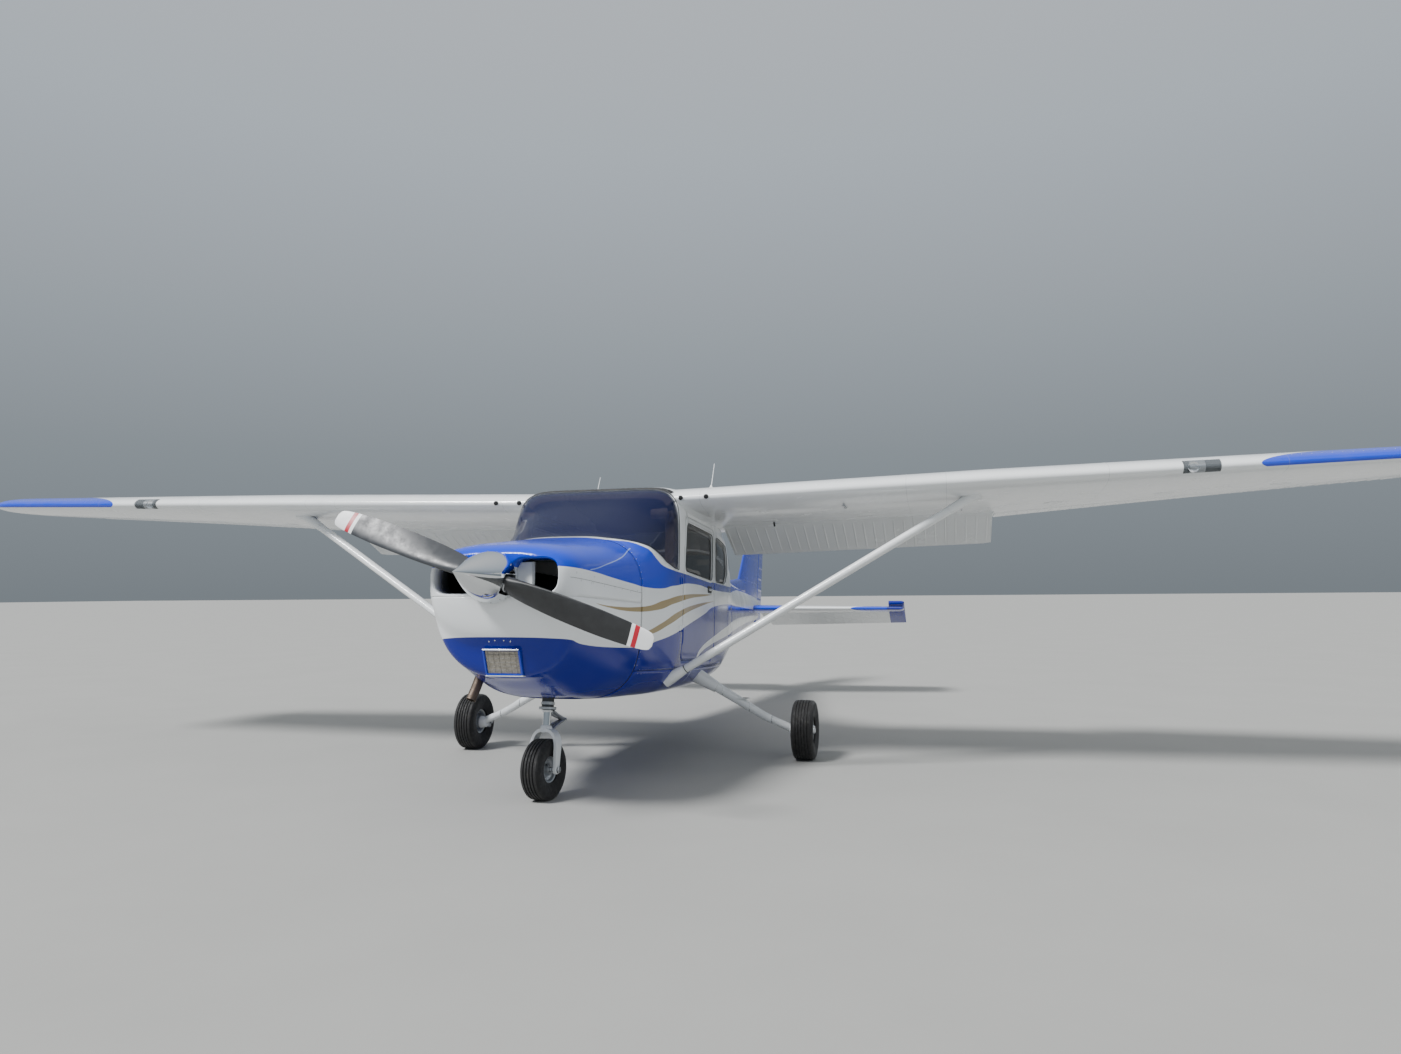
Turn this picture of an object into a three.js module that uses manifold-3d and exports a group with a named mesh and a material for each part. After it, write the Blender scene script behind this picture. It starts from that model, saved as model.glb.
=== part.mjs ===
// Light aircraft with a high strut-braced wing, four seats and a fixed nose-wheel gear.
// Millimetres. X points to the aircraft's left, Y to the tail and Z up from the ground.
// The airframe is drawn level, in its own axes: a station is a distance aft of a datum a
// little behind the spinner's tip, and a height is above the nose wheel's foot. It then
// stands nose up on its wheels, with the origin on the ground under the middle of its length.
import * as THREE from 'three';
import { mergeVertices } from 'three/addons/utils/BufferGeometryUtils.js';
import Module from 'manifold-3d';

const wasm = await Module();
wasm.setup();

// Whole aircraft
const NOSE_TIP = -139;
const TAIL_TIP = 8180;
const HALF_SPAN = 5500;
const HEIGHT = 2720;
const GAP = 0.3;
const RUNNING_GAP = 6;

// Body
const WALL = 30;
const COWL_SKIN = 12;
const TAIL_SKIN = 6;
const GLASS_INSET = 9;
const GLASS = 8;
const NOSE_STATION = 300;
const FIREWALL_STATION = 1219;
const FIREWALL_THICKNESS = 12;
const CABIN_END = 3950;
const TAIL_END = 7440;
const FLOOR_TOP = 680;
const FLOOR_SPLIT = 740;
const ROOF_SPLIT = 1862;
const COWL_SPLIT = 1150;
const REAR_GLASS_STATION = 3560;
const FRONT_GLASS_STATION = 1862;
const WIDE = 800;
const RING_POINTS = 24;

// Body sections by station: half width, top, bottom, height of the widest point,
// and how square the upper and lower halves are, where 2 is an ellipse.
const BODY = [
  [300, 322, 1374, 1128, 1250, 3.0, 2.8],
  [320, 368, 1402, 1062, 1250, 3.0, 2.7],
  [362, 402, 1424, 968, 1245, 3.0, 2.6],
  [430, 430, 1441, 870, 1236, 3.0, 2.6],
  [490, 443, 1453, 728, 1226, 3.0, 2.5],
  [600, 458, 1470, 700, 1212, 3.0, 2.7],
  [800, 484, 1500, 640, 1188, 3.0, 2.9],
  [1000, 508, 1529, 592, 1165, 3.1, 3.2],
  [1219, 532, 1562, 572, 1150, 3.2, 3.5],
  [1290, 540, 1576, 570, 1155, 3.3, 3.8],
  [1450, 556, 1684, 566, 1170, 3.3, 4.0],
  [1650, 576, 1818, 566, 1185, 3.8, 4.2],
  [1862, 590, 1958, 566, 1200, 8.0, 4.6],
  [2000, 592, 1990, 566, 1200, 9.0, 4.6],
  [2400, 592, 2020, 570, 1200, 9.0, 4.6],
  [2900, 588, 2002, 582, 1200, 9.0, 4.4],
  [3480, 556, 1906, 616, 1200, 6.0, 4.0],
  [3700, 528, 1836, 640, 1200, 4.4, 3.7],
  [3950, 490, 1736, 668, 1200, 3.2, 3.4],
  [4250, 448, 1642, 714, 1195, 2.8, 3.0],
  [4700, 388, 1598, 790, 1205, 2.6, 2.7],
  [5460, 286, 1560, 926, 1250, 2.5, 2.5],
  [6420, 176, 1525, 1074, 1305, 2.4, 2.4],
  [7200, 96, 1502, 1172, 1340, 2.4, 2.4],
  [7440, 70, 1494, 1206, 1350, 2.4, 2.4],
].map(([station, half, top, bottom, wide, upper, lower]) => (
  { station, half, top, bottom, wide, upper, lower }
));

// Side outlines of the openings, as station and height
const WINDSHIELD = [
  [1284, 1562],
  [1450, 1520],
  [1620, 1434],
  [1760, 1404],
  [1846, 1402],
  [1861, 1864],
  [1861, 2100],
  [1200, 2100],
];
const REAR_WINDOW = [[3560, 2100], [3560, 1850], [3640, 1560], [3890, 1540], [3935, 2100]];
const DOOR = [[1918, 800], [2862, 800], [2866, 1786], [2020, 1786]];
const DOOR_WINDOW = [[1990, 1405], [2796, 1389], [2806, 1736], [2042, 1741]];
const QUARTER_WINDOW = [[2916, 1388], [3330, 1398], [3452, 1500], [3424, 1712], [2914, 1734]];
const BAGGAGE_DOOR = [[3500, 980], [3887, 1000], [3887, 1430], [3500, 1500]];
const DOOR_CORNER = 60;
const WINDOW_CORNER = 55;
const GLASS_CORNER = 12;

// Wing
const WING = {
  rootChord: 1626,
  tipChord: 1118,
  breakX: 2590,
  endX: 5283,
  innerX: 430,
  leadStation: 1868,
  tipSetback: 112,
  leadHeight: 1888,
  heightX: 560,
  dihedral: THREE.MathUtils.degToRad(1.73),
  rootIncidence: THREE.MathUtils.degToRad(1.5),
  tipIncidence: THREE.MathUtils.degToRad(-1.5),
};
const FOIL_STEPS = 9;
const AILERON = { from: 2682, to: 5268, hinge: 0.8 };
const FLAP = { from: 626, to: 2660, hinge: 0.705, lift: 24, slope: 0.5, rest: 25 };

// Strut from the lower door post to the wing
const STRUT = {
  low: [490, 1850, 658],
  high: [2540, 2140, 1905],
  chord: 112,
  thickness: 44,
};

// Tail
const FIN = {
  rootZ: 1440,
  topZ: 2640,
  rootLead: 6330,
  topLead: 7475,
  rootThickness: 92,
  topThickness: 48,
};
const RUDDER = {
  lowZ: 1190,
  hingeLow: 7502,
  hingeTop: 7835,
  tailLow: 7885,
  nose: 24,
};
const TAILPLANE = {
  height: 1332,
  halfSpan: 1840,
  rootLead: 6635,
  tipLead: 6910,
  hinge: 7330,
  rootTail: 7772,
  tipTail: 7690,
  rootThickness: 98,
  tipThickness: 56,
  innerX: 104,
};
const ELEVATOR_TUBE = 22;
const ELEVATOR_NOSE = 30;
const HORN = { from: 1660, front: 7112, gap: 8 };
const DORSAL = [[5380, 1530], [6700, 1500], [6800, 1800], [6560, 1668]];
const BEACON = { station: 7600, low: 34, high: 26 };
const ELEVATOR_REST = THREE.MathUtils.degToRad(23);

// Undercarriage
const STANCE = THREE.MathUtils.degToRad(3.2);
const MAIN_WHEEL = { x: 1304, station: 2699, radius: 212, width: 160, rim: 92, bore: 19 };
const NOSE_WHEEL = { x: 0, station: 1034, radius: 177, width: 126, rim: 76, bore: 14 };
const WHEEL_SIDES = 20;
const STEER_RAKE = THREE.MathUtils.degToRad(6);
const STEER_REST = -8;

// Propeller
const PROP = { station: 225, radius: 965, hubHeight: 1248, turn: 20 };
const SPINNER = { back: 280, radius: 139, skin: 5, hole: 38, plate: 8 };
const HUB = { radius: 76, front: 34 };
const BLADE_SLOT = { inner: 70, outer: 200, front: 48, half: 66 };

const stationY = (station) => station - (NOSE_TIP + TAIL_TIP) / 2;
const stationAt = (y) => y + (NOSE_TIP + TAIL_TIP) / 2;

function sectionAt(station) {
  let index = 0;
  while (index < BODY.length - 2 && station > BODY[index + 1].station) {
    index += 1;
  }
  const [low, high] = [BODY[index], BODY[index + 1]];
  const t = (station - low.station) / (high.station - low.station);
  const mixed = {};
  for (const key of Object.keys(low)) {
    mixed[key] = THREE.MathUtils.lerp(low[key], high[key], t);
  }
  return mixed;
}

function power(value, exponent) {
  return Math.sign(value) * Math.abs(value) ** exponent;
}

function bodyRing(station, inset) {
  const s = sectionAt(station);
  const ring = [];
  for (let i = 0; i < RING_POINTS; i += 1) {
    const angle = (2 * Math.PI * i) / RING_POINTS;
    const above = Math.sin(angle) >= 0;
    const square = 2 / (above ? s.upper : s.lower);
    const reach = (above ? s.top - s.wide : s.wide - s.bottom) - inset;
    ring.push([
      (s.half - inset) * power(Math.cos(angle), square),
      stationY(station),
      s.wide + reach * power(Math.sin(angle), square),
    ]);
  }
  return ring;
}

// Half width of the body's outer surface at a station and height
function bodyHalfWidth(station, z) {
  const s = sectionAt(station);
  const above = z > s.wide;
  const reach = above ? s.top - s.wide : s.wide - s.bottom;
  const square = above ? s.upper : s.lower;
  return s.half * (1 - Math.abs((z - s.wide) / reach) ** square) ** (1 / square);
}

function capTriangles(ring) {
  const spans = [0, 1, 2].map((axis) => {
    const values = ring.map((point) => point[axis]);
    return Math.max(...values) - Math.min(...values);
  });
  const flat = spans.indexOf(Math.min(...spans));
  const [u, v] = [0, 1, 2].filter((axis) => axis !== flat);
  const contour = ring.map((point) => new THREE.Vector2(point[u], point[v]));
  const turn = Math.sign(THREE.ShapeUtils.area(contour));
  return THREE.ShapeUtils.triangulateShape(contour, []).map(([a, b, c]) => {
    const area = THREE.ShapeUtils.area([contour[a], contour[b], contour[c]]);
    return Math.sign(area) === turn ? [a, b, c] : [a, c, b];
  });
}

function meshGeometry(points, triangles) {
  const geometry = new THREE.BufferGeometry();
  geometry.setAttribute('position', new THREE.Float32BufferAttribute(points.flat(), 3));
  geometry.setIndex(triangles.flat());
  return geometry;
}

// A closed skin through rings of equal point count, with flat ends
function loft(rings) {
  const count = rings[0].length;
  const triangles = [];
  for (let ring = 0; ring + 1 < rings.length; ring += 1) {
    for (let i = 0; i < count; i += 1) {
      const a = ring * count + i;
      const b = ring * count + ((i + 1) % count);
      triangles.push([a, b, b + count]);
      triangles.push([a, b + count, a + count]);
    }
  }
  const last = (rings.length - 1) * count;
  for (const [a, b, c] of capTriangles(rings[0])) {
    triangles.push([a, c, b]);
  }
  for (const [a, b, c] of capTriangles(rings.at(-1))) {
    triangles.push([a + last, b + last, c + last]);
  }
  return meshGeometry(rings.flat(), triangles);
}

function isInsideOut(position, index) {
  const [a, b, c] = [new THREE.Vector3(), new THREE.Vector3(), new THREE.Vector3()];
  let volume = 0;
  for (let i = 0; i < index.length; i += 3) {
    a.fromBufferAttribute(position, index[i]);
    b.fromBufferAttribute(position, index[i + 1]);
    c.fromBufferAttribute(position, index[i + 2]);
    volume += a.dot(b.cross(c));
  }
  return volume < 0;
}

function solid(geometry) {
  const plain = geometry.clone();
  plain.deleteAttribute('normal');
  plain.deleteAttribute('uv');
  const merged = mergeVertices(plain, 1e-3);
  const position = merged.getAttribute('position');
  const index = Array.from(merged.getIndex().array);
  if (isInsideOut(position, index)) {
    index.reverse();
  }
  return new wasm.Manifold(new wasm.Mesh({
    numProp: 3,
    vertProperties: new Float32Array(position.array),
    triVerts: new Uint32Array(index),
  }));
}

function join(first, ...others) {
  return others.reduce((sum, other) => sum.add(other), first);
}

function cut(first, ...others) {
  return others.reduce((rest, other) => rest.subtract(other), first);
}

function geometryOf(manifold) {
  const mesh = manifold.getMesh();
  const geometry = new THREE.BufferGeometry();
  geometry.setAttribute('position', new THREE.BufferAttribute(mesh.vertProperties, 3));
  geometry.setIndex(new THREE.BufferAttribute(mesh.triVerts, 1));
  geometry.computeVertexNormals();
  return geometry;
}

// Box between two corners given as x, station and height
function box([x0, s0, z0], [x1, s1, z1]) {
  const geometry = new THREE.BoxGeometry(Math.abs(x1 - x0), Math.abs(s1 - s0), Math.abs(z1 - z0));
  geometry.translate((x0 + x1) / 2, stationY((s0 + s1) / 2), (z0 + z1) / 2);
  return solid(geometry);
}

// Round bar between two points given as x, station and height
function bar(from, to, radius, endRadius = radius, sides = 16) {
  const start = new THREE.Vector3(from[0], stationY(from[1]), from[2]);
  const end = new THREE.Vector3(to[0], stationY(to[1]), to[2]);
  const length = start.distanceTo(end);
  const geometry = new THREE.CylinderGeometry(endRadius, radius, length, sides);
  const turn = new THREE.Quaternion().setFromUnitVectors(
    new THREE.Vector3(0, 1, 0),
    end.clone().sub(start).normalize(),
  );
  geometry.applyQuaternion(turn);
  geometry.translate(...start.add(end).multiplyScalar(0.5).toArray());
  return solid(geometry);
}

function roundedShape(points, radius) {
  const corners = points.map(([u, v]) => new THREE.Vector2(u, v));
  const shape = new THREE.Shape();
  corners.forEach((corner, i) => {
    const before = corners.at(i - 1).clone().sub(corner).setLength(radius).add(corner);
    const after = corners[(i + 1) % corners.length].clone().sub(corner);
    after.setLength(radius).add(corner);
    if (i === 0) {
      shape.moveTo(before.x, before.y);
    } else {
      shape.lineTo(before.x, before.y);
    }
    shape.quadraticCurveTo(corner.x, corner.y, after.x, after.y);
  });
  shape.closePath();
  return shape;
}

// Moves every edge of an outline inwards by a distance
function shrink(points, distance) {
  const turn = Math.sign(THREE.ShapeUtils.area(points.map(([u, v]) => new THREE.Vector2(u, v))));
  const edges = points.map(([u, v], i) => {
    const [nextU, nextV] = points[(i + 1) % points.length];
    const length = Math.hypot(nextU - u, nextV - v);
    const along = [(nextU - u) / length, (nextV - v) / length];
    const inward = [-along[1] * turn * distance, along[0] * turn * distance];
    return { at: [u + inward[0], v + inward[1]], along };
  });
  return edges.map((edge, i) => {
    const other = edges.at(i - 1);
    const gap = [other.at[0] - edge.at[0], other.at[1] - edge.at[1]];
    const cross = edge.along[0] * other.along[1] - edge.along[1] * other.along[0];
    const t = (gap[0] * other.along[1] - gap[1] * other.along[0]) / cross;
    return [edge.at[0] + edge.along[0] * t, edge.at[1] + edge.along[1] * t];
  });
}

// Extrudes an outline of stations and heights across the aircraft
function sidePrism(outline, x0, x1, radius = 0) {
  const points = outline.map(([station, z]) => [stationY(station), z]);
  const shape = radius > 0
    ? roundedShape(points, radius)
    : new THREE.Shape(points.map(([u, v]) => new THREE.Vector2(u, v)));
  const settings = { depth: Math.abs(x1 - x0), bevelEnabled: false, curveSegments: 4 };
  const geometry = new THREE.ExtrudeGeometry(shape, settings);
  geometry.applyMatrix4(new THREE.Matrix4().makeBasis(
    new THREE.Vector3(0, 1, 0),
    new THREE.Vector3(0, 0, 1),
    new THREE.Vector3(1, 0, 0),
  ));
  geometry.translate(Math.min(x0, x1), 0, 0);
  return solid(geometry);
}

// Extrudes an outline of x and height along the aircraft
function frontPrism(outline, s0, s1, radius) {
  const settings = { depth: s1 - s0, bevelEnabled: false, curveSegments: 4 };
  const geometry = new THREE.ExtrudeGeometry(roundedShape(outline, radius), settings);
  geometry.applyMatrix4(new THREE.Matrix4().makeBasis(
    new THREE.Vector3(1, 0, 0),
    new THREE.Vector3(0, 0, 1),
    new THREE.Vector3(0, -1, 0),
  ));
  geometry.translate(0, stationY(s1), 0);
  return solid(geometry);
}

function onSide(side, near, far) {
  return side > 0 ? [near, far] : [-far, -near];
}

function bodyLoft(from, to, inset) {
  const inner = BODY.map((row) => row.station).filter((s) => s > from + 1 && s < to - 1);
  return solid(loft([from, ...inner, to].map((station) => bodyRing(station, inset))));
}

// Cabin and cowl walls
const cabinWall = cut(
  bodyLoft(FIREWALL_STATION + GAP, CABIN_END - GAP, 0),
  bodyLoft(FIREWALL_STATION - 9, CABIN_END + 9, WALL),
);
const cabinGlass = cut(
  bodyLoft(FIREWALL_STATION, CABIN_END, GLASS_INSET),
  bodyLoft(FIREWALL_STATION - 9, CABIN_END + 9, GLASS_INSET + GLASS),
);
const grownBody = bodyLoft(NOSE_STATION, CABIN_END, -GAP);
const grownTail = bodyLoft(CABIN_END, TAIL_END + GAP, -GAP);

function glassPane(outline, x0, x1, radius) {
  return cabinGlass.intersect(sidePrism(shrink(outline, GAP), x0, x1, radius));
}

function windshield() {
  return glassPane(WINDSHIELD, -WIDE, WIDE, GLASS_CORNER);
}

function rearWindow() {
  return glassPane(REAR_WINDOW, -WIDE, WIDE, GLASS_CORNER);
}

// Hinge line along a door's front edge: x, then station and height at its two ends
const DOOR_HINGE = { x: 602, low: [1916, 800], high: [2020, 1804], heights: [1010, 1330] };
const BAGGAGE_HINGE = { x: 563, low: [3497, 980], high: [3497, 1500], heights: [1120, 1380] };

function hingePoint(hinge, side, z) {
  const t = (z - hinge.low[1]) / (hinge.high[1] - hinge.low[1]);
  return [side * hinge.x, THREE.MathUtils.lerp(hinge.low[0], hinge.high[0], t), z];
}

function hingeKnuckles(hinge, side, forDoor) {
  const parts = [];
  for (const z of hinge.heights) {
    const [low, high] = forDoor ? [z - 14, z + 14] : [z - 40, z - 14 - 2 * GAP];
    parts.push(bar(hingePoint(hinge, side, low), hingePoint(hinge, side, high), 8, 8, 12));
    const [x, station] = hingePoint(hinge, side, z);
    const inner = side * (bodyHalfWidth(station, z) - 8);
    const reach = forDoor ? [6, 48] : [-48, -6];
    parts.push(box([inner, station + reach[0], low + 3], [x + side * 2, station + reach[1], high - 3]));
  }
  return join(...parts);
}

function cabinSide(side) {
  const [near, far] = onSide(side, GAP / 2, WIDE);
  const zone = box([near, 1000, FLOOR_SPLIT], [far, 4200, ROOF_SPLIT - GAP]);
  const deck = box([near, 1000, ROOF_SPLIT - 1], [far, FRONT_GLASS_STATION - GAP, 2200]);
  const rear = box([near, REAR_GLASS_STATION, ROOF_SPLIT - 1], [far, 4200, 2200]);
  const openings = [
    sidePrism(WINDSHIELD, -WIDE, WIDE, GLASS_CORNER),
    sidePrism(REAR_WINDOW, -WIDE, WIDE, GLASS_CORNER),
    sidePrism(DOOR, near, far, DOOR_CORNER),
    sidePrism(QUARTER_WINDOW, near, far, WINDOW_CORNER),
  ];
  if (side > 0) {
    openings.push(sidePrism(BAGGAGE_DOOR, near, far, DOOR_CORNER));
  }
  return cut(cabinWall.intersect(join(zone, deck, rear)), ...openings);
}

function cabinFloor() {
  const zone = box([-WIDE, 1000, 0], [WIDE, 4200, FLOOR_SPLIT - GAP]);
  const space = bodyLoft(FIREWALL_STATION - 9, CABIN_END + 9, WALL);
  const above = box([-WIDE, 1000, FLOOR_TOP], [WIDE, 4200, 900]);
  const outer = bodyLoft(FIREWALL_STATION + GAP, CABIN_END - GAP, 0);
  return cut(outer.intersect(zone), space.intersect(above));
}

function cabinRoof() {
  const ends = [FRONT_GLASS_STATION, REAR_GLASS_STATION - GAP];
  const zone = box([-WIDE, ends[0], ROOF_SPLIT], [WIDE, ends[1], 2200]);
  return cabinWall.intersect(zone);
}

function cabinDoor(side) {
  const [near, far] = onSide(side, 100, WIDE);
  const panel = cabinWall.intersect(
    sidePrism(shrink(DOOR, RUNNING_GAP), near, far, DOOR_CORNER),
  );
  return cut(panel, sidePrism(DOOR_WINDOW, near, far, WINDOW_CORNER));
}

function doorWindow(side) {
  const [near, far] = onSide(side, 100, WIDE);
  return glassPane(DOOR_WINDOW, near, far, WINDOW_CORNER);
}

function quarterWindow(side) {
  const [near, far] = onSide(side, 100, WIDE);
  return glassPane(QUARTER_WINDOW, near, far, WINDOW_CORNER);
}

function baggageDoor() {
  return cabinWall.intersect(
    sidePrism(shrink(BAGGAGE_DOOR, RUNNING_GAP), 100, WIDE, DOOR_CORNER),
  );
}

// Cowl with two cooling inlets, a hole for the shaft, an air filter box and an outlet
const cowlEnd = FIREWALL_STATION - FIREWALL_THICKNESS - GAP;
const FILTER = { half: 108, low: 733, high: 875, frontLow: 484, frontHigh: 424, back: 600 };
const FILTER_RIM = 9;
const OUTLET = [[1010, 500], [1250, 500], [1250, 760], [1010, 760]];
const OUTLET_HALF = 170;
const EXHAUST = { top: [-303, 906, 1040], low: [-362, 795, 575], radius: 25, slack: 8 };
const INLET = { inner: 92, outer: 356, low: 1163, high: 1356, corner: 88, depth: 90 };
const SHAFT_HOLE = 62;

function cowl() {
  const shell = cut(
    bodyLoft(NOSE_STATION, cowlEnd, 0),
    bodyLoft(NOSE_STATION + COWL_SKIN, cowlEnd + 9, COWL_SKIN),
  );
  const inlets = [1, -1].map((side) => frontPrism(
    [
      [side * INLET.inner, INLET.low],
      [side * INLET.outer, INLET.low],
      [side * INLET.outer, INLET.high],
      [side * INLET.inner, INLET.high],
    ],
    NOSE_STATION - 20,
    NOSE_STATION + INLET.depth,
    INLET.corner,
  ));
  const hub = PROP.hubHeight;
  const ends = [NOSE_STATION - 40, NOSE_STATION + 40];
  const shaft = bar([0, ends[0], hub], [0, ends[1], hub], SHAFT_HOLE, SHAFT_HOLE, 24);
  return cut(shell, ...inlets, shaft);
}

const wholeCowl = cowl();

function cowlUpper() {
  return wholeCowl.intersect(box(
    [-WIDE, NOSE_STATION - 9, COWL_SPLIT],
    [WIDE, FIREWALL_STATION, 2000],
  ));
}

// Filter box with a face that leans with the cowl's chin
function filterBox(grow, half) {
  const { low, high, frontLow, frontHigh, back } = FILTER;
  const outline = [[frontHigh, high], [frontLow, low], [back, low], [back, high]];
  return sidePrism(shrink(outline, -grow), -half - grow, half + grow);
}

function cowlLower() {
  const half = wholeCowl.intersect(box(
    [-WIDE, NOSE_STATION - 9, 0],
    [WIDE, FIREWALL_STATION, COWL_SPLIT - GAP],
  ));
  const outlet = sidePrism(OUTLET, -OUTLET_HALF, OUTLET_HALF);
  const pipe = bar(EXHAUST.top, EXHAUST.low, EXHAUST.radius + EXHAUST.slack);
  return cut(half, outlet, pipe, filterBox(GAP, FILTER.half));
}

function airFilter() {
  const { half, low, high, frontLow, frontHigh } = FILTER;
  const face = [[frontHigh, high], [frontLow, low]];
  const recess = [...face.map(([s, z]) => [s - 1, z]),
    ...face.map(([s, z]) => [s + 12, z]).reverse()];
  const middle = box(
    [-half + FILTER_RIM, 0, low + FILTER_RIM],
    [half - FILTER_RIM, 999, high - FILTER_RIM],
  );
  return cut(filterBox(0, half), sidePrism(recess, -half, half).intersect(middle));
}

function firewall() {
  return bodyLoft(FIREWALL_STATION - FIREWALL_THICKNESS, FIREWALL_STATION, 0);
}

const ENGINE = { front: 520, back: 1080, half: 384, low: 1012, high: 1330 };
const ENGINE_MOUNTS = { x: [-260, 260], z: [1060, 1290], radius: 12 };
const SHAFT = { rear: 60, front: 30 };

function engineBlock() {
  const hub = PROP.hubHeight;
  const { front, back, half, low, high } = ENGINE;
  const block = box([-half, front, low], [half, back, high]);
  const ends = [front + 9, SPINNER.back - SPINNER.plate];
  const shaft = bar([0, ends[0], hub], [0, ends[1], hub], SHAFT.rear, SHAFT.front, 24);
  const { radius } = ENGINE_MOUNTS;
  const mounts = [];
  for (const x of ENGINE_MOUNTS.x) {
    for (const z of ENGINE_MOUNTS.z) {
      mounts.push(bar([x, back - 9, z], [x, cowlEnd, z], radius, radius, 10));
    }
  }
  return join(block, shaft, ...mounts);
}

function exhaustPipe() {
  const above = box([-WIDE, 0, ENGINE.low - GAP], [WIDE, FIREWALL_STATION, 2000]);
  return cut(bar(EXHAUST.top, EXHAUST.low, EXHAUST.radius), above);
}

// Inside the cabin
const PANEL = [
  [1600, 1010],
  [1620, 1010],
  [1620, 1392],
  [1700, 1410],
  [1700, 1424],
  [1420, 1424],
  [1420, 1398],
  [1600, 1380],
];
const YOKE = { x: 270, front: 1610, back: 1765, low: 1215, high: 1250, half: 140, radius: 12 };

function instrumentPanel() {
  const panel = bodyLoft(FIREWALL_STATION, CABIN_END, WALL + GAP).intersect(
    sidePrism(PANEL, -WIDE, WIDE),
  );
  const { front, back, low, high, half, radius } = YOKE;
  const yokes = [];
  for (const x of [-YOKE.x, YOKE.x]) {
    yokes.push(bar([x, front, low - 5], [x, back, low + 10], radius, radius, 10));
    yokes.push(bar([x - half, back, high], [x + half, back, high], radius + 1, radius + 1, 10));
    yokes.push(bar([x, back, low], [x, back, high + 5], radius + 1, radius + 1, 10));
  }
  return join(panel, ...yokes);
}

const SEATS = [
  ['seat_front_left', 2180, 75, 505, 0],
  ['seat_front_right', 2180, -505, -75, 0],
  ['seat_rear', 2850, -465, 465, -60],
].map(([name, front, x0, x1, lean]) => ({ name, front, x0, x1, lean }));

// Seat with a narrow pedestal on the floor, a cushion and a leaning back
function seat(front, x0, x1, lean) {
  const body = sidePrism([
    [front, 900],
    [front + 540 + lean, 900],
    [front + 700 + lean, 1600],
    [front + 600 + lean, 1620],
    [front + 440 + lean, 1030],
    [front, 1040],
  ], x0, x1, 14);
  const floor = FLOOR_TOP + GAP;
  const pedestal = box([x0 + 90, front + 90, floor], [x1 - 90, front + 440 + lean, 920]);
  return join(body, pedestal);
}

function bulkhead() {
  const slab = box([-WIDE, CABIN_END - 14, 0], [WIDE, CABIN_END - 4, 2200]);
  return bodyLoft(FIREWALL_STATION, CABIN_END, WALL + GAP).intersect(slab);
}

// Tail cone, a skin open at its front, with the tailplane let through it
function tailcone() {
  const { hinge, height } = TAILPLANE;
  const tube = bar([-300, hinge, height], [300, hinge, height], ELEVATOR_TUBE + 1);
  const space = bodyLoft(CABIN_END - 9, TAIL_END - 40, TAIL_SKIN);
  return cut(bodyLoft(CABIN_END, TAIL_END, 0), space, wholeTailplane(GAP), tube);
}

// Points round a symmetric section, from the tail over the top to the nose and back
function symmetricFoil(thickness) {
  const upper = [];
  for (let i = 0; i <= FOIL_STEPS; i += 1) {
    const u = (1 + Math.cos((Math.PI * i) / FOIL_STEPS)) / 2;
    upper.push([u, halfThickness(u) * thickness]);
  }
  const lower = upper.slice(0, -1).map(([u, v]) => [u, -v]).reverse();
  return [...upper, ...lower];
}

// Half thickness of a four-digit section for a thickness of one chord
function halfThickness(u) {
  return 5 * (0.2969 * Math.sqrt(u) - 0.126 * u - 0.3516 * u ** 2 + 0.2843 * u ** 3
    - 0.1015 * u ** 4);
}

// Cambered section of the wing: 12 percent thick, 2 percent camber at 40 percent chord
function wingFoil() {
  const camber = (u) => (u < 0.4
    ? (0.02 / 0.16) * (0.8 * u - u ** 2)
    : (0.02 / 0.36) * (0.2 + 0.8 * u - u ** 2));
  return symmetricFoil(0.12).map(([u, v]) => [u, v + camber(u)]);
}

const WING_SECTION = wingFoil();

function wingPlan(x) {
  const t = Math.max(0, (x - WING.breakX) / (WING.endX - WING.breakX));
  return {
    chord: THREE.MathUtils.lerp(WING.rootChord, WING.tipChord, t),
    lead: WING.leadStation + WING.tipSetback * t,
    height: WING.leadHeight + (x - WING.heightX) * Math.tan(WING.dihedral),
    incidence: THREE.MathUtils.lerp(WING.rootIncidence, WING.tipIncidence, t),
  };
}

// Point on the wing from chord fractions along and across the section
function wingPoint(x, u, v, side) {
  const { chord, lead, height, incidence } = wingPlan(x);
  const aft = chord * (u * Math.cos(incidence) + v * Math.sin(incidence));
  const up = chord * (v * Math.cos(incidence) - u * Math.sin(incidence));
  return [side * x, stationY(lead + aft), height + up];
}

// Moves a ring of points in the Y-Z plane outwards
function growRing(ring, distance) {
  const turn = Math.sign(THREE.ShapeUtils.area(ring.map((p) => new THREE.Vector2(p[1], p[2]))));
  return ring.map((point, i) => {
    const before = ring.at(i - 1);
    const after = ring[(i + 1) % ring.length];
    const [u, v] = [after[1] - before[1], after[2] - before[2]];
    const scale = (turn * distance) / Math.hypot(u, v);
    return [point[0], point[1] + v * scale, point[2] - u * scale];
  });
}

function wingRing(x, side, grow = 0) {
  return growRing(WING_SECTION.map(([u, v]) => wingPoint(x, u, v, side)), grow);
}

function wholeWing(side, grow = 0) {
  const rings = [WING.innerX, WING.breakX, WING.endX].map((x) => wingRing(x, side, grow));
  return solid(loft(rings));
}

function sectionMiddle(u) {
  return u < 0.4 ? 0.125 * (0.8 * u - u ** 2) : (0.02 / 0.36) * (0.2 + 0.8 * u - u ** 2);
}

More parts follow.
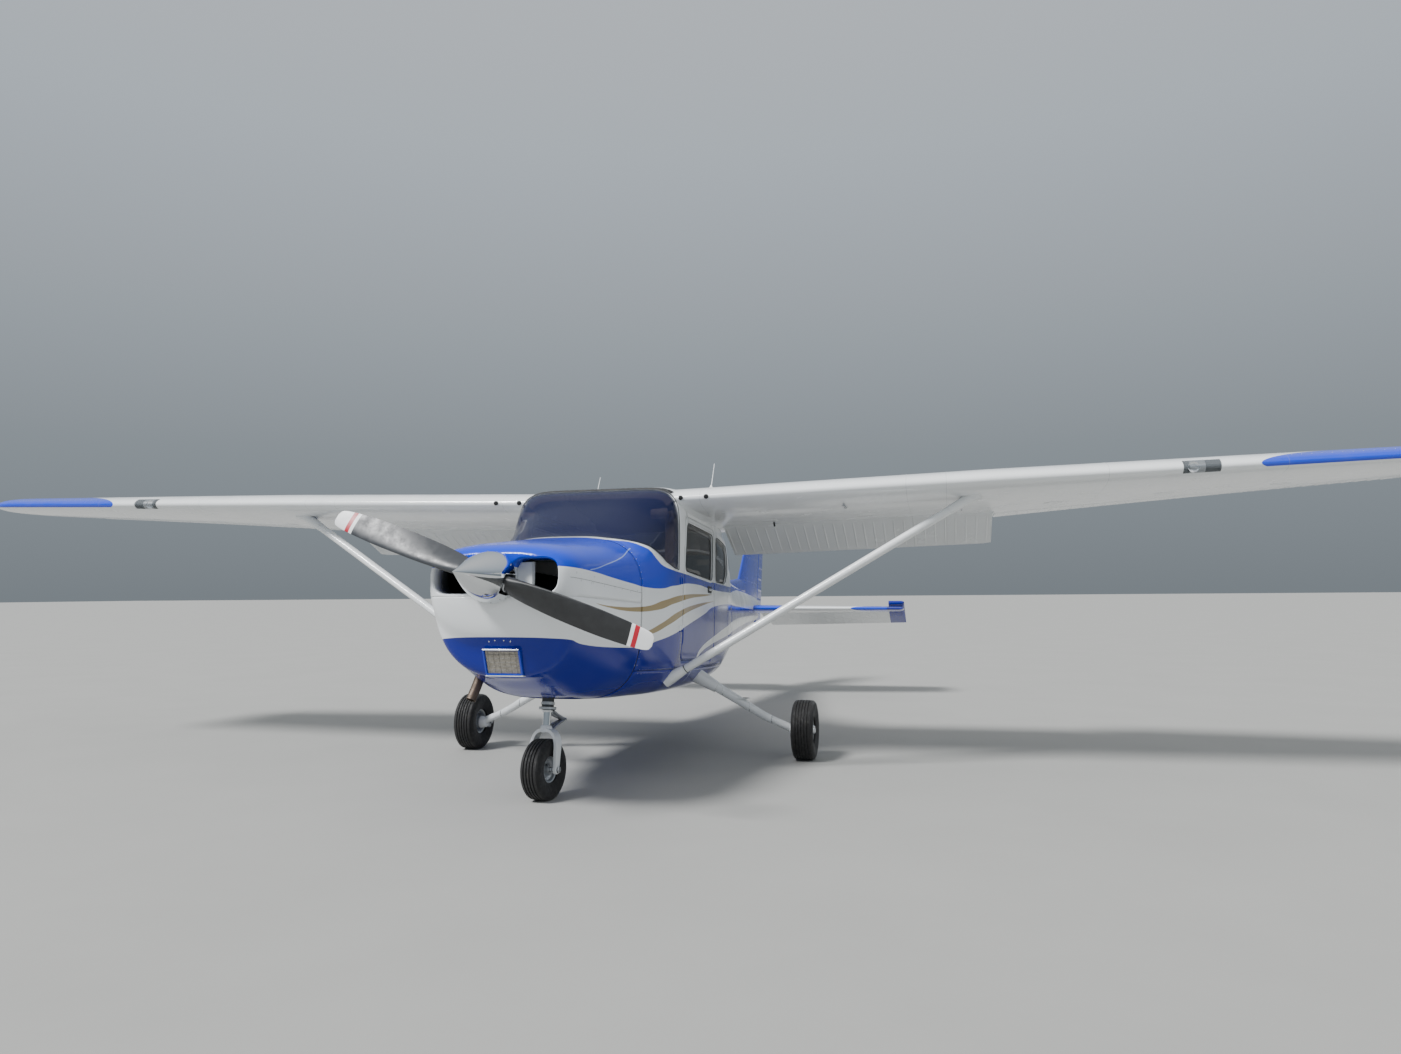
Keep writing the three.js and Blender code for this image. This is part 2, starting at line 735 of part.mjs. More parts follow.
// Hinge point of the aileron or flap at a span position, as x, station and height
function controlHinge(kind, x, side) {
  const { chord } = wingPlan(x);
  const flapHeight = sectionMiddle(kind.hinge) - halfThickness(kind.hinge) * 0.12
    + FLAP.lift / chord;
  const v = kind === FLAP ? flapHeight : sectionMiddle(kind.hinge);
  const [px, py, pz] = wingPoint(x, kind.hinge, v, side);
  return [px, stationAt(py), pz];
}

// Slab from the hinge line to behind the wing, with its front face moved and sloped
function controlZone(kind, side, from, to, front, slope) {
  const rings = [from, to].map((x) => {
    const [px, station, z] = controlHinge(kind, x, side);
    const low = station + front - 200 * slope;
    const high = station + front + 200 * slope;
    return [[px, low, z - 200], [px, station + 900, z - 200], [px, station + 900, z + 200],
      [px, high, z + 200]].map(([rx, s, rz]) => [rx, stationY(s), rz]);
  });
  return solid(loft(rings));
}

function noseRadius(kind, x) {
  return halfThickness(kind.hinge) * 0.12 * wingPlan(x).chord - 1.5;
}

function wing(side) {
  const aileronNose = -noseRadius(AILERON, AILERON.from) - RUNNING_GAP - 2;
  return cut(
    wholeWing(side),
    grownBody,
    controlZone(AILERON, side, AILERON.from - RUNNING_GAP, AILERON.to + RUNNING_GAP, aileronNose, 0),
    controlZone(FLAP, side, FLAP.from - RUNNING_GAP, FLAP.to + RUNNING_GAP, -32, FLAP.slope),
  );
}

function aileron(side) {
  const body = wholeWing(side).intersect(controlZone(AILERON, side, AILERON.from, AILERON.to, 0, 0));
  const ends = [AILERON.from, AILERON.to];
  const [root, tip] = ends.map((x) => controlHinge(AILERON, x, side));
  const [r0, r1] = ends.map((x) => noseRadius(AILERON, x));
  const reach = RUNNING_GAP - 4 * GAP;
  const pins = [AILERON.from - reach, AILERON.to + reach];
  const [start, end] = pins.map((x) => controlHinge(AILERON, x, side));
  return join(body, bar(root, tip, r0, r1, 20), bar(start, end, 7, 7, 10));
}

function turnedAbout(manifold, from, to, degrees) {
  const start = new THREE.Vector3(from[0], stationY(from[1]), from[2]);
  const end = new THREE.Vector3(to[0], stationY(to[1]), to[2]);
  const axis = end.clone().sub(start).normalize();
  const geometry = geometryOf(manifold);
  geometry.translate(-start.x, -start.y, -start.z);
  geometry.applyQuaternion(new THREE.Quaternion().setFromAxisAngle(
    axis,
    THREE.MathUtils.degToRad(degrees),
  ));
  geometry.translate(start.x, start.y, start.z);
  return solid(geometry);
}

// The flap hangs lowered, as it stands in the parked aircraft
function flap(side) {
  const body = wholeWing(side).intersect(
    controlZone(FLAP, side, FLAP.from, FLAP.to, -6, FLAP.slope),
  );
  const reach = RUNNING_GAP - 3 * GAP;
  const ends = [FLAP.from - reach, FLAP.to + reach];
  const [start, end] = ends.map((x) => controlHinge(FLAP, x, side));
  const [root, tip] = [FLAP.from, FLAP.to].map((x) => controlHinge(FLAP, x, side));
  const whole = join(body, bar(root, tip, 22, 22, 16), bar(start, end, 9, 9, 10));
  return turnedAbout(whole, start, end, -side * FLAP.rest);
}

// Rounded tip fairing, its sections shrinking towards a bowed outer edge
function wingTip(side) {
  const rows = [
    [WING.endX + GAP, 1, 0, 1],
    [5400, 0.955, 0.02, 0.9],
    [5470, 0.84, 0.09, 0.66],
    [HALF_SPAN, 0.64, 0.2, 0.3],
  ];
  const { chord, lead, height, incidence } = wingPlan(WING.endX);
  return solid(loft(rows.map(([x, scale, setback, thick]) => {
    const drop = (x - WING.endX) * Math.tan(WING.dihedral);
    return WING_SECTION.map(([u, v]) => [
      side * x,
      stationY(lead + chord * (setback + u * scale)),
      height + drop + chord * (v * thick - u * Math.sin(incidence)),
    ]);
  })));
}

function strutRing([x, station, z], side) {
  return symmetricFoil(STRUT.thickness / STRUT.chord).map(([u, v]) => [
    side * x - side * v * STRUT.chord * 0.52,
    stationY(station + (u - 0.4) * STRUT.chord),
    z + v * STRUT.chord * 0.855,
  ]);
}

function strut(side) {
  const bare = solid(loft([strutRing(STRUT.low, side), strutRing(STRUT.high, side)]));
  return cut(bare, grownBody, wholeWing(side, GAP));
}

// Fin with a low dorsal fillet ahead of it
function finRing(z, lead, tail, thickness) {
  const chord = tail - lead;
  return symmetricFoil(thickness / chord).map(([u, v]) => [
    v * chord,
    stationY(lead + u * chord),
    z,
  ]);
}

function finPlan(z) {
  const t = (z - FIN.rootZ) / (FIN.topZ - FIN.rootZ);
  const h = (z - RUDDER.lowZ) / (FIN.topZ - RUDDER.lowZ);
  return {
    lead: THREE.MathUtils.lerp(FIN.rootLead, FIN.topLead, t),
    hinge: THREE.MathUtils.lerp(RUDDER.hingeLow, RUDDER.hingeTop, h),
    tail: THREE.MathUtils.lerp(RUDDER.tailLow, TAIL_TIP, h),
    thickness: THREE.MathUtils.lerp(FIN.rootThickness, FIN.topThickness, t),
  };
}

function finAndRudder(low) {
  return solid(loft([low, FIN.topZ].map((z) => {
    const plan = finPlan(z);
    return finRing(z, plan.lead, plan.tail, plan.thickness);
  })));
}

function rudderZone(low, high, front) {
  const corners = [[finPlan(low).hinge + front, low], [9000, low], [9000, high],
    [finPlan(high).hinge + front, high]];
  return sidePrism(corners, -300, 300);
}

// Space inside the fin, open towards the rudder
function finSpace() {
  return solid(loft([1600, FIN.topZ - 12].map((z) => {
    const plan = finPlan(z);
    return finRing(z, plan.lead, plan.tail, plan.thickness)
      .map(([x, y]) => [x * 0.86, y + 16, z]);
  })));
}

function fin() {
  const clearance = RUDDER.nose + RUNNING_GAP;
  const blade = cut(finAndRudder(FIN.rootZ), finSpace(), rudderZone(1000, 2900, -clearance));
  const dorsal = sidePrism(DORSAL, -11, 11);
  const { station } = BEACON;
  const beacon = bar([0, station, FIN.topZ - 9], [0, station, HEIGHT], BEACON.low, BEACON.high, 16);
  return cut(join(blade, dorsal, beacon), grownTail);
}

function rudderHinge(z) {
  return [0, finPlan(z).hinge, z];
}

function rudder() {
  const low = RUDDER.lowZ;
  const top = FIN.topZ;
  const panel = finAndRudder(low).intersect(rudderZone(low - 9, top + 9, 0));
  const nose = bar(rudderHinge(low), rudderHinge(top), RUDDER.nose, RUDDER.nose - 6, 16);
  const trimmed = cut(nose, box([-99, 7400, top], [99, 8400, top + 99]),
    box([-99, 7400, low - 99], [99, 8400, low]));
  const pinAt = (z) => [0, finPlan(z).hinge - RUDDER.nose - RUNNING_GAP + GAP + 2.4, z];
  const arms = [1560, 2100].map((z) => bar(rudderHinge(z), pinAt(z), 9, 9, 10));
  return join(panel, trimmed, ...arms);
}

// Tailplane and elevator share one symmetric section
function tailRing(x, side, grow) {
  const t = Math.abs(x) / TAILPLANE.halfSpan;
  const lead = THREE.MathUtils.lerp(TAILPLANE.rootLead, TAILPLANE.tipLead, t);
  const tail = THREE.MathUtils.lerp(TAILPLANE.rootTail, TAILPLANE.tipTail, t);
  const thick = THREE.MathUtils.lerp(TAILPLANE.rootThickness, TAILPLANE.tipThickness, t);
  const chord = tail - lead;
  return growRing(symmetricFoil(thick / chord).map(([u, v]) => [
    side * x,
    stationY(lead + u * chord),
    TAILPLANE.height + v * chord,
  ]), grow);
}

function wholeTail(grow) {
  const stations = [-TAILPLANE.halfSpan, 0, TAILPLANE.halfSpan];
  return solid(loft(stations.map((x) => tailRing(x, 1, grow))));
}

function elevatorZone(front) {
  return box([-2000, TAILPLANE.hinge + front, 900], [2000, 9000, 1800]);
}

// Room for the balance horn at an outer end of the elevator
function hornZone(side, grow) {
  return box([side * (HORN.from - grow), HORN.front - grow, 900], [side * 2000, 9000, 1800]);
}

function wholeTailplane(grow) {
  return cut(
    wholeTail(grow),
    elevatorZone(-ELEVATOR_NOSE - RUNNING_GAP + grow),
    hornZone(1, HORN.gap),
    hornZone(-1, HORN.gap),
  );
}

// Space inside the tail surfaces between two span positions, open towards the hinge
function tailSpace(from, to) {
  return solid(loft([from, to].map((x) => tailRing(x, 1, 0).map(([px, y, z]) => [
    px,
    y + (stationY(TAILPLANE.hinge) - y) * 0.04,
    TAILPLANE.height + (z - TAILPLANE.height) * 0.86,
  ]))));
}

function tailplane() {
  const reach = TAILPLANE.halfSpan - 12;
  return cut(wholeTailplane(0), tailSpace(-reach, -8), tailSpace(8, reach));
}

function elevator() {
  const { hinge, height, innerX, halfSpan } = TAILPLANE;
  const slot = solid(loft([1000, 1700].map((z) => [
    [-innerX, stationY(hinge - 60), z],
    [innerX, stationY(hinge - 60), z],
    [230, stationY(7900), z],
    [-230, stationY(7900), z],
  ])));
  const reach = halfSpan - 12;
  const space = join(tailSpace(-reach, -40), tailSpace(40, reach)).intersect(elevatorZone(24));
  const panels = cut(wholeTail(0).intersect(elevatorZone(0)), space);
  const nose = bar([-halfSpan, hinge, height], [halfSpan, hinge, height], ELEVATOR_TUBE);
  const tube = bar([-400, hinge, height], [400, hinge, height], ELEVATOR_TUBE);
  const horns = [1, -1].map((side) => wholeTail(0).intersect(hornZone(side, 0)));
  return join(cut(join(panels, nose), slot), tube, ...horns);
}

function droopedElevator() {
  const { hinge, height } = TAILPLANE;
  const degrees = -THREE.MathUtils.radToDeg(ELEVATOR_REST);
  return turnedAbout(elevator(), [0, hinge, height], [100, hinge, height], degrees);
}

// Wheels. A wheel stands on one flat of its tyre, so its axle is a little under a radius high.
function wheelHeight(wheel) {
  return wheel.radius * Math.cos(Math.PI / WHEEL_SIDES);
}

// Height of the main axles in the airframe's axes, with all three wheels on the ground
function mainAxleHeight() {
  const rise = wheelHeight(MAIN_WHEEL) - wheelHeight(NOSE_WHEEL);
  const reach = (MAIN_WHEEL.station - NOSE_WHEEL.station) * Math.sin(STANCE);
  return wheelHeight(NOSE_WHEEL) + (rise + reach) / Math.cos(STANCE);
}

function lathedWheelPart(profile) {
  const geometry = new THREE.LatheGeometry(
    profile.map(([r, x]) => new THREE.Vector2(r, x)),
    WHEEL_SIDES,
  );
  geometry.rotateY(Math.PI / WHEEL_SIDES);
  geometry.rotateZ(-Math.PI / 2);
  return solid(geometry);
}

function tyre({ radius, width, rim }) {
  const half = width / 2;
  return lathedWheelPart([
    [rim + GAP, -half * 0.62],
    [radius * 0.68, -half * 0.97],
    [radius * 0.84, -half],
    [radius * 0.95, -half * 0.8],
    [radius, -half * 0.3],
    [radius, half * 0.3],
    [radius * 0.95, half * 0.8],
    [radius * 0.84, half],
    [radius * 0.68, half * 0.97],
    [rim + GAP, half * 0.62],
    [rim + GAP, -half * 0.62],
  ]);
}

// Share of the tyre's width between the wheel's middle and a rim edge, and the hub's boss
const RIM_SHARE = 0.31;
const RIM_BOSS = 8;

function rimPart({ width, rim, bore }) {
  const half = width * RIM_SHARE;
  const hole = bore + 1;
  const boss = bore + 22;
  const end = half + RIM_BOSS;
  return lathedWheelPart([
    [hole, -end],
    [boss, -end],
    [boss, -half * 0.5],
    [rim * 0.78, -half * 0.5],
    [rim, -half],
    [rim, half],
    [rim * 0.78, half * 0.5],
    [boss, half * 0.5],
    [boss, end],
    [hole, end],
    [hole, -end],
  ]);
}

// Tube of changing radius along points given as x, station, height and radius
function taperedTube(path, sides) {
  const centres = path.map(([x, station, z]) => new THREE.Vector3(x, stationY(station), z));
  const aft = new THREE.Vector3(0, 1, 0);
  return solid(loft(centres.map((centre, i) => {
    const before = centres[Math.max(0, i - 1)];
    const after = centres[Math.min(centres.length - 1, i + 1)];
    const along = after.clone().sub(before).normalize();
    const across = along.clone().cross(aft).normalize();
    const up = across.clone().cross(along);
    return Array.from({ length: sides }, (_, step) => {
      const angle = (2 * Math.PI * step) / sides;
      return centre.clone()
        .addScaledVector(across, path[i][3] * Math.cos(angle))
        .addScaledVector(up, path[i][3] * Math.sin(angle))
        .toArray();
    });
  })));
}

// Middle of the main leg's tube from the belly outwards: x, station, height and radius
const LEG_PATH = [
  [430, 2656, 728, 40],
  [560, 2660, 656, 38],
  [720, 2670, 562, 34],
  [880, 2680, 470, 31],
  [1030, 2690, 386, 28],
];
const LEG_END = { plate: 46, depth: 52, radius: 27, overhang: 74 };
const STEP = { tread: [[800, 2640, 512], [892, 2760, 520]], arm: [[830, 2672, 470], [862, 2696, 516]] };

// Main leg: a tapered spring tube from the belly to the wheel's inner side, with its axle
function mainLeg(side) {
  const z = mainAxleHeight();
  const { station, x, width, bore } = MAIN_WHEEL;
  const { plate, depth, radius, overhang } = LEG_END;
  const inner = x - width * RIM_SHARE - RIM_BOSS - GAP;
  const path = [...LEG_PATH, [inner - depth / 2, station, z + 8, radius]];
  const leg = taperedTube(path.map(([px, ...rest]) => [side * px, ...rest]), 14);
  const across = (near, far, r) => bar([side * near, station, z], [side * far, station, z], r, r, 20);
  const disc = across(inner - depth, inner, plate);
  const axle = across(inner - 9, x + overhang, bore);
  const step = Object.values(STEP).map(([near, far]) => box(
    [side * near[0], near[1], near[2]],
    [side * far[0], far[1], far[2]],
  ));
  return cut(join(leg, disc, axle, ...step), grownBody);
}

// Nose leg along the raked steering axis, as a distance up from the axle
function onSteerAxis(distance) {
  const z = wheelHeight(NOSE_WHEEL) + distance * Math.cos(STEER_RAKE);
  return [0, NOSE_WHEEL.station + distance * Math.sin(STEER_RAKE), z];
}

// Distances along the steering axis, above the axle
const NOSE_LEG = { joint: 330, top: 800, radius: 36, collar: 44, brackets: [620, 760] };
const FORK = { crown: 205, piston: 25, collar: 40, slack: 16, cheek: 16, apex: 180, link: 11 };

function noseStrut() {
  const { joint, top, radius, collar } = NOSE_LEG;
  const tube = bar(onSteerAxis(joint), onSteerAxis(top), radius, radius, 20);
  const ring = bar(onSteerAxis(joint), onSteerAxis(joint + 22), collar, collar, 20);
  const brackets = NOSE_LEG.brackets.map((distance) => {
    const [, station, z] = onSteerAxis(distance);
    return box([-45, station, z - 18], [45, cowlEnd, z + 18]);
  });
  return join(tube, ring, ...brackets);
}

// Rectangle seen from above, as a ring of points at one height
function level([x0, x1], [s0, s1], z) {
  return [[x0, s0], [x1, s0], [x1, s1], [x0, s1]].map(([x, s]) => [x, stationY(s), z]);
}

function noseFork() {
  const half = NOSE_WHEEL.width / 2 + FORK.slack;
  const outer = half + FORK.cheek - 7;
  const top = NOSE_LEG.joint - GAP;
  const [, axleStation, axleZ] = onSteerAxis(0);
  const [, station, z] = onSteerAxis(FORK.crown);
  const piston = bar(onSteerAxis(FORK.crown - 5), onSteerAxis(top), FORK.piston, FORK.piston, 20);
  const collar = bar(onSteerAxis(top - 30), onSteerAxis(top), FORK.collar, FORK.collar, 20);
  const crown = box([-outer, station - 40, z - 18], [outer, station + 40, z + 26]);
  const parts = [piston, collar, crown];
  for (const side of [1, -1]) {
    const reach = onSide(side, outer - FORK.cheek, outer);
    parts.push(solid(loft([
      level(reach, [station - 36, station + 36], z),
      level(reach, [axleStation - 22, axleStation + 22], axleZ - 20),
    ])));
  }
  const end = half + 24;
  parts.push(bar([-end, axleStation, axleZ], [end, axleStation, axleZ], NOSE_WHEEL.bore));
  const [, lowStation, lowZ] = onSteerAxis(FORK.crown + 20);
  const [, highStation, highZ] = onSteerAxis(top - 18);
  const apex = [0, lowStation + FORK.apex, (lowZ + highZ) / 2 - 6];
  parts.push(bar([0, lowStation + 20, lowZ], apex, FORK.link, FORK.link, 8));
  parts.push(bar(apex, [0, highStation + 20, highZ], FORK.link, FORK.link, 8));
  return turnedAbout(join(...parts), onSteerAxis(0), onSteerAxis(100), STEER_REST);
}

// Spinner: a thin pointed shell closed by a back plate, open where the blades come out
function spinnerCurve(inset) {
  const { back, radius, plate } = SPINNER;
  const length = back - NOSE_TIP - (inset > 0 ? plate + 3 * inset : 0);
  const points = [];
  for (let i = 0; i <= 7; i += 1) {
    const t = i / 7;
    const r = (radius - inset) * Math.sin((Math.PI / 2) * t ** 0.9);
    points.push([r, NOSE_TIP + 3 * inset + length * t]);
  }
  return points;
}

function spinner() {
  const { back, skin, hole, plate } = SPINNER;
  const inner = spinnerCurve(skin).reverse();
  const profile = [...spinnerCurve(0), [hole, back], [hole, back - plate], ...inner];
  const geometry = new THREE.LatheGeometry(
    profile.map(([r, s]) => new THREE.Vector2(r, stationY(s))),
    24,
  );
  geometry.translate(0, 0, PROP.hubHeight);
  const slots = [1, -1].map((side) => box(
    [side * BLADE_SLOT.inner, PROP.station - BLADE_SLOT.front, PROP.hubHeight - BLADE_SLOT.half],
    [side * BLADE_SLOT.outer, back - plate - 1, PROP.hubHeight + BLADE_SLOT.half],
  ));
  return cut(solid(geometry), ...slots.map((slot) => turnedProp(slot)));
}

function turnedProp(manifold) {
  const hub = PROP.hubHeight;
  return turnedAbout(manifold, [0, 0, hub], [0, 100, hub], PROP.turn);
}

// Blade sections by share of the radius: chord, thickness and pitch in degrees
const BLADE = [
  [0.07, 62, 56, 50],
  [0.14, 84, 48, 44],
  [0.26, 128, 30, 36],
  [0.45, 156, 21, 27],
  [0.65, 152, 15, 21],
  [0.82, 132, 11, 17],
  [0.94, 106, 8, 15],
  [1.0, 62, 6, 14],
].map(([reach, chord, thickness, pitch]) => ({ reach, chord, thickness, pitch }));

function propBlade(side) {
  return solid(loft(BLADE.map(({ reach, chord, thickness, pitch }) => {
    const angle = THREE.MathUtils.degToRad(pitch);
    return symmetricFoil(thickness / chord).map(([u, v]) => {
      const along = (0.42 - u) * chord;
      const across = v * chord;
      return [
        side * reach * PROP.radius,
        stationY(PROP.station) - along * Math.sin(angle) + across * Math.cos(angle),
        PROP.hubHeight + side * (along * Math.cos(angle) + across * Math.sin(angle)),
      ];
    });
  })));
}

function propeller() {
  const { station, hubHeight } = PROP;
  const ends = [station - HUB.front, SPINNER.back - SPINNER.plate - GAP];
  const hub = bar([0, ends[0], hubHeight], [0, ends[1], hubHeight], HUB.radius, HUB.radius, 20);
  return turnedProp(join(hub, propBlade(1), propBlade(-1)));
}

const COLOURS = {
  white: [0xe9edf0, 0.3, 0],
  blue: [0x123a86, 0.25, 0],
  glass: [0x2c3a44, 0.08, 0],
  rubber: [0x17181a, 0.85, 0],
  alloy: [0xb4b8bc, 0.35, 0.9],
  chrome: [0xdde2e6, 0.08, 1],
  steel: [0x6c6660, 0.5, 0.8],
  black: [0x1a1b1e, 0.5, 0],
  trim: [0x3a3d42, 0.7, 0],
  fabric: [0x8d8a82, 0.9, 0],
};

const aircraft = new THREE.Group();
const airframe = new THREE.Group();
aircraft.add(airframe);
airframe.rotation.x = -STANCE;

function addPart(name, manifold, colour, holder = airframe) {
  const [hex, roughness, metalness] = COLOURS[colour];
  const material = new THREE.MeshStandardMaterial({ color: hex, roughness, metalness });
  const mesh = new THREE.Mesh(geometryOf(manifold), material);
  mesh.name = name;
  holder.add(mesh);
  return mesh;
}

addPart('cowl_upper', cowlUpper(), 'blue');
addPart('cowl_lower', cowlLower(), 'white');
addPart('air_filter', airFilter(), 'black');
addPart('firewall', firewall(), 'alloy');
addPart('engine_block', engineBlock(), 'steel');
addPart('exhaust_pipe', exhaustPipe(), 'steel');
addPart('cabin_floor', cabinFloor(), 'blue');
addPart('cabin_roof', cabinRoof(), 'white');
addPart('windshield', windshield(), 'glass');
addPart('rear_window', rearWindow(), 'glass');
addPart('instrument_panel', instrumentPanel(), 'trim');
for (const { name, front, x0, x1, lean } of SEATS) {
  addPart(name, seat(front, x0, x1, lean), 'fabric');
}
addPart('baggage_bulkhead', bulkhead(), 'trim');
addPart('tailcone', tailcone(), 'white');
addPart('tailplane', tailplane(), 'white');
addPart('fin', fin(), 'blue');
addPart('nose_strut', noseStrut(), 'white');
addPart('propeller', propeller(), 'black');
addPart('spinner', spinner(), 'chrome');
addPart('nose_fork', noseFork(), 'white');
addPart('rudder', rudder(), 'blue');
addPart('elevator', droopedElevator(), 'white');
addPart('baggage_door', join(baggageDoor(),
  hingeKnuckles(BAGGAGE_HINGE, 1, true)), 'white');

for (const [side, name] of [[1, 'left'], [-1, 'right']]) {
  const posts = [hingeKnuckles(DOOR_HINGE, side, false)];
  if (side > 0) {
    posts.push(hingeKnuckles(BAGGAGE_HINGE, side, false));
  }
  addPart(`cabin_side_${name}`, join(cabinSide(side), ...posts), 'white');
  addPart(`cabin_door_${name}`, join(cabinDoor(side),
    hingeKnuckles(DOOR_HINGE, side, true)), 'white');
  addPart(`door_window_${name}`, doorWindow(side), 'glass');
  addPart(`quarter_window_${name}`, quarterWindow(side), 'glass');
  addPart(`wing_${name}`, wing(side), 'white');
  addPart(`wing_tip_${name}`, wingTip(side), 'blue');
  addPart(`aileron_${name}`, aileron(side), 'white');
  addPart(`flap_${name}`, flap(side), 'white');
  addPart(`wing_strut_${name}`, strut(side), 'white');
  addPart(`main_leg_${name}`, mainLeg(side), 'white');
}

// Sets a wheel at its axle's place, level across the aircraft or turned with the steering
function addWheel(name, wheel, side, axleHeight, turn = 0) {
  const holder = new THREE.Group();
  const axle = new THREE.Vector3(side * wheel.x, stationY(wheel.station), axleHeight);
  const lean = STEER_RAKE + STANCE;
  const steerAxis = new THREE.Vector3(0, Math.sin(lean), Math.cos(lean));
  holder.position.copy(airframe.localToWorld(axle));
  holder.setRotationFromAxisAngle(steerAxis, THREE.MathUtils.degToRad(turn));
  aircraft.add(holder);
  addPart(`${name}_tyre`, tyre(wheel), 'rubber', holder);
  addPart(`${name}_rim`, rimPart(wheel), 'alloy', holder);
}

const noseAxle = new THREE.Vector3(0, stationY(NOSE_WHEEL.station), wheelHeight(NOSE_WHEEL));
airframe.updateMatrixWorld(true);
airframe.position.z = wheelHeight(NOSE_WHEEL) - airframe.localToWorld(noseAxle).z;
airframe.updateMatrixWorld(true);
addWheel('nose', NOSE_WHEEL, 0, wheelHeight(NOSE_WHEEL), STEER_REST);
addWheel('main_left', MAIN_WHEEL, 1, mainAxleHeight());
addWheel('main_right', MAIN_WHEEL, -1, mainAxleHeight());

// The origin lies on the ground under the middle of the length
aircraft.children.forEach((child) => child.updateMatrixWorld(true));
const middle = new THREE.Box3().setFromObject(aircraft, true).getCenter(new THREE.Vector3());
aircraft.children.forEach((child) => child.position.setY(child.position.y - middle.y));

export default aircraft;
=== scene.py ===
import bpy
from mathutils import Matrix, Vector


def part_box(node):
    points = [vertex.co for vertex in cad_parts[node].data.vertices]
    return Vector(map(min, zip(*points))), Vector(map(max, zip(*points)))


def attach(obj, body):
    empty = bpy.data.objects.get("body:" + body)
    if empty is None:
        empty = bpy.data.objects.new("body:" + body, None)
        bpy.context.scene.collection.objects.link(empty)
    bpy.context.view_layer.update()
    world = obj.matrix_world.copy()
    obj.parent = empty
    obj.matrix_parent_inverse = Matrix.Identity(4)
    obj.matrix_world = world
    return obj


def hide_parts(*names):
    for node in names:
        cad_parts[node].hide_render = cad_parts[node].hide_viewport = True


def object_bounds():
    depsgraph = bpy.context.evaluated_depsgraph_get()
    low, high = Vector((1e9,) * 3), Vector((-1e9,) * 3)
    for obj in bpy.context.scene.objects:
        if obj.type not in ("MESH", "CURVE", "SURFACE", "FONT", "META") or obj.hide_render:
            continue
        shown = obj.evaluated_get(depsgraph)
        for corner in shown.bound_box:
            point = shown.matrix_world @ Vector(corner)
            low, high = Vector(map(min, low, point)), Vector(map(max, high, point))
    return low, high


bl_info = {
    "name": "Light Aircraft",
    "version": (1, 0, 0),
    "blender": (4, 5, 0),
    "location": "View3D > Sidebar > Aircraft",
    "description": "Dresses the packed high-wing light aircraft with skins, glass, cabin and gear",
    "category": "Add Mesh",
}

import math

import bmesh
import bpy
import numpy as np
from bpy.props import FloatProperty, FloatVectorProperty, PointerProperty
from bpy.types import Operator, Panel, PropertyGroup
from mathutils import Matrix, Vector
from mathutils.geometry import delaunay_2d_cdt
from numpy import (arange, array, asarray, broadcast_arrays, broadcast_to, clip, concatenate, cos,
                   cross, full, full_like, interp, linspace, maximum, minimum, ones, pi, radians,
                   sin, sqrt, stack, tile)

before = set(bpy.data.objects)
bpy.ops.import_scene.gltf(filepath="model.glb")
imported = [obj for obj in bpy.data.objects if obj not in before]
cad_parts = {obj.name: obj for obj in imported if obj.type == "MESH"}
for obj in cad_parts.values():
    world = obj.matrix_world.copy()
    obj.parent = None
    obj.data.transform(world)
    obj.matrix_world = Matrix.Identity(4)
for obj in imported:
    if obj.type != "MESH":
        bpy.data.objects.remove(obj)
CAD_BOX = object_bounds()
X, Y, Z = (1, 0, 0), (0, 1, 0), (0, 0, 1)
SIDES = (1, -1)

# The airframe's own axes are x to its left, the station aft of the datum and the height
# above the nose wheel's foot. It stands nose up on the ground.
STANCE = math.radians(3.2)
STATION_MIDDLE = 4.0205
SHIFT_Y = -0.108517
SHIFT_Z = -0.166438
HUB_HEIGHT = 1.248
# Span positions of the wing's ribs, where its sheets meet
SHEET_SEAMS = (0.72, 2.08, 2.33, 3.30, 4.30)

# Body sections: station, half width, top, bottom, height of the widest point, and how
# square the upper and lower halves are, in millimetres
BODY_ROWS = array([
    [300, 322, 1374, 1128, 1250, 3.0, 2.8],
    [320, 368, 1402, 1062, 1250, 3.0, 2.7],
    [362, 402, 1424, 968, 1245, 3.0, 2.6],
    [430, 430, 1441, 870, 1236, 3.0, 2.6],
    [490, 443, 1453, 728, 1226, 3.0, 2.5],
    [600, 458, 1470, 700, 1212, 3.0, 2.7],
    [800, 484, 1500, 640, 1188, 3.0, 2.9],
    [1000, 508, 1529, 592, 1165, 3.1, 3.2],
    [1219, 532, 1562, 572, 1150, 3.2, 3.5],
    [1290, 540, 1576, 570, 1155, 3.3, 3.8],
    [1450, 556, 1684, 566, 1170, 3.3, 4.0],
    [1650, 576, 1818, 566, 1185, 3.8, 4.2],
    [1862, 590, 1958, 566, 1200, 8.0, 4.6],
    [2000, 592, 1990, 566, 1200, 9.0, 4.6],
    [2400, 592, 2020, 570, 1200, 9.0, 4.6],
    [2900, 588, 2002, 582, 1200, 9.0, 4.4],
    [3480, 556, 1906, 616, 1200, 6.0, 4.0],
    [3700, 528, 1836, 640, 1200, 4.4, 3.7],
    [3950, 490, 1736, 668, 1200, 3.2, 3.4],
    [4250, 448, 1642, 714, 1195, 2.8, 3.0],
    [4700, 388, 1598, 790, 1205, 2.6, 2.7],
    [5460, 286, 1560, 926, 1250, 2.5, 2.5],
    [6420, 176, 1525, 1074, 1305, 2.4, 2.4],
    [7200, 96, 1502, 1172, 1340, 2.4, 2.4],
    [7440, 70, 1494, 1206, 1350, 2.4, 2.4],
]) * [0.001, 0.001, 0.001, 0.001, 0.001, 1, 1]
NOSE = 0.300
NOSE_JOIN = 0.430
FIREWALL = 1.219
CABIN_END = 3.950
TAIL_END = 7.440
COWL_SPLIT = 1.150
FLOOR_SPLIT = 0.740
ROOF_SPLIT = 1.862
SEAM = 0.0012


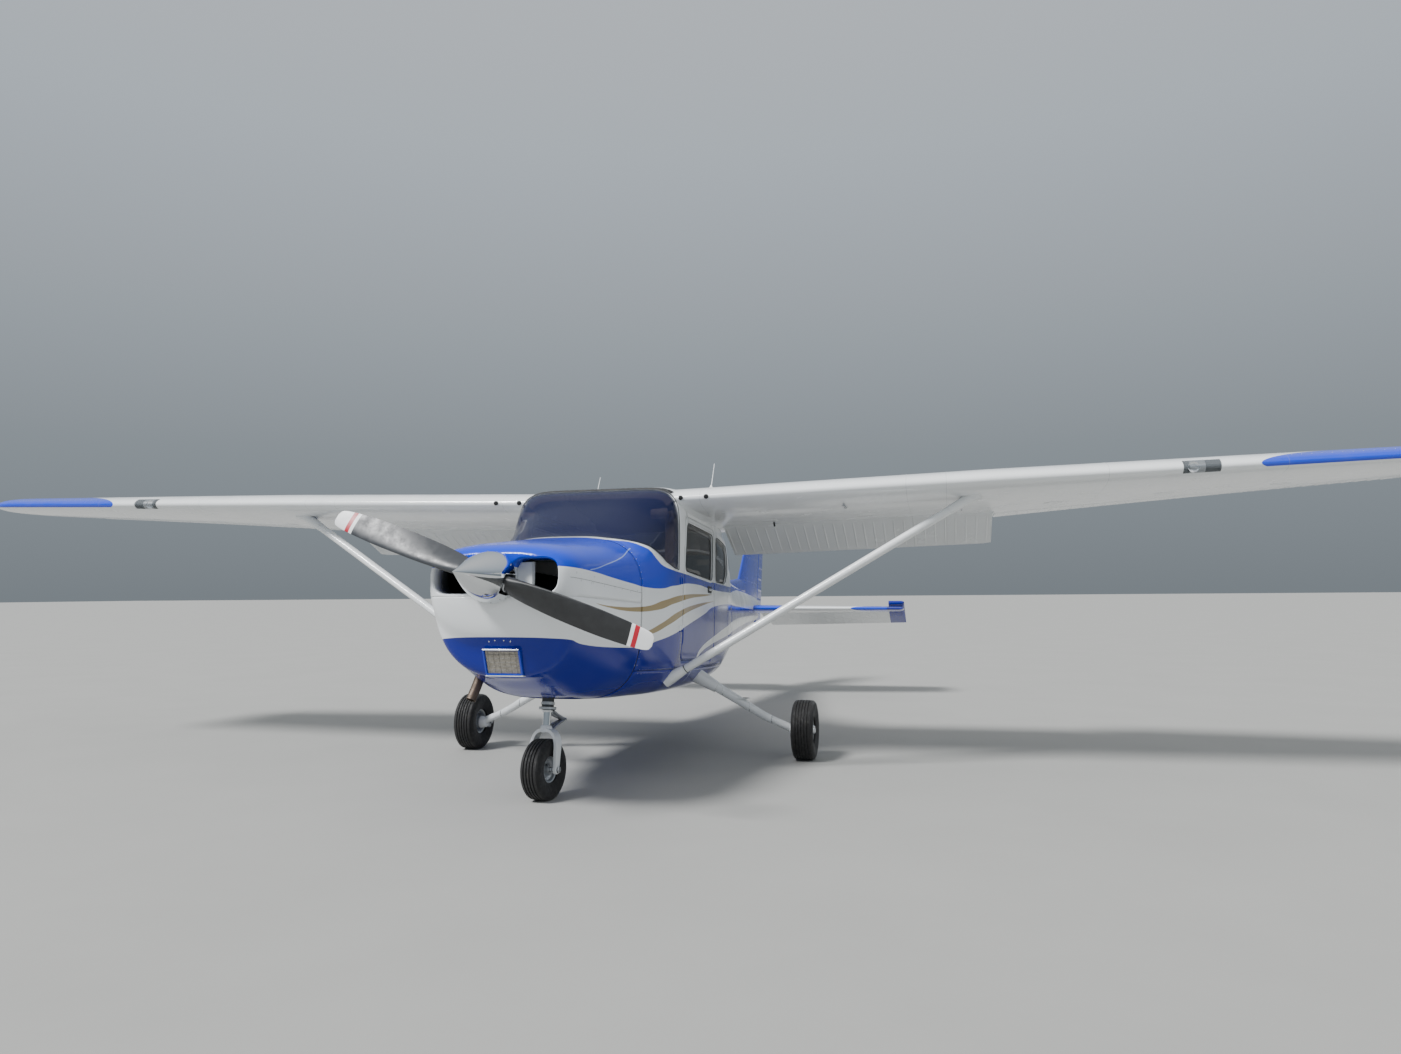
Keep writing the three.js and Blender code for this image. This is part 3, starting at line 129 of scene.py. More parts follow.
def mm(points):
    """A list of points given in millimetres, as an array in metres."""
    return asarray(points, float) / 1000


DOOR = mm([[1918, 800], [2862, 800], [2866, 1786], [2020, 1786]])
DOOR_WINDOW = mm([[1990, 1405], [2796, 1389], [2806, 1736], [2042, 1741]])
QUARTER_WINDOW = mm([[2916, 1388], [3330, 1398], [3452, 1500], [3424, 1712], [2914, 1734]])
BAGGAGE_DOOR = mm([[3500, 980], [3887, 1000], [3887, 1430], [3500, 1500]])


def to_row(points):
    """Airframe axes to the row's axes: a turn of the stance about X, then a shift."""
    points = asarray(points, float)
    x, y, z = points[..., 0], points[..., 1] - STATION_MIDDLE, points[..., 2]
    c, s = cos(STANCE), sin(STANCE)
    return stack([x, y * c + z * s + SHIFT_Y, z * c - y * s + SHIFT_Z], -1)


def pchip(at, xs, ys):
    """Monotone cubic through the rows: each span is a Hermite cubic whose end slopes are
    the harmonic mean of the neighbouring chords, or nought where these change sign."""
    at = clip(asarray(at, float), xs[0], xs[-1])
    h = np.diff(xs)[:, None]
    chord = np.diff(ys, axis=0) / h
    slope = np.zeros_like(ys)
    same = chord[1:] * chord[:-1] > 0
    safe = np.where(same, chord[1:] * chord[:-1], 1)
    total = np.where(same, chord[1:] + chord[:-1], 1)
    slope[1:-1] = np.where(same, 2 * safe / total, 0)
    slope[0], slope[-1] = chord[0], chord[-1]
    i = clip(np.searchsorted(xs, at, "right") - 1, 0, len(xs) - 2)
    t = ((at - xs[i]) / (xs[i + 1] - xs[i]))[..., None]
    width = h[i]
    return ((1 + 2 * t) * (1 - t) ** 2 * ys[i] + t * (1 - t) ** 2 * width * slope[i]
            + t ** 2 * (3 - 2 * t) * ys[i + 1] + t ** 2 * (t - 1) * width * slope[i + 1])


ROUND_NOSE = 0.296


def section(station):
    """Half width, top, bottom, widest height and the two squarenesses at a station, by
    the monotone cubic over the root of the distance from the nose, so the nose is round."""
    key = sqrt(maximum(asarray(station, float) - ROUND_NOSE, 1e-9))
    rows = pchip(key, sqrt(BODY_ROWS[:, 0] - ROUND_NOSE), BODY_ROWS[:, 1:])
    return np.moveaxis(rows, -1, 0)


def body_point(station, angle, inset=0.0):
    """A point of the body's skin: the radius at an angle round the section solves
    (|x| / half width) ^ n + (|z| / reach) ^ n = 1, where n is the squareness."""
    half, top, low, wide, upper, lower = section(station)
    c, s = cos(angle), sin(angle)
    reach = np.where(s >= 0, top - wide, wide - low) - inset
    n = np.where(s >= 0, upper, lower)
    r = (abs(c / (half - inset)) ** n + abs(s / reach) ** n) ** (-1 / n)
    return stack([r * c, station + 0 * r, wide + r * s], -1)


def half_width(station, z, inset=0.0):
    """Half width of the skin at a station and height, from the same equation."""
    half, top, low, wide, upper, lower = section(station)
    above = z > wide
    reach = np.where(above, top - wide, wide - low) - inset
    n = np.where(above, upper, lower)
    share = clip(abs((z - wide) / reach), 0, 1)
    return (half - inset) * (1 - share ** n) ** (1 / n)


def side_angle(station, z):
    """Angle round the section of a left-side point given by its station and height."""
    wide = section(station)[3]
    return np.arctan2(z - wide, half_width(station, z))


def rounded(points, radius, steps=6):
    """An outline with each corner replaced by a quadratic curve that starts and ends a
    radius away from it."""
    points = asarray(points, float)
    before = np.roll(points, 1, 0) - points
    after = np.roll(points, -1, 0) - points
    start = points + radius * before / np.linalg.norm(before, axis=1)[:, None]
    end = points + radius * after / np.linalg.norm(after, axis=1)[:, None]
    t = linspace(0, 1, steps)[None, :, None]
    curve = (1 - t) ** 2 * start[:, None] + 2 * t * (1 - t) * points[:, None]
    return (curve + t ** 2 * end[:, None]).reshape(-1, 2)


def dense(points, step, closed=True):
    """An outline or line with points no further apart than a step along each side."""
    points = asarray(points, float)
    ends = np.roll(points, -1, 0) if closed else points[1:]
    starts = points if closed else points[:-1]
    rows = [a + (b - a) * linspace(0, 1, max(1, math.ceil(np.linalg.norm(b - a) / step)),
                                      endpoint=False)[:, None]
            for a, b in zip(starts, ends)]
    return concatenate(rows if closed else [*rows, points[-1:]])


def grown(outline, distance):
    """An outline moved outwards by a distance along its own normals."""
    tangent = np.roll(outline, -1, 0) - np.roll(outline, 1, 0)
    length = maximum(np.linalg.norm(tangent, axis=1), 1e-9)
    normal = stack([tangent[:, 1], -tangent[:, 0]], 1) / length[:, None]
    x, y = outline[:, 0], outline[:, 1]
    turn = np.sign(np.sum(x * np.roll(y, -1) - y * np.roll(x, -1)))
    return outline + turn * distance * normal


def inside(points, outline):
    """Even-odd test: a point is inside if a level ray from it crosses an odd number of
    the outline's sides."""
    a, b = outline, np.roll(outline, -1, 0)
    u, v = points[:, 0, None], points[:, 1, None]
    spans = (a[:, 1] > v) != (b[:, 1] > v)
    rise = np.where(a[:, 1] == b[:, 1], 1e-12, b[:, 1] - a[:, 1])
    at = a[:, 0] + (v - a[:, 1]) / rise * (b[:, 0] - a[:, 0])
    return (spans & (u < at)).sum(1) % 2 == 1


def near(points, outline, distance):
    """True for points closer than a distance to the outline's corners or mid-sides."""
    both = concatenate([outline, (outline + np.roll(outline, -1, 0)) / 2])
    gap = np.linalg.norm(points[:, None] - both[None], axis=2).min(1)
    return gap < distance


def trimmed(outline, holes=(), step=0.03, extra=None):
    """A flat mesh of an outline with holes: the points of a grid, and of the outlines,
    joined by Delaunay triangles, of which those outside are dropped."""
    loops = [asarray(outline, float), *[asarray(h, float) for h in holes]]
    low, high = loops[0].min(0), loops[0].max(0)
    u, v = [arange(low[k] + step / 2, high[k], step) for k in (0, 1)]
    grid = stack(np.meshgrid(u, v, indexing="ij"), -1).reshape(-1, 2)
    if extra is not None:
        grid = concatenate([grid, extra])
    keep = inside(grid, loops[0])
    for hole in loops[1:]:
        keep &= ~inside(grid, hole)
    grid = grid[keep]
    for loop in loops:
        grid = grid[~near(grid, loop, step * 0.35)]
    points = concatenate([*loops, grid])
    edges, start = [], 0
    for loop in loops:
        n = arange(len(loop))
        edges += stack([start + n, start + (n + 1) % len(loop)], 1).tolist()
        start += len(loop)
    found = delaunay_2d_cdt([Vector(p) for p in points], edges, [], 0, 1e-7)
    flat = array([tuple(p) for p in found[0]])
    tris = array([f for f in found[2] if len(f) == 3])
    middle = flat[tris].mean(1)
    keep = inside(middle, loops[0])
    for hole in loops[1:]:
        keep &= ~inside(middle, hole)
    return flat, tris[keep].tolist()


def grid_faces(rows, cols, wrap=False, caps=False):
    """Quads of a grid of points, closed round each row if it wraps, with flat ends."""
    i = arange(rows - 1)[:, None]
    j = arange(cols if wrap else cols - 1)[None, :]
    k = (j + 1) % cols
    quads = stack([i * cols + j, i * cols + k, (i + 1) * cols + k, (i + 1) * cols + j], -1)
    faces = quads.reshape(-1, 4).tolist()
    if caps:
        faces.append(list(range(cols))[::-1])
        faces.append(list(range((rows - 1) * cols, rows * cols)))
    return faces


def surface(points, wrap=False, caps=False):
    """A shape from a grid of points, whose rows follow each other."""
    points = asarray(points, float)
    rows, cols = points.shape[:2]
    return points.reshape(-1, 3), grid_faces(rows, cols, wrap, caps)


def frames(path, hint):
    """Unit vectors along, across and above a path: across is square to the path and to
    the hint, and above is square to both."""
    path = asarray(path, float)
    along = np.gradient(path, axis=0)
    along /= np.linalg.norm(along, axis=1)[:, None]
    across = cross(along, asarray(hint, float))
    across /= np.linalg.norm(across, axis=1)[:, None]
    return along, across, cross(across, along)


def sweep(path, profile, scale=1.0, hint=(0, 1, 0), wrap=True, caps=True):
    """A profile carried along a path: each point is the path's point plus the profile's
    two numbers, times the scale there, along the path's across and above vectors."""
    path = asarray(path, float)
    _, across, above = frames(path, hint)
    profile = asarray(profile, float)
    if profile.ndim == 2:
        profile = broadcast_to(profile, (len(path), *profile.shape))
    size = broadcast_to(asarray(scale, float), (len(path),))[:, None, None]
    offset = profile[..., :1] * across[:, None] + profile[..., 1:] * above[:, None]
    return surface(path[:, None] + size * offset, wrap, caps)


def circle(sides, radius=1.0):
    """Points round a circle."""
    a = linspace(0, 2 * pi, sides, endpoint=False)
    return radius * stack([cos(a), sin(a)], 1)


def tube(path, radius, sides=16, hint=(0, 1, 0), caps=True):
    """A round tube along a path, its radius a number or one for each point."""
    return sweep(path, circle(sides), radius, hint, True, caps)


def smooth_path(points, count):
    """A path through a few points: a monotone cubic over the distance along them."""
    points = asarray(points, float)
    along = concatenate([[0], np.cumsum(np.linalg.norm(np.diff(points, axis=0), axis=1))])
    return pchip(linspace(0, along[-1], count), along, points)


def lathe(rows, start, axis, sides=48, hint=(0, 0, 1)):
    """A profile of (distance along, radius) rows turned about an axis from a start."""
    axis = asarray(axis, float) / np.linalg.norm(axis)
    side = cross(axis, asarray(hint, float))
    side /= np.linalg.norm(side)
    other = cross(axis, side)
    rows = asarray(rows, float)
    ring = circle(sides)
    radial = ring[:, :1] * side + ring[:, 1:] * other
    points = asarray(start, float) + rows[:, :1, None] * axis + rows[:, 1:, None] * radial
    faces = grid_faces(len(rows), sides, True, True)
    return points.reshape(-1, 3), faces


def plate(outline, origin, u, v, depth, bevel=0.001):
    """A flat outline pushed along the normal of its two axes, its four rows drawn in by
    the bevel at both faces."""
    outline = asarray(outline, float)
    u, v = asarray(u, float), asarray(v, float)
    normal = cross(u, v)
    rows = [(0, -bevel), (bevel, 0), (depth - bevel, 0), (depth, -bevel)]
    points = [asarray(origin, float) + grown(outline, g)[:, :1] * u
              + grown(outline, g)[:, 1:] * v + h * normal for h, g in rows]
    return surface(array(points), True, True)


def block(low, high, bevel=0.004, corner=None):
    """A box between two corners with rounded upright edges and bevelled faces."""
    low, high = minimum(low, high).astype(float), maximum(low, high).astype(float)
    size = high - low
    corner = corner or min(size[0], size[1]) * 0.2
    outline = rounded([[0, 0], [size[0], 0], [size[0], size[1]], [0, size[1]]], corner)
    bevel = min(bevel, size[2] * 0.4)
    return plate(outline, low, X, Y, size[2], bevel)


def studs(points, normals, radius=0.003, height=0.0012):
    """Low six-sided rivet or screw heads at many points, as one shape: each is a ring on
    the skin and a smaller one above it, closed by a flat top."""
    points, normals = asarray(points, float), asarray(normals, float)
    hint = np.where(abs(normals[:, 2:]) > 0.9, [[1.0, 0, 0]], [[0, 0, 1.0]])
    a = cross(normals, hint)
    a /= np.linalg.norm(a, axis=1)[:, None]
    b = cross(normals, a)
    ring = circle(6)
    disc = ring[None, :, :1] * a[:, None] + ring[None, :, 1:] * b[:, None]
    low = points[:, None] + radius * disc - 0.0008 * normals[:, None]
    high = points[:, None] + radius * 0.7 * disc + height * normals[:, None]
    verts = concatenate([low, high], 1).reshape(-1, 3)
    base = arange(len(points))[:, None] * 12
    j = arange(6)
    k = (j + 1) % 6
    sides = stack([j, k, k + 6, j + 6], 1)
    faces = (base[:, :, None] + sides[None]).reshape(-1, 4).tolist()
    return verts, faces + (base + (j + 6)[None]).tolist()


def mirrored(shape):
    """The same shape on the aircraft's other side."""
    points, faces = shape
    return points * [-1, 1, 1], [face[::-1] for face in faces]


def joined(shapes):
    """Several shapes as one."""
    verts, faces, start = [], [], 0
    for points, rows in shapes:
        verts.append(points)
        faces += [[i + start for i in row] for row in rows]
        start += len(points)
    return concatenate(verts), faces


def size(key):
    """A size that the user can change, to the micrometre."""
    return round(getattr(bpy.context.scene.aircraft_sizes, key), 6)


def piece(name, shapes, finish, body="airframe", nodes="", slot=None, side=1, outward=True,
          crease=40, merge=1e-5, thick=0.0, placed=to_row):
    """One smooth mesh object in the row's axes from shapes in the airframe's axes, which
    side -1 mirrors. It rides on a body, may stand for a solid, and takes a finish, or an
    outer and an inner one joined by a plus. The slot argument is not used."""
    points, faces = joined(shapes if isinstance(shapes, list) else [shapes])
    if side < 0:
        points, faces = mirrored((points, faces))
    mesh = bpy.data.meshes.new(name)
    mesh.from_pydata(placed(points).tolist(), [], faces)
    work = bmesh.new()
    work.from_mesh(mesh)
    if merge:
        bmesh.ops.remove_doubles(work, verts=work.verts, dist=merge)
        bmesh.ops.dissolve_degenerate(work, edges=work.edges, dist=1e-6)
    if outward:
        bmesh.ops.recalc_face_normals(work, faces=work.faces)
    work.to_mesh(mesh)
    work.free()
    mesh.shade_smooth()
    mesh.set_sharp_from_angle(angle=math.radians(crease))
    finishes = finish.split("+")
    for key in finishes:
        mesh.materials.append(FINISH[key])
    made = bpy.data.objects.new(name, mesh)
    bpy.context.scene.collection.objects.link(made)
    if thick:
        shell = made.modifiers.new("Wall", "SOLIDIFY")
        shell.thickness = thick
        shell.offset = -1
        shell.material_offset = len(finishes) - 1
    if nodes:
        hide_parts(nodes)
    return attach(made, body)


# Finishes

SMALL_SOFT = 0.001


def tone(text):
    """An sRGB hex colour as linear numbers."""
    parts = [int(text[i:i + 2], 16) / 255 for i in (1, 3, 5)]
    return (*[c / 12.92 if c <= 0.04045 else ((c + 0.055) / 1.055) ** 2.4 for c in parts], 1)


def add(tree, kind, inputs=(), out=0, **settings):
    """Adds one node and gives the output asked for. Inputs are values, or sockets that
    feed it, in order or by name, and settings are the node's own properties."""
    node = tree.nodes.new("ShaderNode" + kind)
    for key, value in settings.items():
        setattr(node, key, value)
    for key, value in inputs.items() if isinstance(inputs, dict) else enumerate(inputs):
        if isinstance(value, bpy.types.NodeSocket):
            tree.links.new(value, node.inputs[key])
        else:
            node.inputs[key].default_value = value
    return node.outputs[out]


def airframe_place(tree):
    """Object coordinates turned and shifted into the airframe's x, station and height."""
    c, s = cos(STANCE), sin(STANCE)
    shift = (0, STATION_MIDDLE - SHIFT_Y * c + SHIFT_Z * s, -SHIFT_Y * s - SHIFT_Z * c)
    return add(tree, "Mapping", [add(tree, "TexCoord", out="Object"), shift, (STANCE, 0, 0)],
               vector_type="POINT")


def speckle(tree, place, size_mm, detail=4.0, rough=0.6, stretch=None, span=(0, 1), to=(0, 1)):
    """Fractal noise whose largest cells are a real size in millimetres, drawn out along an
    axis by a stretch, with the part between two values spread over two others."""
    if stretch:
        place = add(tree, "Mapping", {"Vector": place, "Scale": stretch})
    cells = add(tree, "TexNoise", {"Vector": place, "Scale": 1000 / size_mm, "Detail": detail,
                                   "Roughness": rough})
    return cells if span == (0, 1) else add(tree, "MapRange", [cells, *span, *to])


def textured(tree, place, gloss=None, grain=None, depth=()):
    """Lets the roughness wander between two values in patches of a size, and tilts the
    surface by a grain as deep as some millimetres, by a strength."""
    main = tree.nodes["Principled BSDF"]
    if gloss:
        low, high, size_mm = gloss
        rough = speckle(tree, place, size_mm, span=(0.3, 0.7), to=(low, high))
        tree.links.new(rough, main.inputs["Roughness"])
    if grain:
        height = grain(tree, place) if callable(grain) else speckle(tree, place, *grain)
        tilt = add(tree, "Bump", {"Height": height, "Distance": depth[0] / 1000,
                                  "Strength": depth[1]})
        tree.links.new(tilt, main.inputs["Normal"])


def finish_of(name, colour, rough=0.2, metal=0.0, patch=None, gloss=None, grain=None, depth=(),
              **shader):
    """A material whose constants sit on the shader's own sockets. Patches of a size break
    its colour up towards another one, or towards a share of itself."""
    material = bpy.data.materials.new(name)
    material.use_nodes = True
    tree = material.node_tree
    main = tree.nodes["Principled BSDF"]
    base = tone(colour) if isinstance(colour, str) else colour
    for key, value in {"Base_Color": base, "Roughness": rough, "Metallic": metal,
                       **shader}.items():
        main.inputs[key.replace("_", " ")].default_value = value
    if patch or gloss or grain:
        place = add(tree, "TexCoord", out="Object")
        textured(tree, place, gloss, grain, depth)
    if patch:
        other, size_mm, low, high = patch
        other = tone(other) if isinstance(other, str) else (*[c * other for c in base[:3]], 1)
        layered(material, base, (speckle(tree, place, size_mm, span=(low, high)), other))
    return material


def layered(material, base, *layers):
    """Lays colours over a base, each by its mask, and gives the result to the shader."""
    tree = material.node_tree
    for mask, colour in layers:
        base, colour = [tone(c) if isinstance(c, str) else c for c in (base, colour)]
        base = add(tree, "Mix", {0: mask, 6: base, 7: colour}, 2, data_type="RGBA")
    tree.links.new(base, tree.nodes["Principled BSDF"].inputs["Base Color"])
    return material


def painted(name, gloss, grain, depth, **shader):
    """A coat laid out in the airframe's own axes: the material, its tree, the place, and
    the place's x, station and height. The caller adds the colour."""
    material = finish_of(name, "#e6e9ea", **shader)
    tree = material.node_tree
    place = airframe_place(tree)
    textured(tree, place, gloss, grain, depth)
    return material, tree, place, *add(tree, "SeparateXYZ", [place]).node.outputs


# Paint edges on the body's sides: station and height, in metres
TOP_BLUE = [(0.2, 1.31), (0.57, 1.297), (0.82, 1.278), (1.1, 1.26), (1.33, 1.25), (1.75, 1.288),
            (2.36, 1.331), (2.74, 1.322), (3.4, 1.335), (4.4, 1.40), (5.6, 1.47), (7.5, 1.50)]
TOP_BORDER = [(1.18, 1.56), (1.21, 1.545), (1.31, 1.541), (1.372, 1.52), (1.43, 1.497),
              (1.486, 1.443), (1.633, 1.396), (1.902, 1.384), (3.45, 1.386), (4.2, 1.44),
              (5.6, 1.49), (7.5, 1.60)]
GOLD_HIGH_TOP = [(0.6, 1.128), (0.818, 1.117), (1.193, 1.128), (1.579, 1.186), (1.944, 1.238),
                 (2.5, 1.272), (2.80, 1.284)]
GOLD_HIGH_LOW = [(0.6, 1.130), (0.744, 1.11), (1.061, 1.096), (1.429, 1.116), (1.748, 1.17),
                 (2.186, 1.229), (2.6, 1.264), (2.80, 1.2838)]
GOLD_LOW_TOP = [(1.2, 0.966), (1.291, 0.981), (1.533, 1.039), (1.872, 1.128), (2.361, 1.196),
                (2.86, 1.236)]
GOLD_LOW_LOW = [(1.2, 0.95), (1.388, 0.97), (1.637, 1.026), (2.024, 1.117), (2.453, 1.184),
                (2.86, 1.2358)]
BELLY = [(0.2, 0.952), (0.45, 0.93), (0.572, 0.903), (0.812, 0.888), (1.222, 0.889),
         (1.445, 0.923), (1.644, 0.953), (2.027, 1.03), (2.549, 1.13), (2.902, 1.20),
         (3.6, 1.245), (4.6, 1.27), (6.0, 1.30), (7.5, 1.34)]
SWEEP_TOP = [(2.3, 0.66), (2.377, 0.83), (2.444, 0.873), (2.765, 0.95), (3.41, 1.05),
             (4.3, 1.13), (5.6, 1.20), (7.5, 1.27)]
SWEEP_LOW = [(2.3, 0.64), (2.39, 0.80), (2.47, 0.845), (2.765, 0.905), (3.41, 0.975),
             (4.3, 1.04), (5.6, 1.12), (7.5, 1.235)]
PINSTRIPE = [(0.5, 1.30), (0.569, 1.306), (0.783, 1.351), (1.044, 1.415), (1.249, 1.484),
             (1.3, 1.50)]


def line_height(tree, station, points):
    """Height of a smooth line through points at a station: a curve over the share of the
    line's length, spread over its heights."""
    (low, _), (high, _) = points[0], points[-1]
    ys = [p[1] for p in points]
    bottom, span = min(ys), max(max(ys) - min(ys), 1e-6)
    past = add(tree, "Math", [station, low], operation="SUBTRACT")
    share = add(tree, "Math", [past, high - low], operation="DIVIDE")
    read = add(tree, "FloatCurve", {"Value": share})
    curve = read.node.mapping.curves[0]
    for p in points[1:-1]:
        curve.points.new((p[0] - low) / (high - low), (p[1] - bottom) / span)
    for end, p in ((0, points[0]), (-1, points[-1])):
        curve.points[end].location = ((p[0] - low) / (high - low), (p[1] - bottom) / span)
    read.node.mapping.update()
    return add(tree, "Math", [read, span, bottom], operation="MULTIPLY_ADD")


def past_edge(tree, value, edge, soft=0.0015):
    """Nought below an edge and one above it, with a step as soft as a paint edge."""
    gap = add(tree, "Math", [value, edge], operation="SUBTRACT")
    return add(tree, "MapRange", [gap, -soft, soft], interpolation_type="SMOOTHSTEP")


def overlap(tree, *masks):
    """Where masks overlap. A mask in a list counts where it is not."""
    total = None
    for mask in masks:
        if isinstance(mask, list):
            mask = add(tree, "Math", [1.0, mask[0]], operation="SUBTRACT")
        total = mask if total is None else add(tree, "Math", [total, mask],
                                               operation="MULTIPLY")
    return total


def livery(paint):
    """Two-pack enamel over aluminium sheet: glossy, slightly wavy as rolled sheet is, with
    the swept bands, the top blue darkening aft of the cowl as painted shade, and dulled
    by dust low down."""
    material, tree, place, _, station, z = painted(
        "enamel_livery", (0.10, 0.24, 320), (420, 2.0, 0.4), (1.6, 0.5), Coat_Weight=0.12,
        Coat_Roughness=0.05, Specular_IOR_Level=0.3)

    def above(points):
        return past_edge(tree, z, line_height(tree, station, points))

    def within(low, high):
        return overlap(tree, past_edge(tree, station, low), [past_edge(tree, station, high)])

    upper = overlap(tree, above(TOP_BLUE), [overlap(tree, above(TOP_BORDER),
                                                    past_edge(tree, station, 1.185))])
    # Painted shade: aft of the cowl the top blue fades into a darker copy of itself, for the
    # body's shaded side
    aft = past_edge(tree, station, 1.66, 0.25)
    blue = add(tree, "Mix", {0: aft, 6: tuple(paint.top_blue), 7: tuple(paint.band_blue_painted_shade)}, 2,
               data_type="RGBA")
    gold = [(overlap(tree, above(low), [above(top)], within(top[0][0], top[-1][0])),
             tuple(paint.gold))
            for top, low in ((GOLD_HIGH_TOP, GOLD_HIGH_LOW), (GOLD_LOW_TOP, GOLD_LOW_LOW))]
    sweep_on = overlap(tree, above(SWEEP_LOW), [above(SWEEP_TOP)], past_edge(tree, station, 2.3))
    belly = overlap(tree, [above(BELLY)], [sweep_on])
    gap = add(tree, "Math", [z, line_height(tree, station, PINSTRIPE)], operation="SUBTRACT")
    off = add(tree, "Math", [gap], operation="ABSOLUTE")
    thin = overlap(tree, [past_edge(tree, off, 0.0025, SMALL_SOFT)], within(0.56, 1.27))
    dust = speckle(tree, place, 260, 5.0, 0.65, (0.4, 1, 1), (0.45, 0.85), (0, 0.05))
    low_down = overlap(tree, dust, [past_edge(tree, z, 0.95, 0.45)])
    return layered(material, "#eceff1", (upper, blue), *gold, (belly, tuple(paint.belly_blue)),
                   (thin, "#8fa8e6"), (low_down, "#8a8068"))


def wing_paint(paint):
    """White enamel on long riveted sheets: the outer end is blue to a point, though not
    underneath, and the sheets' seams are faintly darker."""
    material, tree, place, x, station, _ = painted(
        "enamel_wing", (0.14, 0.3, 260), (380, 2.0, 0.4), (1.4, 0.5), Coat_Weight=0.4,
        Coat_Roughness=0.08)
    span = add(tree, "Math", [x], operation="ABSOLUTE")
    aft = add(tree, "Math", [station, 1.9], operation="SUBTRACT")
    slant = add(tree, "Math", [aft, 2.1], operation="MULTIPLY")
    outer = add(tree, "Math", [span, slant], operation="SUBTRACT")
    facing = add(tree, "NewGeometry", out="Normal")
    up = add(tree, "SeparateXYZ", [facing], 2)
    tip = overlap(tree, past_edge(tree, outer, 4.08, 0.003), past_edge(tree, up, -0.78, 0.02))
    seam = 0.0
    for place_x in SHEET_SEAMS:
        gap = add(tree, "Math", [span, place_x], operation="SUBTRACT")
        off = add(tree, "Math", [gap], operation="ABSOLUTE")
        seam = add(tree, "Math", [seam, overlap(tree, [past_edge(tree, off, 0.0015,
                                                                 SMALL_SOFT)])],
                   operation="MAXIMUM")
    streak = speckle(tree, place, 300, 5.0, 0.65, (1, 0.12, 1), (0.5, 0.9), (0, 0.14))
    return layered(material, "#e6e9ea", (tip, tuple(paint.top_blue)),
                   (overlap(tree, seam, 0.35), "#7e8488"), (streak, "#8d8f86"))


def tail_paint(paint):
    """White enamel tailplane, blue inboard and in a wedge along the leading edge towards
    the tip, with dark blue horns."""
    material, tree, _, x, station, _ = painted(
        "enamel_tail", (0.14, 0.3, 200), (300, 2.0, 0.4), (1.0, 0.5), Coat_Weight=0.4)
    span = add(tree, "Math", [x], operation="ABSOLUTE")
    aft = add(tree, "Math", [station, 6.80], operation="SUBTRACT")
    wedge = add(tree, "Math", [aft, 1.4], operation="MULTIPLY")
    outer = past_edge(tree, add(tree, "Math", [span, wedge], operation="SUBTRACT"), 1.22, 0.003)
    inner = past_edge(tree, add(tree, "Math", [span, wedge], operation="ADD"), 0.50, 0.003)
    ends = add(tree, "Math", [outer, overlap(tree, [inner])], operation="MAXIMUM")
    return layered(material, "#e6e9ea", (ends, tuple(paint.top_blue)),
                   (past_edge(tree, span, 1.656, 0.002), tuple(paint.belly_blue)))


def blade_finish(name, colour):
    """A propeller blade: matt black polyurethane with a white tip, a red band and chipped
    edges in patches."""
    material, tree, place, x, _, z = painted(
        name, (0.28, 0.5, 50), (2.0, 2.0, 0.5, (0.2, 1, 1)), (0.1, 0.4))
    rise = add(tree, "Math", [z, HUB_HEIGHT], operation="SUBTRACT")
    squares = [add(tree, "Math", [a, a], operation="MULTIPLY") for a in (x, rise)]
    out = add(tree, "Math", [add(tree, "Math", squares, operation="ADD")], operation="SQRT")
    red = overlap(tree, past_edge(tree, out, 0.858, SMALL_SOFT),
                  [past_edge(tree, out, 0.884, SMALL_SOFT)])
    bands = add(tree, "Mix", {0: red, 6: tone("#e9eaec"), 7: tone("#b3122c")}, 2,
                data_type="RGBA")
    chips = overlap(tree, speckle(tree, place, 60), 0.35)
    return layered(material, colour, (chips, "#4f5255"),
                   (past_edge(tree, out, 0.838, SMALL_SOFT), bands))


def enamel(name, colour, low=0.14, high=0.3):
    """Enamel of one colour on sheet or castings, faintly wavy, with a wandering gloss."""
    return finish_of(name, colour, 0.2, 0.0, (0.8, 180, 0.5, 0.95), (low, high, 160),
                     (240, 2.0, 0.4), (1.0, 0.5), Coat_Weight=0.4, Coat_Roughness=0.08)


def metal(name, colour, low, high, grain_mm=1.2, stain="#4a443c"):
    """Bare metal, cast, drawn or plated, by its grain, with dull handling stains."""
    return finish_of(name, colour, low, 1.0, (stain, 90, 0.62, 1.0), (low, high, 40),
                     (grain_mm, 2.0, 0.5, (1, 1, 1)), (0.12, 0.5))


def plastic(name, colour, low=0.4, high=0.6, grain_mm=1.6, depth=0.15):
    """Moulded plastic or crackle paint: dull, with a fine pebbled grain."""
    def pebbles(tree, place):
        return add(tree, "TexVoronoi", {"Vector": place, "Scale": 1000 / grain_mm})

    return finish_of(name, colour, low, 0.0, (0.7, 60, 0.4, 0.9), (low, high, 30), pebbles,
                     (depth, 0.6))


def woven(name, colour, other, thread_mm=2.4):
    """Woven wool or felt: two crossing threads, drawn about twice as coarse as real so
    the weave shows, soft with a sheen."""
    def weave(tree, place):
        return overlap(tree, *[add(tree, "TexWave", {"Vector": place, "Scale": 500 / thread_mm},
                                   "Fac", bands_direction=way) for way in ("X", "DIAGONAL")])

    return finish_of(name, colour, 0.9, 0.0, (other, 14, 0.35, 0.75), None, weave, (0.5, 0.8),
                     Sheen_Weight=0.4)


def acrylic(name, colour, cover):
    """Cast acrylic sheet: a tint laid over what is behind it, by its share of cover, under
    a glossy face."""
    return finish_of(name, colour, 0.03, gloss=(0.01, 0.05, 300), Alpha=cover,
                     Specular_IOR_Level=0.3, Coat_Weight=0.12, Coat_Roughness=0.02)


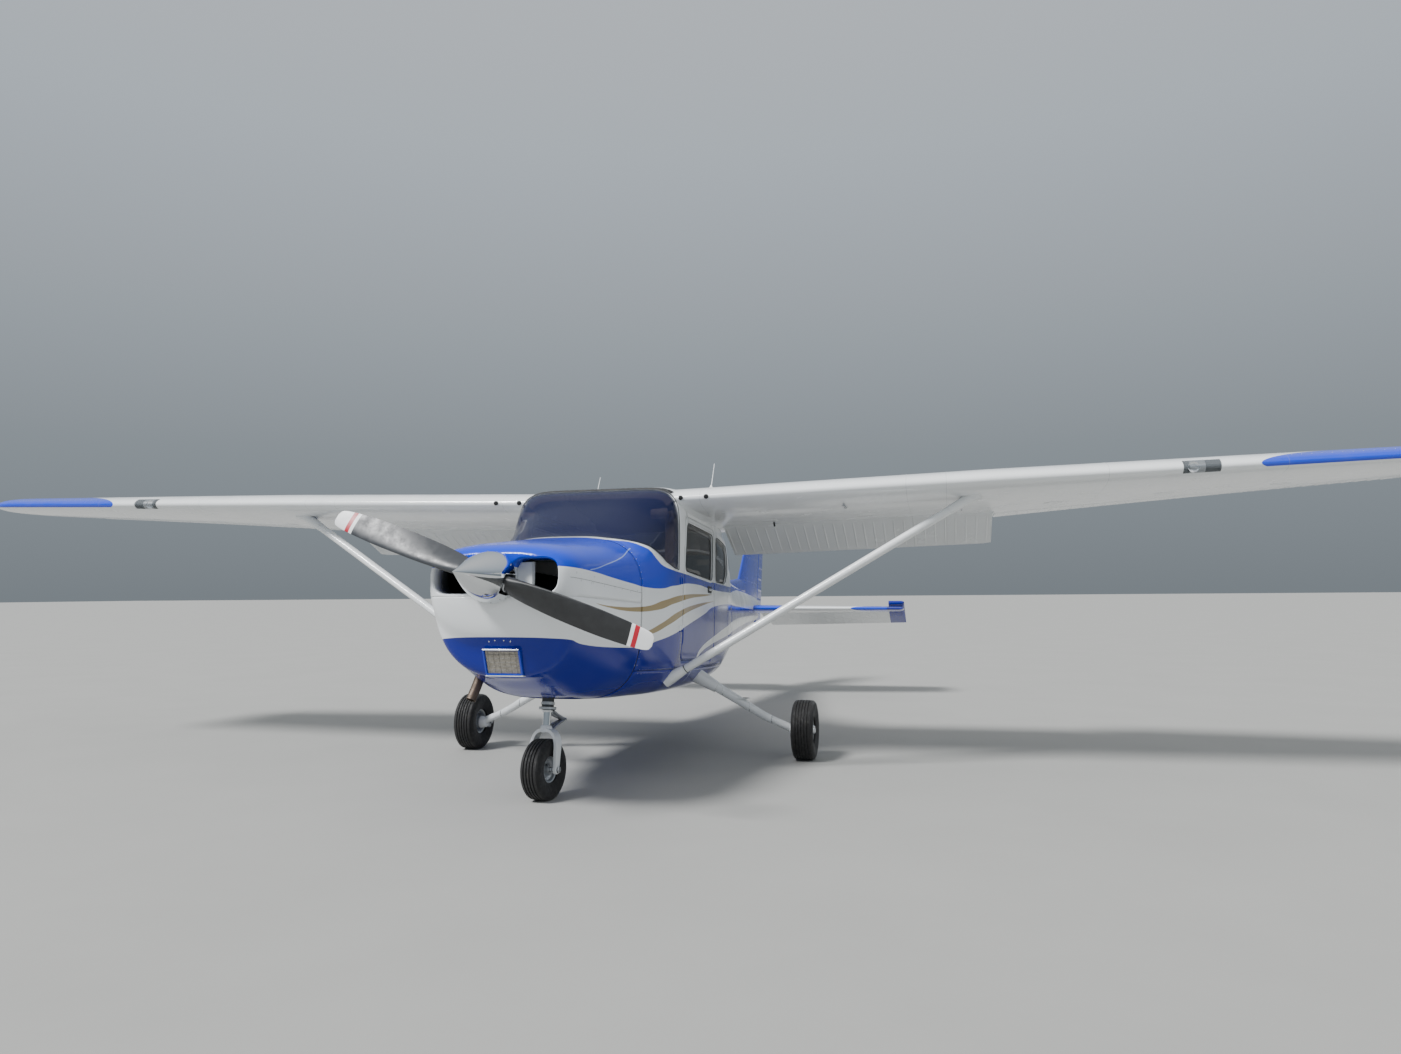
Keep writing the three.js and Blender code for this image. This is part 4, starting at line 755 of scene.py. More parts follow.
def lamp_glass(name, colour):
    """Coloured lens glass over a lamp, ribbed inside."""
    def ribs(tree, place):
        return add(tree, "TexWave", {"Vector": place, "Scale": 60.0}, "Fac")

    return finish_of(name, colour, 0.05, grain=ribs, depth=(0.4, 0.4), IOR=1.5,
                     Transmission_Weight=0.6)


def rubber(name, colour):
    """Natural rubber: black with a brown bloom, dull, scuffed, with dust in patches."""
    return finish_of(name, colour, 0.65, 0.0, ("#38342e", 45, 0.55, 1.0), (0.6, 0.9, 20),
                     (4, 4.0, 0.6), (0.4, 0.6), Sheen_Weight=0.1)


# For each finish: the record's slot that most of its pieces take, its maker, and the
# maker's numbers
FINISH_TABLE = {
    "livery": ("white_paint", livery),
    "wing": ("white_paint", wing_paint),
    "tail": ("white_paint", tail_paint),
    "white": ("white_paint", enamel, "enamel_white", "#e4e7e8"),
    "blue": ("blue_paint", enamel, "enamel_blue", "#0634b4"),
    "inside": ("engine", enamel, "zinc_primer_dark", "#33363a", 0.5, 0.7),
    "rivet": ("white_paint", enamel, "enamel_rivets", "#d5d8da"),
    "red": ("cabin_trim", enamel, "enamel_red", "#b4162a"),
    "black": ("bare_metal", plastic, "crackle_black", "#131416", 0.45, 0.7),
    "seal": ("window", plastic, "rubber_seal", "#2a2b2c", 0.6, 0.8),
    "beige": ("cabin_trim", plastic, "moulded_beige_vent", "#dcc4aa", 0.45, 0.6),
    "vinyl": ("cabin_trim", plastic, "grained_vinyl", "#8f8572", 0.45, 0.6, 3.0, 0.3),
    "trim": ("cabin_trim", plastic, "moulded_beige_trim", "#8d826e", 0.5, 0.65),
    "panel": ("cabin_trim", plastic, "panel_grey", "#2b2d30", 0.45, 0.6),
    "dial": ("cabin_trim", plastic, "dial_face", "#0d0e10", 0.3, 0.4),
    "mark": ("cabin_trim", plastic, "dial_mark", "#e8e8e2", 0.5, 0.6),
    "blade": ("blade", blade_finish, "painted_blade_black", "#131416"),
    # A greyer copy of the blade's black: a painted reflection of the sky on one blade's front
    "blade_face": ("blade", blade_finish, "painted_blade_face", "#303338"),
    "alloy": ("bare_metal", metal, "cast_alloy", "#b9bcbf", 0.25, 0.45),
    "steel": ("bare_metal", metal, "bright_steel", "#c9ccce", 0.12, 0.25),
    "dark_steel": ("bare_metal", metal, "phosphated_steel", "#55585b", 0.4, 0.6),
    "exhaust": ("exhaust", metal, "heat_tinted_steel", "#6e6258", 0.35, 0.65, 2.0, "#3c2c20"),
    "engine": ("engine", metal, "cast_crankcase", "#5c5f61", 0.5, 0.7, 3.0),
    # Both window tints are partly the acrylic's own and partly painted shade, darkened to stand
    # for the shaded cabin behind
    "windshield": ("window", acrylic, "tinted_acrylic_front", "#061440", 0.62),
    "glass": ("window", acrylic, "tinted_acrylic", "#0b0d10", 0.55),
    "lens": ("window", acrylic, "clear_acrylic", "#8a9298", 0.2),
    "red_lens": ("window", lamp_glass, "red_lens", "#c01010"),
    "green_lens": ("window", lamp_glass, "green_lens", "#0c9a48"),
    "beacon_lens": ("window", lamp_glass, "beacon_lens", "#b01818"),
    "headliner": ("cabin_trim", woven, "headliner_felt", "#5b574f", "#4b4740", 3.0),
    "cloth": ("seat_cloth", woven, "wool_tweed", "#83807a", "#5d5a56"),
    "carpet": ("cabin_trim", woven, "loop_carpet", "#3c3f44", "#2a2c30", 5.0),
    "webbing": ("seat_cloth", woven, "belt_webbing", "#2d2f33", "#1c1d20", 1.6),
    # Polished chrome on spun aluminium: a mirror, with hair-fine swirl marks
    "chrome": ("polished_metal", finish_of, "chrome_plate", "#dfe2e4", 0.035, 1.0, None,
               (0.02, 0.07, 60), (2.0, 2.0, 0.5, (1, 0.1, 1)), (0.01, 0.3)),
    "tyre": ("tyre", rubber, "tyre_rubber", "#0f0f10"),
    # Oiled filter paper, tan and grey, with dust between the pleats
    "paper": ("filter", finish_of, "filter_paper", "#bab4a9", 0.85, 0.0,
              ("#8c867a", 12, 0.4, 0.8), None, (2.5, 3.0, 0.6), (0.4, 0.7)),
    # Unlit display glass: almost black and glossy, with a faint blue mottle
    "screen": ("cabin_trim", finish_of, "display_glass", "#0a0f16", 0.06, 0.0,
               ("#101a28", 30, 0.4, 0.7)),
}
FINISH = {}


def make_finishes(paint):
    """Makes every finish once, by the name that the pieces ask for."""
    for key, (_, maker, *numbers) in FINISH_TABLE.items():
        FINISH[key] = maker(*numbers) if numbers else maker(paint)


# Body

UNROLL = 0.6
DOOR_ROUND = 0.06
WINDOW_ROUND = 0.055


def unrolled(points):
    """Stations and heights as a flat plane of the skin: the station, and the angle round
    the section times a fixed length."""
    points = asarray(points, float)
    return stack([points[:, 0], UNROLL * side_angle(points[:, 0], points[:, 1])], 1)


def unrolled_outline(points, step=0.02):
    """An outline in station and height, filled in along its sides both before and after
    it is laid on the unrolled plane."""
    return dense(unrolled(dense(points, step)), step)


def skin_sheet(outline, holes=(), step=0.03, inset=0.0):
    """A sheet of the left side's skin, trimmed in the unrolled plane and set in by an
    inset."""
    flat, tris = trimmed(unrolled_outline(outline), [unrolled_outline(h) for h in holes], step)
    return body_point(flat[:, 0], flat[:, 1] / UNROLL, inset), tris


def on_both(shape):
    """A shape of the left side and its mirror image."""
    return [shape, mirrored(shape)]


def skin_normal(station, angle, step=0.002):
    """Outward unit normal of the skin, from two short steps over it."""
    along = body_point(station + step, angle) - body_point(station - step, angle)
    around = body_point(station, angle + step) - body_point(station, angle - step)
    normal = cross(along, around)
    return -normal / np.linalg.norm(normal, axis=-1, keepdims=True)


def on_side(points, lift=0.0):
    """Left-side points given by station and height, laid on the skin and lifted off it."""
    points = asarray(points, float)
    angle = side_angle(points[:, 0], points[:, 1])
    return body_point(points[:, 0], angle, -lift)


def side_strip(outline, width, height, closed=True, base=-0.001):
    """A raised strip along an outline on the body's side: four rows across it, from the
    skin at one edge over the strip's height to the skin at the other."""
    line = dense(outline, 0.015, closed)
    edges = [(-width / 2, base), (-width / 2 + 0.001, height), (width / 2 - 0.001, height),
        (width / 2, base)]
    points = stack([on_side(grown(line, g), h) for g, h in edges], 1)
    if closed:
        points = concatenate([points, points[:1]])
    return surface(points, True, not closed)


def rivet_line(points, pitch, closed=False, lift=0.0):
    """Evenly spaced places along a line on the body's side, with their normals."""
    line = dense(asarray(points, float), 0.01, closed)
    length = concatenate([[0], np.cumsum(np.linalg.norm(np.diff(line, axis=0), axis=1))])
    at = arange(pitch / 2, length[-1], pitch)
    flat = stack([interp(at, length, line[:, k]) for k in (0, 1)], 1)
    angle = side_angle(flat[:, 0], flat[:, 1])
    return body_point(flat[:, 0], angle, -lift), skin_normal(flat[:, 0], angle)


def ring_rivets(station, count, low=-pi / 2, high=1.5 * pi):
    """Places round a section, with their normals."""
    angle = linspace(low, high, count, endpoint=False)
    stations = full(count, station)
    return body_point(stations, angle), skin_normal(stations, angle)


def rivets(name, rows, slot="white_paint", radius=None, height=0.0009, sides=SIDES):
    """Many flush rivet heads as one piece, from rows of places and normals on the left."""
    points = concatenate([r[0] for r in rows])
    normals = concatenate([r[1] for r in rows])
    shapes = [studs(points * [s, 1, 1], normals * [s, 1, 1], radius or size("rivet"),
        height) for s in sides]
    return piece(name, shapes, "rivet", slot=slot, outward=False, merge=0)


def nose_station(points):
    """Station of the nose's skin at given x and height: halving the span between the
    foremost section and the join until the point lies on the section's outline."""
    x, z = abs(points[:, 0]), points[:, 1]
    low, high = full(len(x), NOSE), full(len(x), NOSE_JOIN)
    for _ in range(30):
        middle = (low + high) / 2
        half, top, bottom, wide, upper, lower = section(middle)
        above = z > wide
        reach = np.where(above, top - wide, wide - bottom)
        n = np.where(above, upper, lower)
        beyond = (x / half) ** n + (abs(z - wide) / reach) ** n > 1
        low, high = np.where(beyond, middle, low), np.where(beyond, high, middle)
    return (low + high) / 2


INLET = mm([[90, 1157], [364, 1157], [364, 1358], [90, 1358]])
INLET_LIP = [(0, 0), (-0.005, 0.003), (-0.008, 0.010), (-0.009, 0.026), (-0.012, 0.085)]


def inlet_outline(grow=0.0):
    """The port inlet seen from ahead, x and height, as a rounded box."""
    return grown(dense(rounded(INLET, 0.088, 9), 0.02), grow)


def cowl_angles(stations, upper, count=73):
    """Angles that run evenly from the left seam to the right one at each station, over
    the top or under the belly."""
    seam = side_angle(stations, full_like(stations, COWL_SPLIT))[:, None]
    t = linspace(0, 1, count)[None]
    return seam + (pi - 2 * seam) * t if upper else seam - (pi + 2 * seam) * t


def cowl_skin(upper):
    """Half of the cowl: the nose bowl, trimmed over x and height and set back to meet
    the section, and the sheet aft of it over stations and angles, whose first row is
    the bowl's edge."""
    join = array([NOSE_JOIN])
    edge = body_point(join[:, None] + 0 * cowl_angles(join, upper), cowl_angles(join, upper))[0]
    ring = edge[:, [0, 2]]
    across = linspace(ring[-1], ring[0], 41)[1:-1]
    holes = []
    if upper:
        line = inlet_outline()
        holes = [line, line[::-1] * [-1, 1], [0, HUB_HEIGHT] + circle(36, 0.064)]
    steps = array([0.3005, 0.303, 0.308, 0.317, 0.33, 0.35, 0.375, 0.402])
    extra = concatenate([body_point(full(81, s), cowl_angles(array([s]), upper,
        81)[0]) for s in steps])[:, [0, 2]]
    flat, tris = trimmed(concatenate([ring, across]), holes, 0.014, extra)
    bowl = stack([flat[:, 0], nose_station(flat), flat[:, 1]], 1)
    bowl[:73] = edge
    stations = concatenate([linspace(NOSE_JOIN, 0.49, 5)[:-1], linspace(0.49, FIREWALL - 0.001,
        37)])
    angles = cowl_angles(stations, upper)
    points, faces = surface(body_point(stations[:, None] + 0 * angles, angles))
    if not upper:
        middle = points[array(faces)].mean(1)
        out = (abs(middle[:, 0]) < 0.17) & (middle[:, 1] > 1.01)
        faces = [f for f, gone in zip(faces, out) if not gone]
    return [(bowl, tris), (points, faces)]


def inlet_lips():
    """Rolled lips of both inlets and of the shaft hole: their outlines drawn in and back."""
    lips = []
    line = inlet_outline()
    front = nose_station(line)
    for side in SIDES:
        rows = [stack([side * inlet_outline(g)[:, 0], front + back, inlet_outline(g)[:, 1]],
            1) for g, back in INLET_LIP]
        lips.append(surface(array(rows), True))
    hole = [0, HUB_HEIGHT] + circle(36, 0.064)
    rows = [stack([hole[:, 0] * k, full(36, NOSE + 0.0005 + back), HUB_HEIGHT + (hole[:,
        1] - HUB_HEIGHT) * k], 1) for k, back in ((1, 0), (0.97, 0.003), (0.95, 0.02))]
    return [*lips, surface(array(rows), True)]


def make_cowl():
    """Cowl halves split at one level, the inlets' lips, fasteners, seams and ducts."""
    piece("cowl_top_skin", [*cowl_skin(True), *inlet_lips()], "livery+inside", nodes="cowl_upper",
        slot="blue_paint", thick=0.005, merge=3e-4, crease=50)
    piece("cowl_belly_skin", cowl_skin(False), "livery+inside", nodes="cowl_lower", thick=0.005,
        merge=3e-4, crease=50)
    ducts, vanes = [], []
    for side in SIDES:
        line = inlet_outline(-0.010)
        rows = [stack([side * line[:, 0], full(len(line), s), line[:, 1]], 1) for s in (0.40, 0.47,
            0.475)]
        ducts.append(surface(array(rows)[::-1], True))
        vanes.append(block((side * 0.092, 0.375, 1.185), (side * 0.195, 0.381, 1.335), 0.002,
            0.02))
    piece("inlet_ducts", ducts, "inside", thick=0.0015, crease=30)
    piece("inlet_baffles", vanes, "white", slot="engine", crease=30)
    lines = []
    for side in SIDES:
        stations = linspace(0.37, 1.21, 44)
        line = on_side(stack([stations, 1.252 - 0.047 * (stations - 0.37)], 1), 0.0002)
        lines.append(tube(line * [side, 1, 1], 0.0009, 6, (0, 0.1, 1)))
    ring = body_point(full(161, FIREWALL), linspace(-pi / 2, 1.5 * pi, 161), 0.0004)
    lines.append(tube(ring, 0.0010, 6, (0, 1, 0.01)))
    piece("cowl_seams", lines, "seal", slot="blue_paint", outward=False)
    marks = array([[0.411, 1.278], [0.558, 1.23], [0.594, 1.266], [0.933, 1.218], [1.146, 1.221],
        [0.45, 1.239], [0.58, 1.233], [0.71, 1.227], [0.84, 1.221], [1.05, 1.211], [1.198, 1.30],
        [1.198, 1.42], [1.198, 1.02], [1.198, 0.90], [1.198, 0.78]])
    angle = side_angle(marks[:, 0], marks[:, 1])
    at, out = body_point(marks[:, 0], angle), skin_normal(marks[:, 0], angle)
    low = array([[-0.062, 0.914], [0.062, 0.914], [-0.026, 0.92], [0.026, 0.92]])
    dots = stack([low[:, 0], nose_station(low), low[:, 1]], 1)
    piece("cowl_fasteners", [studs(concatenate([at, at * [-1, 1, 1], dots]),
        concatenate([out, out * [-1, 1, 1], tile([0, -0.9, -0.4], (4, 1))]), 0.0055, 0.0016)],
        "steel", outward=False, merge=0)


FILTER_FACE = [(0.733, 0.477), (0.875, 0.417)]


def filter_face(x, z, back=0.0):
    """A point of the air filter's sloping face, from x and height, moved back."""
    share = (z - FILTER_FACE[0][0]) / (FILTER_FACE[1][0] - FILTER_FACE[0][0])
    station = FILTER_FACE[0][1] + (FILTER_FACE[1][1] - FILTER_FACE[0][1]) * share
    return stack([x, station + back, z], -1)


def make_filter():
    """Air box: a painted frame with a lower lip round paper pleats behind crossed wires."""
    half, low, high = 0.108, 0.733, 0.875
    box = dense(rounded([[-half, low], [half, low], [half, high], [-half, high]], 0.016), 0.02)
    rows = [filter_face(*grown(box, g).T, back) for g, back in ((0.001, 0.12), (0.001, -0.006),
        (-0.001, -0.009), (-0.008, -0.009), (-0.010, -0.006), (-0.011, 0.004))]
    piece("air_filter_frame", surface(array(rows), True), "blue", nodes="air_filter",
        slot="filter", crease=30)
    x = linspace(-half + 0.012, half - 0.012, 113)
    fold = abs(arange(113) % 4 - 2) / 2 * 0.004
    z = linspace(low + 0.012, high - 0.012, 4)
    grid = filter_face(x[:, None] + 0 * z, z[None] + 0 * x[:, None], fold[:, None] - 0.001)
    piece("air_filter_pleats", surface(grid), "paper", crease=20)
    wires = [tube(filter_face(linspace(-half + 0.013, half - 0.013, 3), full(3, h), -0.002),
        0.0006, 6, Z) for h in linspace(low + 0.03, high - 0.03, 5)]
    wires += [tube(filter_face(full(3, w), linspace(low + 0.013, high - 0.013, 3), -0.003), 0.0006,
        6, X) for w in linspace(-0.08, 0.08, 6)]
    piece("air_filter_wires", wires, "dark_steel", slot="filter")
    lip = [block((-half - 0.003, 0.468, low - 0.005), (half + 0.003, 0.60, low + 0.001), 0.002,
        0.006), tube(filter_face(linspace(-half + 0.004, half - 0.004, 3), full(3, high - 0.004),
        -0.009), 0.004, 8, Z)]
    piece("air_filter_lip", lip, "white")


def make_engine():
    """Flat four engine in the cowl: crankcase, four finned cylinders with their covers,
    the shaft, mounts, and the bent exhaust stack with its clamp."""
    case = [block((-0.11, 0.56, 1.09), (0.11, 1.06, 1.30), 0.02, 0.05), block((-0.15, 0.70, 1.02),
        (0.15, 1.0, 1.09), 0.015, 0.04), lathe([[0, 0.05], [0.02, 0.075], [0.12, 0.095],
        [0.20, 0.10]], (0, 0.40, HUB_HEIGHT), Y, 32), lathe([[0, 0.03], [0.11, 0.03], [0.11, 0.05],
        [0.13, 0.05]], (0, 0.285, HUB_HEIGHT), Y, 24)]
    fins = [[0.0, 0.05]]
    for k in range(14):
        at = 0.008 + 0.0105 * k
        fins += [[at, 0.054], [at, 0.074], [at + 0.003, 0.074], [at + 0.003, 0.054]]
    fins += [[0.16, 0.06], [0.16, 0.072], [0.225, 0.068], [0.24, 0.05]]
    for side in SIDES:
        for station in (0.66, 0.86):
            shift = 0.02 if side > 0 else 0.0
            case.append(lathe(fins, (side * 0.11, station + shift, 1.19), (side, 0, 0), 28))
            case.append(tube(smooth_path([[side * 0.2, station + shift, 1.14], [side * 0.2,
                station + shift + 0.02, 1.05], [side * 0.16, station + shift + 0.08, 1.03]], 10),
                0.018, 12, (side, 0, 0.2)))
    mounts = [tube(array([[x, 0.98, z], [x * 1.1, 1.09, z], [x * 1.15, 1.206, z]]), 0.012, 10,
        Z) for x in (-0.2, 0.2) for z in (1.08, 1.28)]
    piece("engine_crankcase", case, "engine", nodes="engine_block", crease=35)
    piece("engine_mount", mounts, "black", slot="engine")
    path = smooth_path([[-0.303, 0.906, 1.008], [-0.305, 0.902, 0.93], [-0.32, 0.878, 0.80],
        [-0.342, 0.836, 0.67], [-0.361, 0.797, 0.580]], 26)
    _, across, above = frames(path, Y)
    ring = circle(28)
    radial = ring[None, :, :1] * across[:, None] + ring[None, :, 1:] * above[:, None]
    rows = concatenate([path[:, None] + 0.0290 * radial, (path[:,
        None] + 0.0262 * radial)[::-1][:14]])
    piece("exhaust_stack", surface(rows, True), "exhaust", nodes="exhaust_pipe", crease=50)
    clamp = lathe([[-0.008, 0.0288], [-0.008, 0.032], [0.008, 0.032], [0.008, 0.0288]], path[14],
        path[15] - path[14], 28, Y)
    piece("exhaust_clamp", clamp, "dark_steel", slot="exhaust", crease=30)
    ring = body_point(full(120, FIREWALL), linspace(0, 2 * pi, 121)[:-1], 0.013)
    rows = stack([ring - [0, 0.012, 0], ring - [0, 0.001, 0]])
    piece("firewall_sheet", surface(rows, True, True), "alloy", nodes="firewall", crease=30)


def top_of(station):
    """Height of the skin's top at one station."""
    return float(section(array([station]))[1][0])


def top_line(start, end, count=15):
    """Stations and heights just over the skin's top, so that a line along it unrolls to
    the centre line."""
    stations = linspace(start, end, count)
    return stack([stations, section(stations)[1] + 0.01], 1)


def cabin_side_outline():
    """The left side in station and height: along the floor split, up the cabin's end,
    round the rear window, along the roof split, and down round the windshield."""
    end, front = CABIN_END - SEAM, FIREWALL + SEAM
    return array([[front, FLOOR_SPLIT + SEAM], [end, FLOOR_SPLIT + SEAM], [end, top_of(end)],
        [3.9045, top_of(3.9045)], [3.89, 1.54], [3.64, 1.56], [3.562, 1.849],
        [3.562, ROOF_SPLIT - SEAM], [1.8615, ROOF_SPLIT - SEAM], [1.846, 1.402], [1.76, 1.404],
        [1.62, 1.434], [1.45, 1.52], [1.284, 1.562], [1.2815, top_of(1.2815)],
        [front, top_of(front)]])


def grid_skin(stations, low, high, columns=61):
    """A sheet of skin between two angles at each station, from one side to the other."""
    t = linspace(0, 1, columns)[None]
    angles = low[:, None] + (high - low)[:, None] * t
    return surface(body_point(stations[:, None] + 0 * angles, angles))


WINDSHIELD_EDGE = array([[1.2815, 1.5745], [1.284, 1.562], [1.45, 1.52], [1.62, 1.434],
    [1.76, 1.404], [1.846, 1.402], [1.8615, 1.864]])


def make_cabin():
    """Cabin shell, one wall thick with its lining: belly, sides cut for the doors and
    windows, and roof."""
    wall = size("cabin_wall")
    stations = concatenate([linspace(FIREWALL + SEAM, 2.0, 27), linspace(2.03, CABIN_END - SEAM,
        58)])
    seam = side_angle(stations, full_like(stations, FLOOR_SPLIT))
    piece("belly_skin", grid_skin(stations, -pi - seam, seam), "livery+carpet",
        nodes="cabin_floor", thick=wall, crease=50)
    gap = 0.003
    door = grown(rounded(DOOR, DOOR_ROUND), gap)
    quarter = rounded(QUARTER_WINDOW, WINDOW_ROUND)
    hatch = grown(rounded(BAGGAGE_DOOR, DOOR_ROUND), gap)
    left = skin_sheet(cabin_side_outline(), [door, quarter, hatch])
    right = mirrored(skin_sheet(cabin_side_outline(), [door, quarter]))
    for name, shape in (("left", left), ("right", right)):
        piece(f"cabin_skin_{name}", shape, "livery+trim", nodes=f"cabin_side_{name}", thick=wall,
            crease=50)
    stations = linspace(1.8625, 3.56, 60)
    seam = side_angle(stations, full_like(stations, ROOF_SPLIT + SEAM))
    piece("roof_skin", grid_skin(stations, seam, pi - seam), "livery+headliner",
        nodes="cabin_roof", thick=wall, crease=50)


def make_glass():
    """Windshield, rear window and quarter windows of tinted acrylic, darkened also as painted
    shade of the cabin behind, set in dark seals, and the retainer over the windshield."""
    glass_in = 0.007
    shield = concatenate([WINDSHIELD_EDGE[1:], top_line(1.8615, 1.2815)])
    piece("windshield_glass", on_both(skin_sheet(shield, (), 0.03, glass_in)), "windshield",
        nodes="windshield", thick=size("glass"), merge=4e-4, crease=60)
    back = concatenate([[[3.562, 1.849], [3.64, 1.56], [3.89, 1.54]], top_line(3.9045, 3.562)])
    piece("rear_glass", on_both(skin_sheet(back, (), 0.03, glass_in)), "glass",
        nodes="rear_window", thick=size("glass"), merge=4e-4, crease=60)
    quarter = grown(rounded(QUARTER_WINDOW, WINDOW_ROUND), 0.003)
    for side, name in ((1, "left"), (-1, "right")):
        pane = skin_sheet(quarter, (), 0.03, 0.009)
        piece(f"quarter_glass_{name}", pane, "glass", nodes=f"quarter_window_{name}", side=side,
            thick=size("glass"), crease=60)
    seals = [side_strip(rounded(QUARTER_WINDOW, WINDOW_ROUND), 0.005, 0.002)]
    seals.append(side_strip(WINDSHIELD_EDGE[1:], 0.006, 0.002, closed=False))
    seals.append(side_strip([[3.562, 1.849], [3.64, 1.56], [3.89, 1.54]], 0.006, 0.002,
        closed=False))
    seals += [mirrored(s) for s in seals]
    for station, low in ((1.862, 1.80), (3.562, 1.80), (1.2825, 1.562), (3.903, 1.60)):
        angle = side_angle(array([station]), array([low]))[0]
        ring = linspace(angle, pi - angle, 60)
        s = full(60, station)
        rows = stack([body_point(s + d, ring, -h) for d, h in ((-0.004, -0.001), (-0.003, 0.002),
            (0.003, 0.002), (0.004, -0.001))], 1)
        seals.append(surface(rows, True, True))
    piece("window_seals", seals, "seal", crease=40)
    band_low = side_angle(array([1.905]), array([1.93]))[0]
    ring = linspace(band_low, pi - band_low, 70)
    rows = stack([body_point(full(70, s), ring, -h) for s, h in ((1.872, -0.001), (1.873, 0.0016),
        (1.925, 0.0016), (1.926, -0.001))], 1)
    piece("windshield_top_retainer", surface(rows, True, True), "black", slot="window", crease=40)


def make_door_parts(side, name):
    """One cabin door: its skin with the lining, the window's pane, seal and retainer, the
    handle and an arm rest."""
    body = f"door_{name}"
    outline, window = rounded(DOOR, DOOR_ROUND), rounded(DOOR_WINDOW, WINDOW_ROUND)
    piece(f"door_skin_{name}", skin_sheet(grown(outline, -0.001), [window]), "livery+trim", body,
        f"cabin_door_{name}", side=side, thick=0.027, crease=50)
    piece(f"door_glass_{name}", skin_sheet(grown(window, 0.003), (), 0.03, 0.009), "glass", body,
        f"door_window_{name}", side=side, thick=size("glass"), crease=60)
    piece(f"door_window_seal_{name}", side_strip(window, 0.005, 0.002), "seal", body, side=side)
    frame_line = grown(window, 0.014)
    piece(f"door_window_retainer_{name}", side_strip(frame_line, 0.016, 0.0014), "white", body,
        side=side)
    plate_at = on_side([[2.705, 1.315]])[0]
    cup = rounded([[-0.062, -0.026], [0.062, -0.026], [0.062, 0.026], [-0.062, 0.026]], 0.018)
    grip = rounded([[-0.05, -0.007], [0.05, -0.010], [0.05, 0.010], [-0.05, 0.007]], 0.005)
    parts = [plate(cup, plate_at - [0.001, 0, 0], Y, Z, 0.004, 0.0012)]
    piece(f"door_handle_plate_{name}", parts, "black", body, side=side, crease=35)
    lever = [plate(grip, plate_at + [0.003, 0, 0], Y, Z, 0.009, 0.003), lathe([[0, 0.008],
        [0.008, 0.008], [0.011, 0.005]], plate_at + [0.001, -0.036, 0], X, 20)]
    piece(f"door_handle_{name}", lever, "steel", body, side=side, crease=35)
    rest = plate(rounded([[-2.62, 1.10], [-2.18, 1.10], [-2.18, 1.15], [-2.62, 1.15]], 0.02),
        (0.5595, 0, 0), (0, -1, 0), Z, 0.035, 0.01)
    piece(f"door_arm_rest_{name}", rest, "vinyl", body, side=side, crease=40)


def make_hatch():
    """Baggage door on the port side: skin and lock."""
    outline = grown(rounded(BAGGAGE_DOOR, DOOR_ROUND), -0.001)
    piece("baggage_skin", skin_sheet(outline), "livery+trim", "baggage_hatch", "baggage_door",
        thick=0.02, crease=50)
    spot = on_side([[3.83, 1.22]])[0]
    lock = [lathe([[0, 0.013], [0.003, 0.013], [0.004, 0.011]], spot - [0.001, 0, 0], (1, 0, 0.1),
        24), block(spot + [0.003, -0.002, -0.008], spot + [0.006, 0.002, 0.008], 0.001, 0.001)]
    piece("baggage_lock", lock, "steel", "baggage_hatch", crease=30)


def make_tailcone():
    """Tail cone, closed at its end, and the fillet that leads into the fin."""
    stations = linspace(CABIN_END + SEAM, TAIL_END, 90)
    angles = linspace(-pi / 2, 1.5 * pi, 97)[:-1]
    points = body_point(stations[:, None] + 0 * angles, angles[None] + 0 * stations[:, None])
    cone = surface(points, True)
    plug = surface(stack([points[-1], points[-1] * [0.02, 1, 0.02] + [0, 0.0, 1.32]]), True)
    piece("tailcone_skin", [cone, plug], "livery+inside", nodes="tailcone", thick=0.004, crease=50)
    s = linspace(5.38, 6.74, 40)
    rise = interp(s, [5.38, 5.7, 6.1, 6.56, 6.74], [1.545, 1.578, 1.618, 1.668, 1.735])
    base = section(s)[1] - 0.03
    half = interp(s, [5.38, 5.8, 6.56, 6.74], [0.012, 0.03, 0.042, 0.044])
    t = linspace(0, pi, 17)
    rows = stack([half[:, None] * cos(t)[None], s[:, None] + 0 * t[None],
        base[:, None] + (rise - base)[:, None] * sin(t)[None] ** 0.8], -1)
    piece("fin_fillet", surface(rows, False), "blue", thick=0.002, crease=50)


def body_rivets():
    """Rivet and screw rows on the left side of the body."""
    rows = []
    for station in (4.06, 4.45, 4.88, 5.32, 5.76, 6.20, 6.64, 7.02):
        rows.append(ring_rivets(station, 34, -pi / 2, pi / 2))
    for z0, z1 in ((1.36, 1.40), (1.14, 1.30)):
        rows.append(rivet_line([[3.98, z0], [7.3, z1]], 0.05))
    for s0, z0, s1, z1, pitch in ((1.26, 0.752, 3.93, 0.752, 0.045), (1.26, 0.728, 3.93, 0.728,
            0.045), (1.232, 0.76, 1.232, 1.54, 0.04), (1.90, 0.76, 1.90, 1.39, 0.045),
            (2.885, 0.76, 2.885, 1.74, 0.045), (3.46, 0.78, 3.46, 1.46, 0.045), (3.925, 0.80,
            3.925, 1.52, 0.045), (2.93, 1.375, 3.34, 1.385, 0.05)):
        rows.append(rivet_line([[s0, z0], [s1, z1]], pitch))
    rivets("body_rivets", rows)
    rows = [rivet_line(grown(rounded(QUARTER_WINDOW, WINDOW_ROUND), 0.016), 0.05, True),
        rivet_line(WINDSHIELD_EDGE[1:] + [0, -0.016], 0.045)]
    angles = linspace(0.95, pi / 2, 14)
    s = full(14, 1.898)
    rows.append((body_point(s, angles, -0.0016), skin_normal(s, angles)))
    rivets("window_screws", rows, radius=0.0035, height=0.0014)


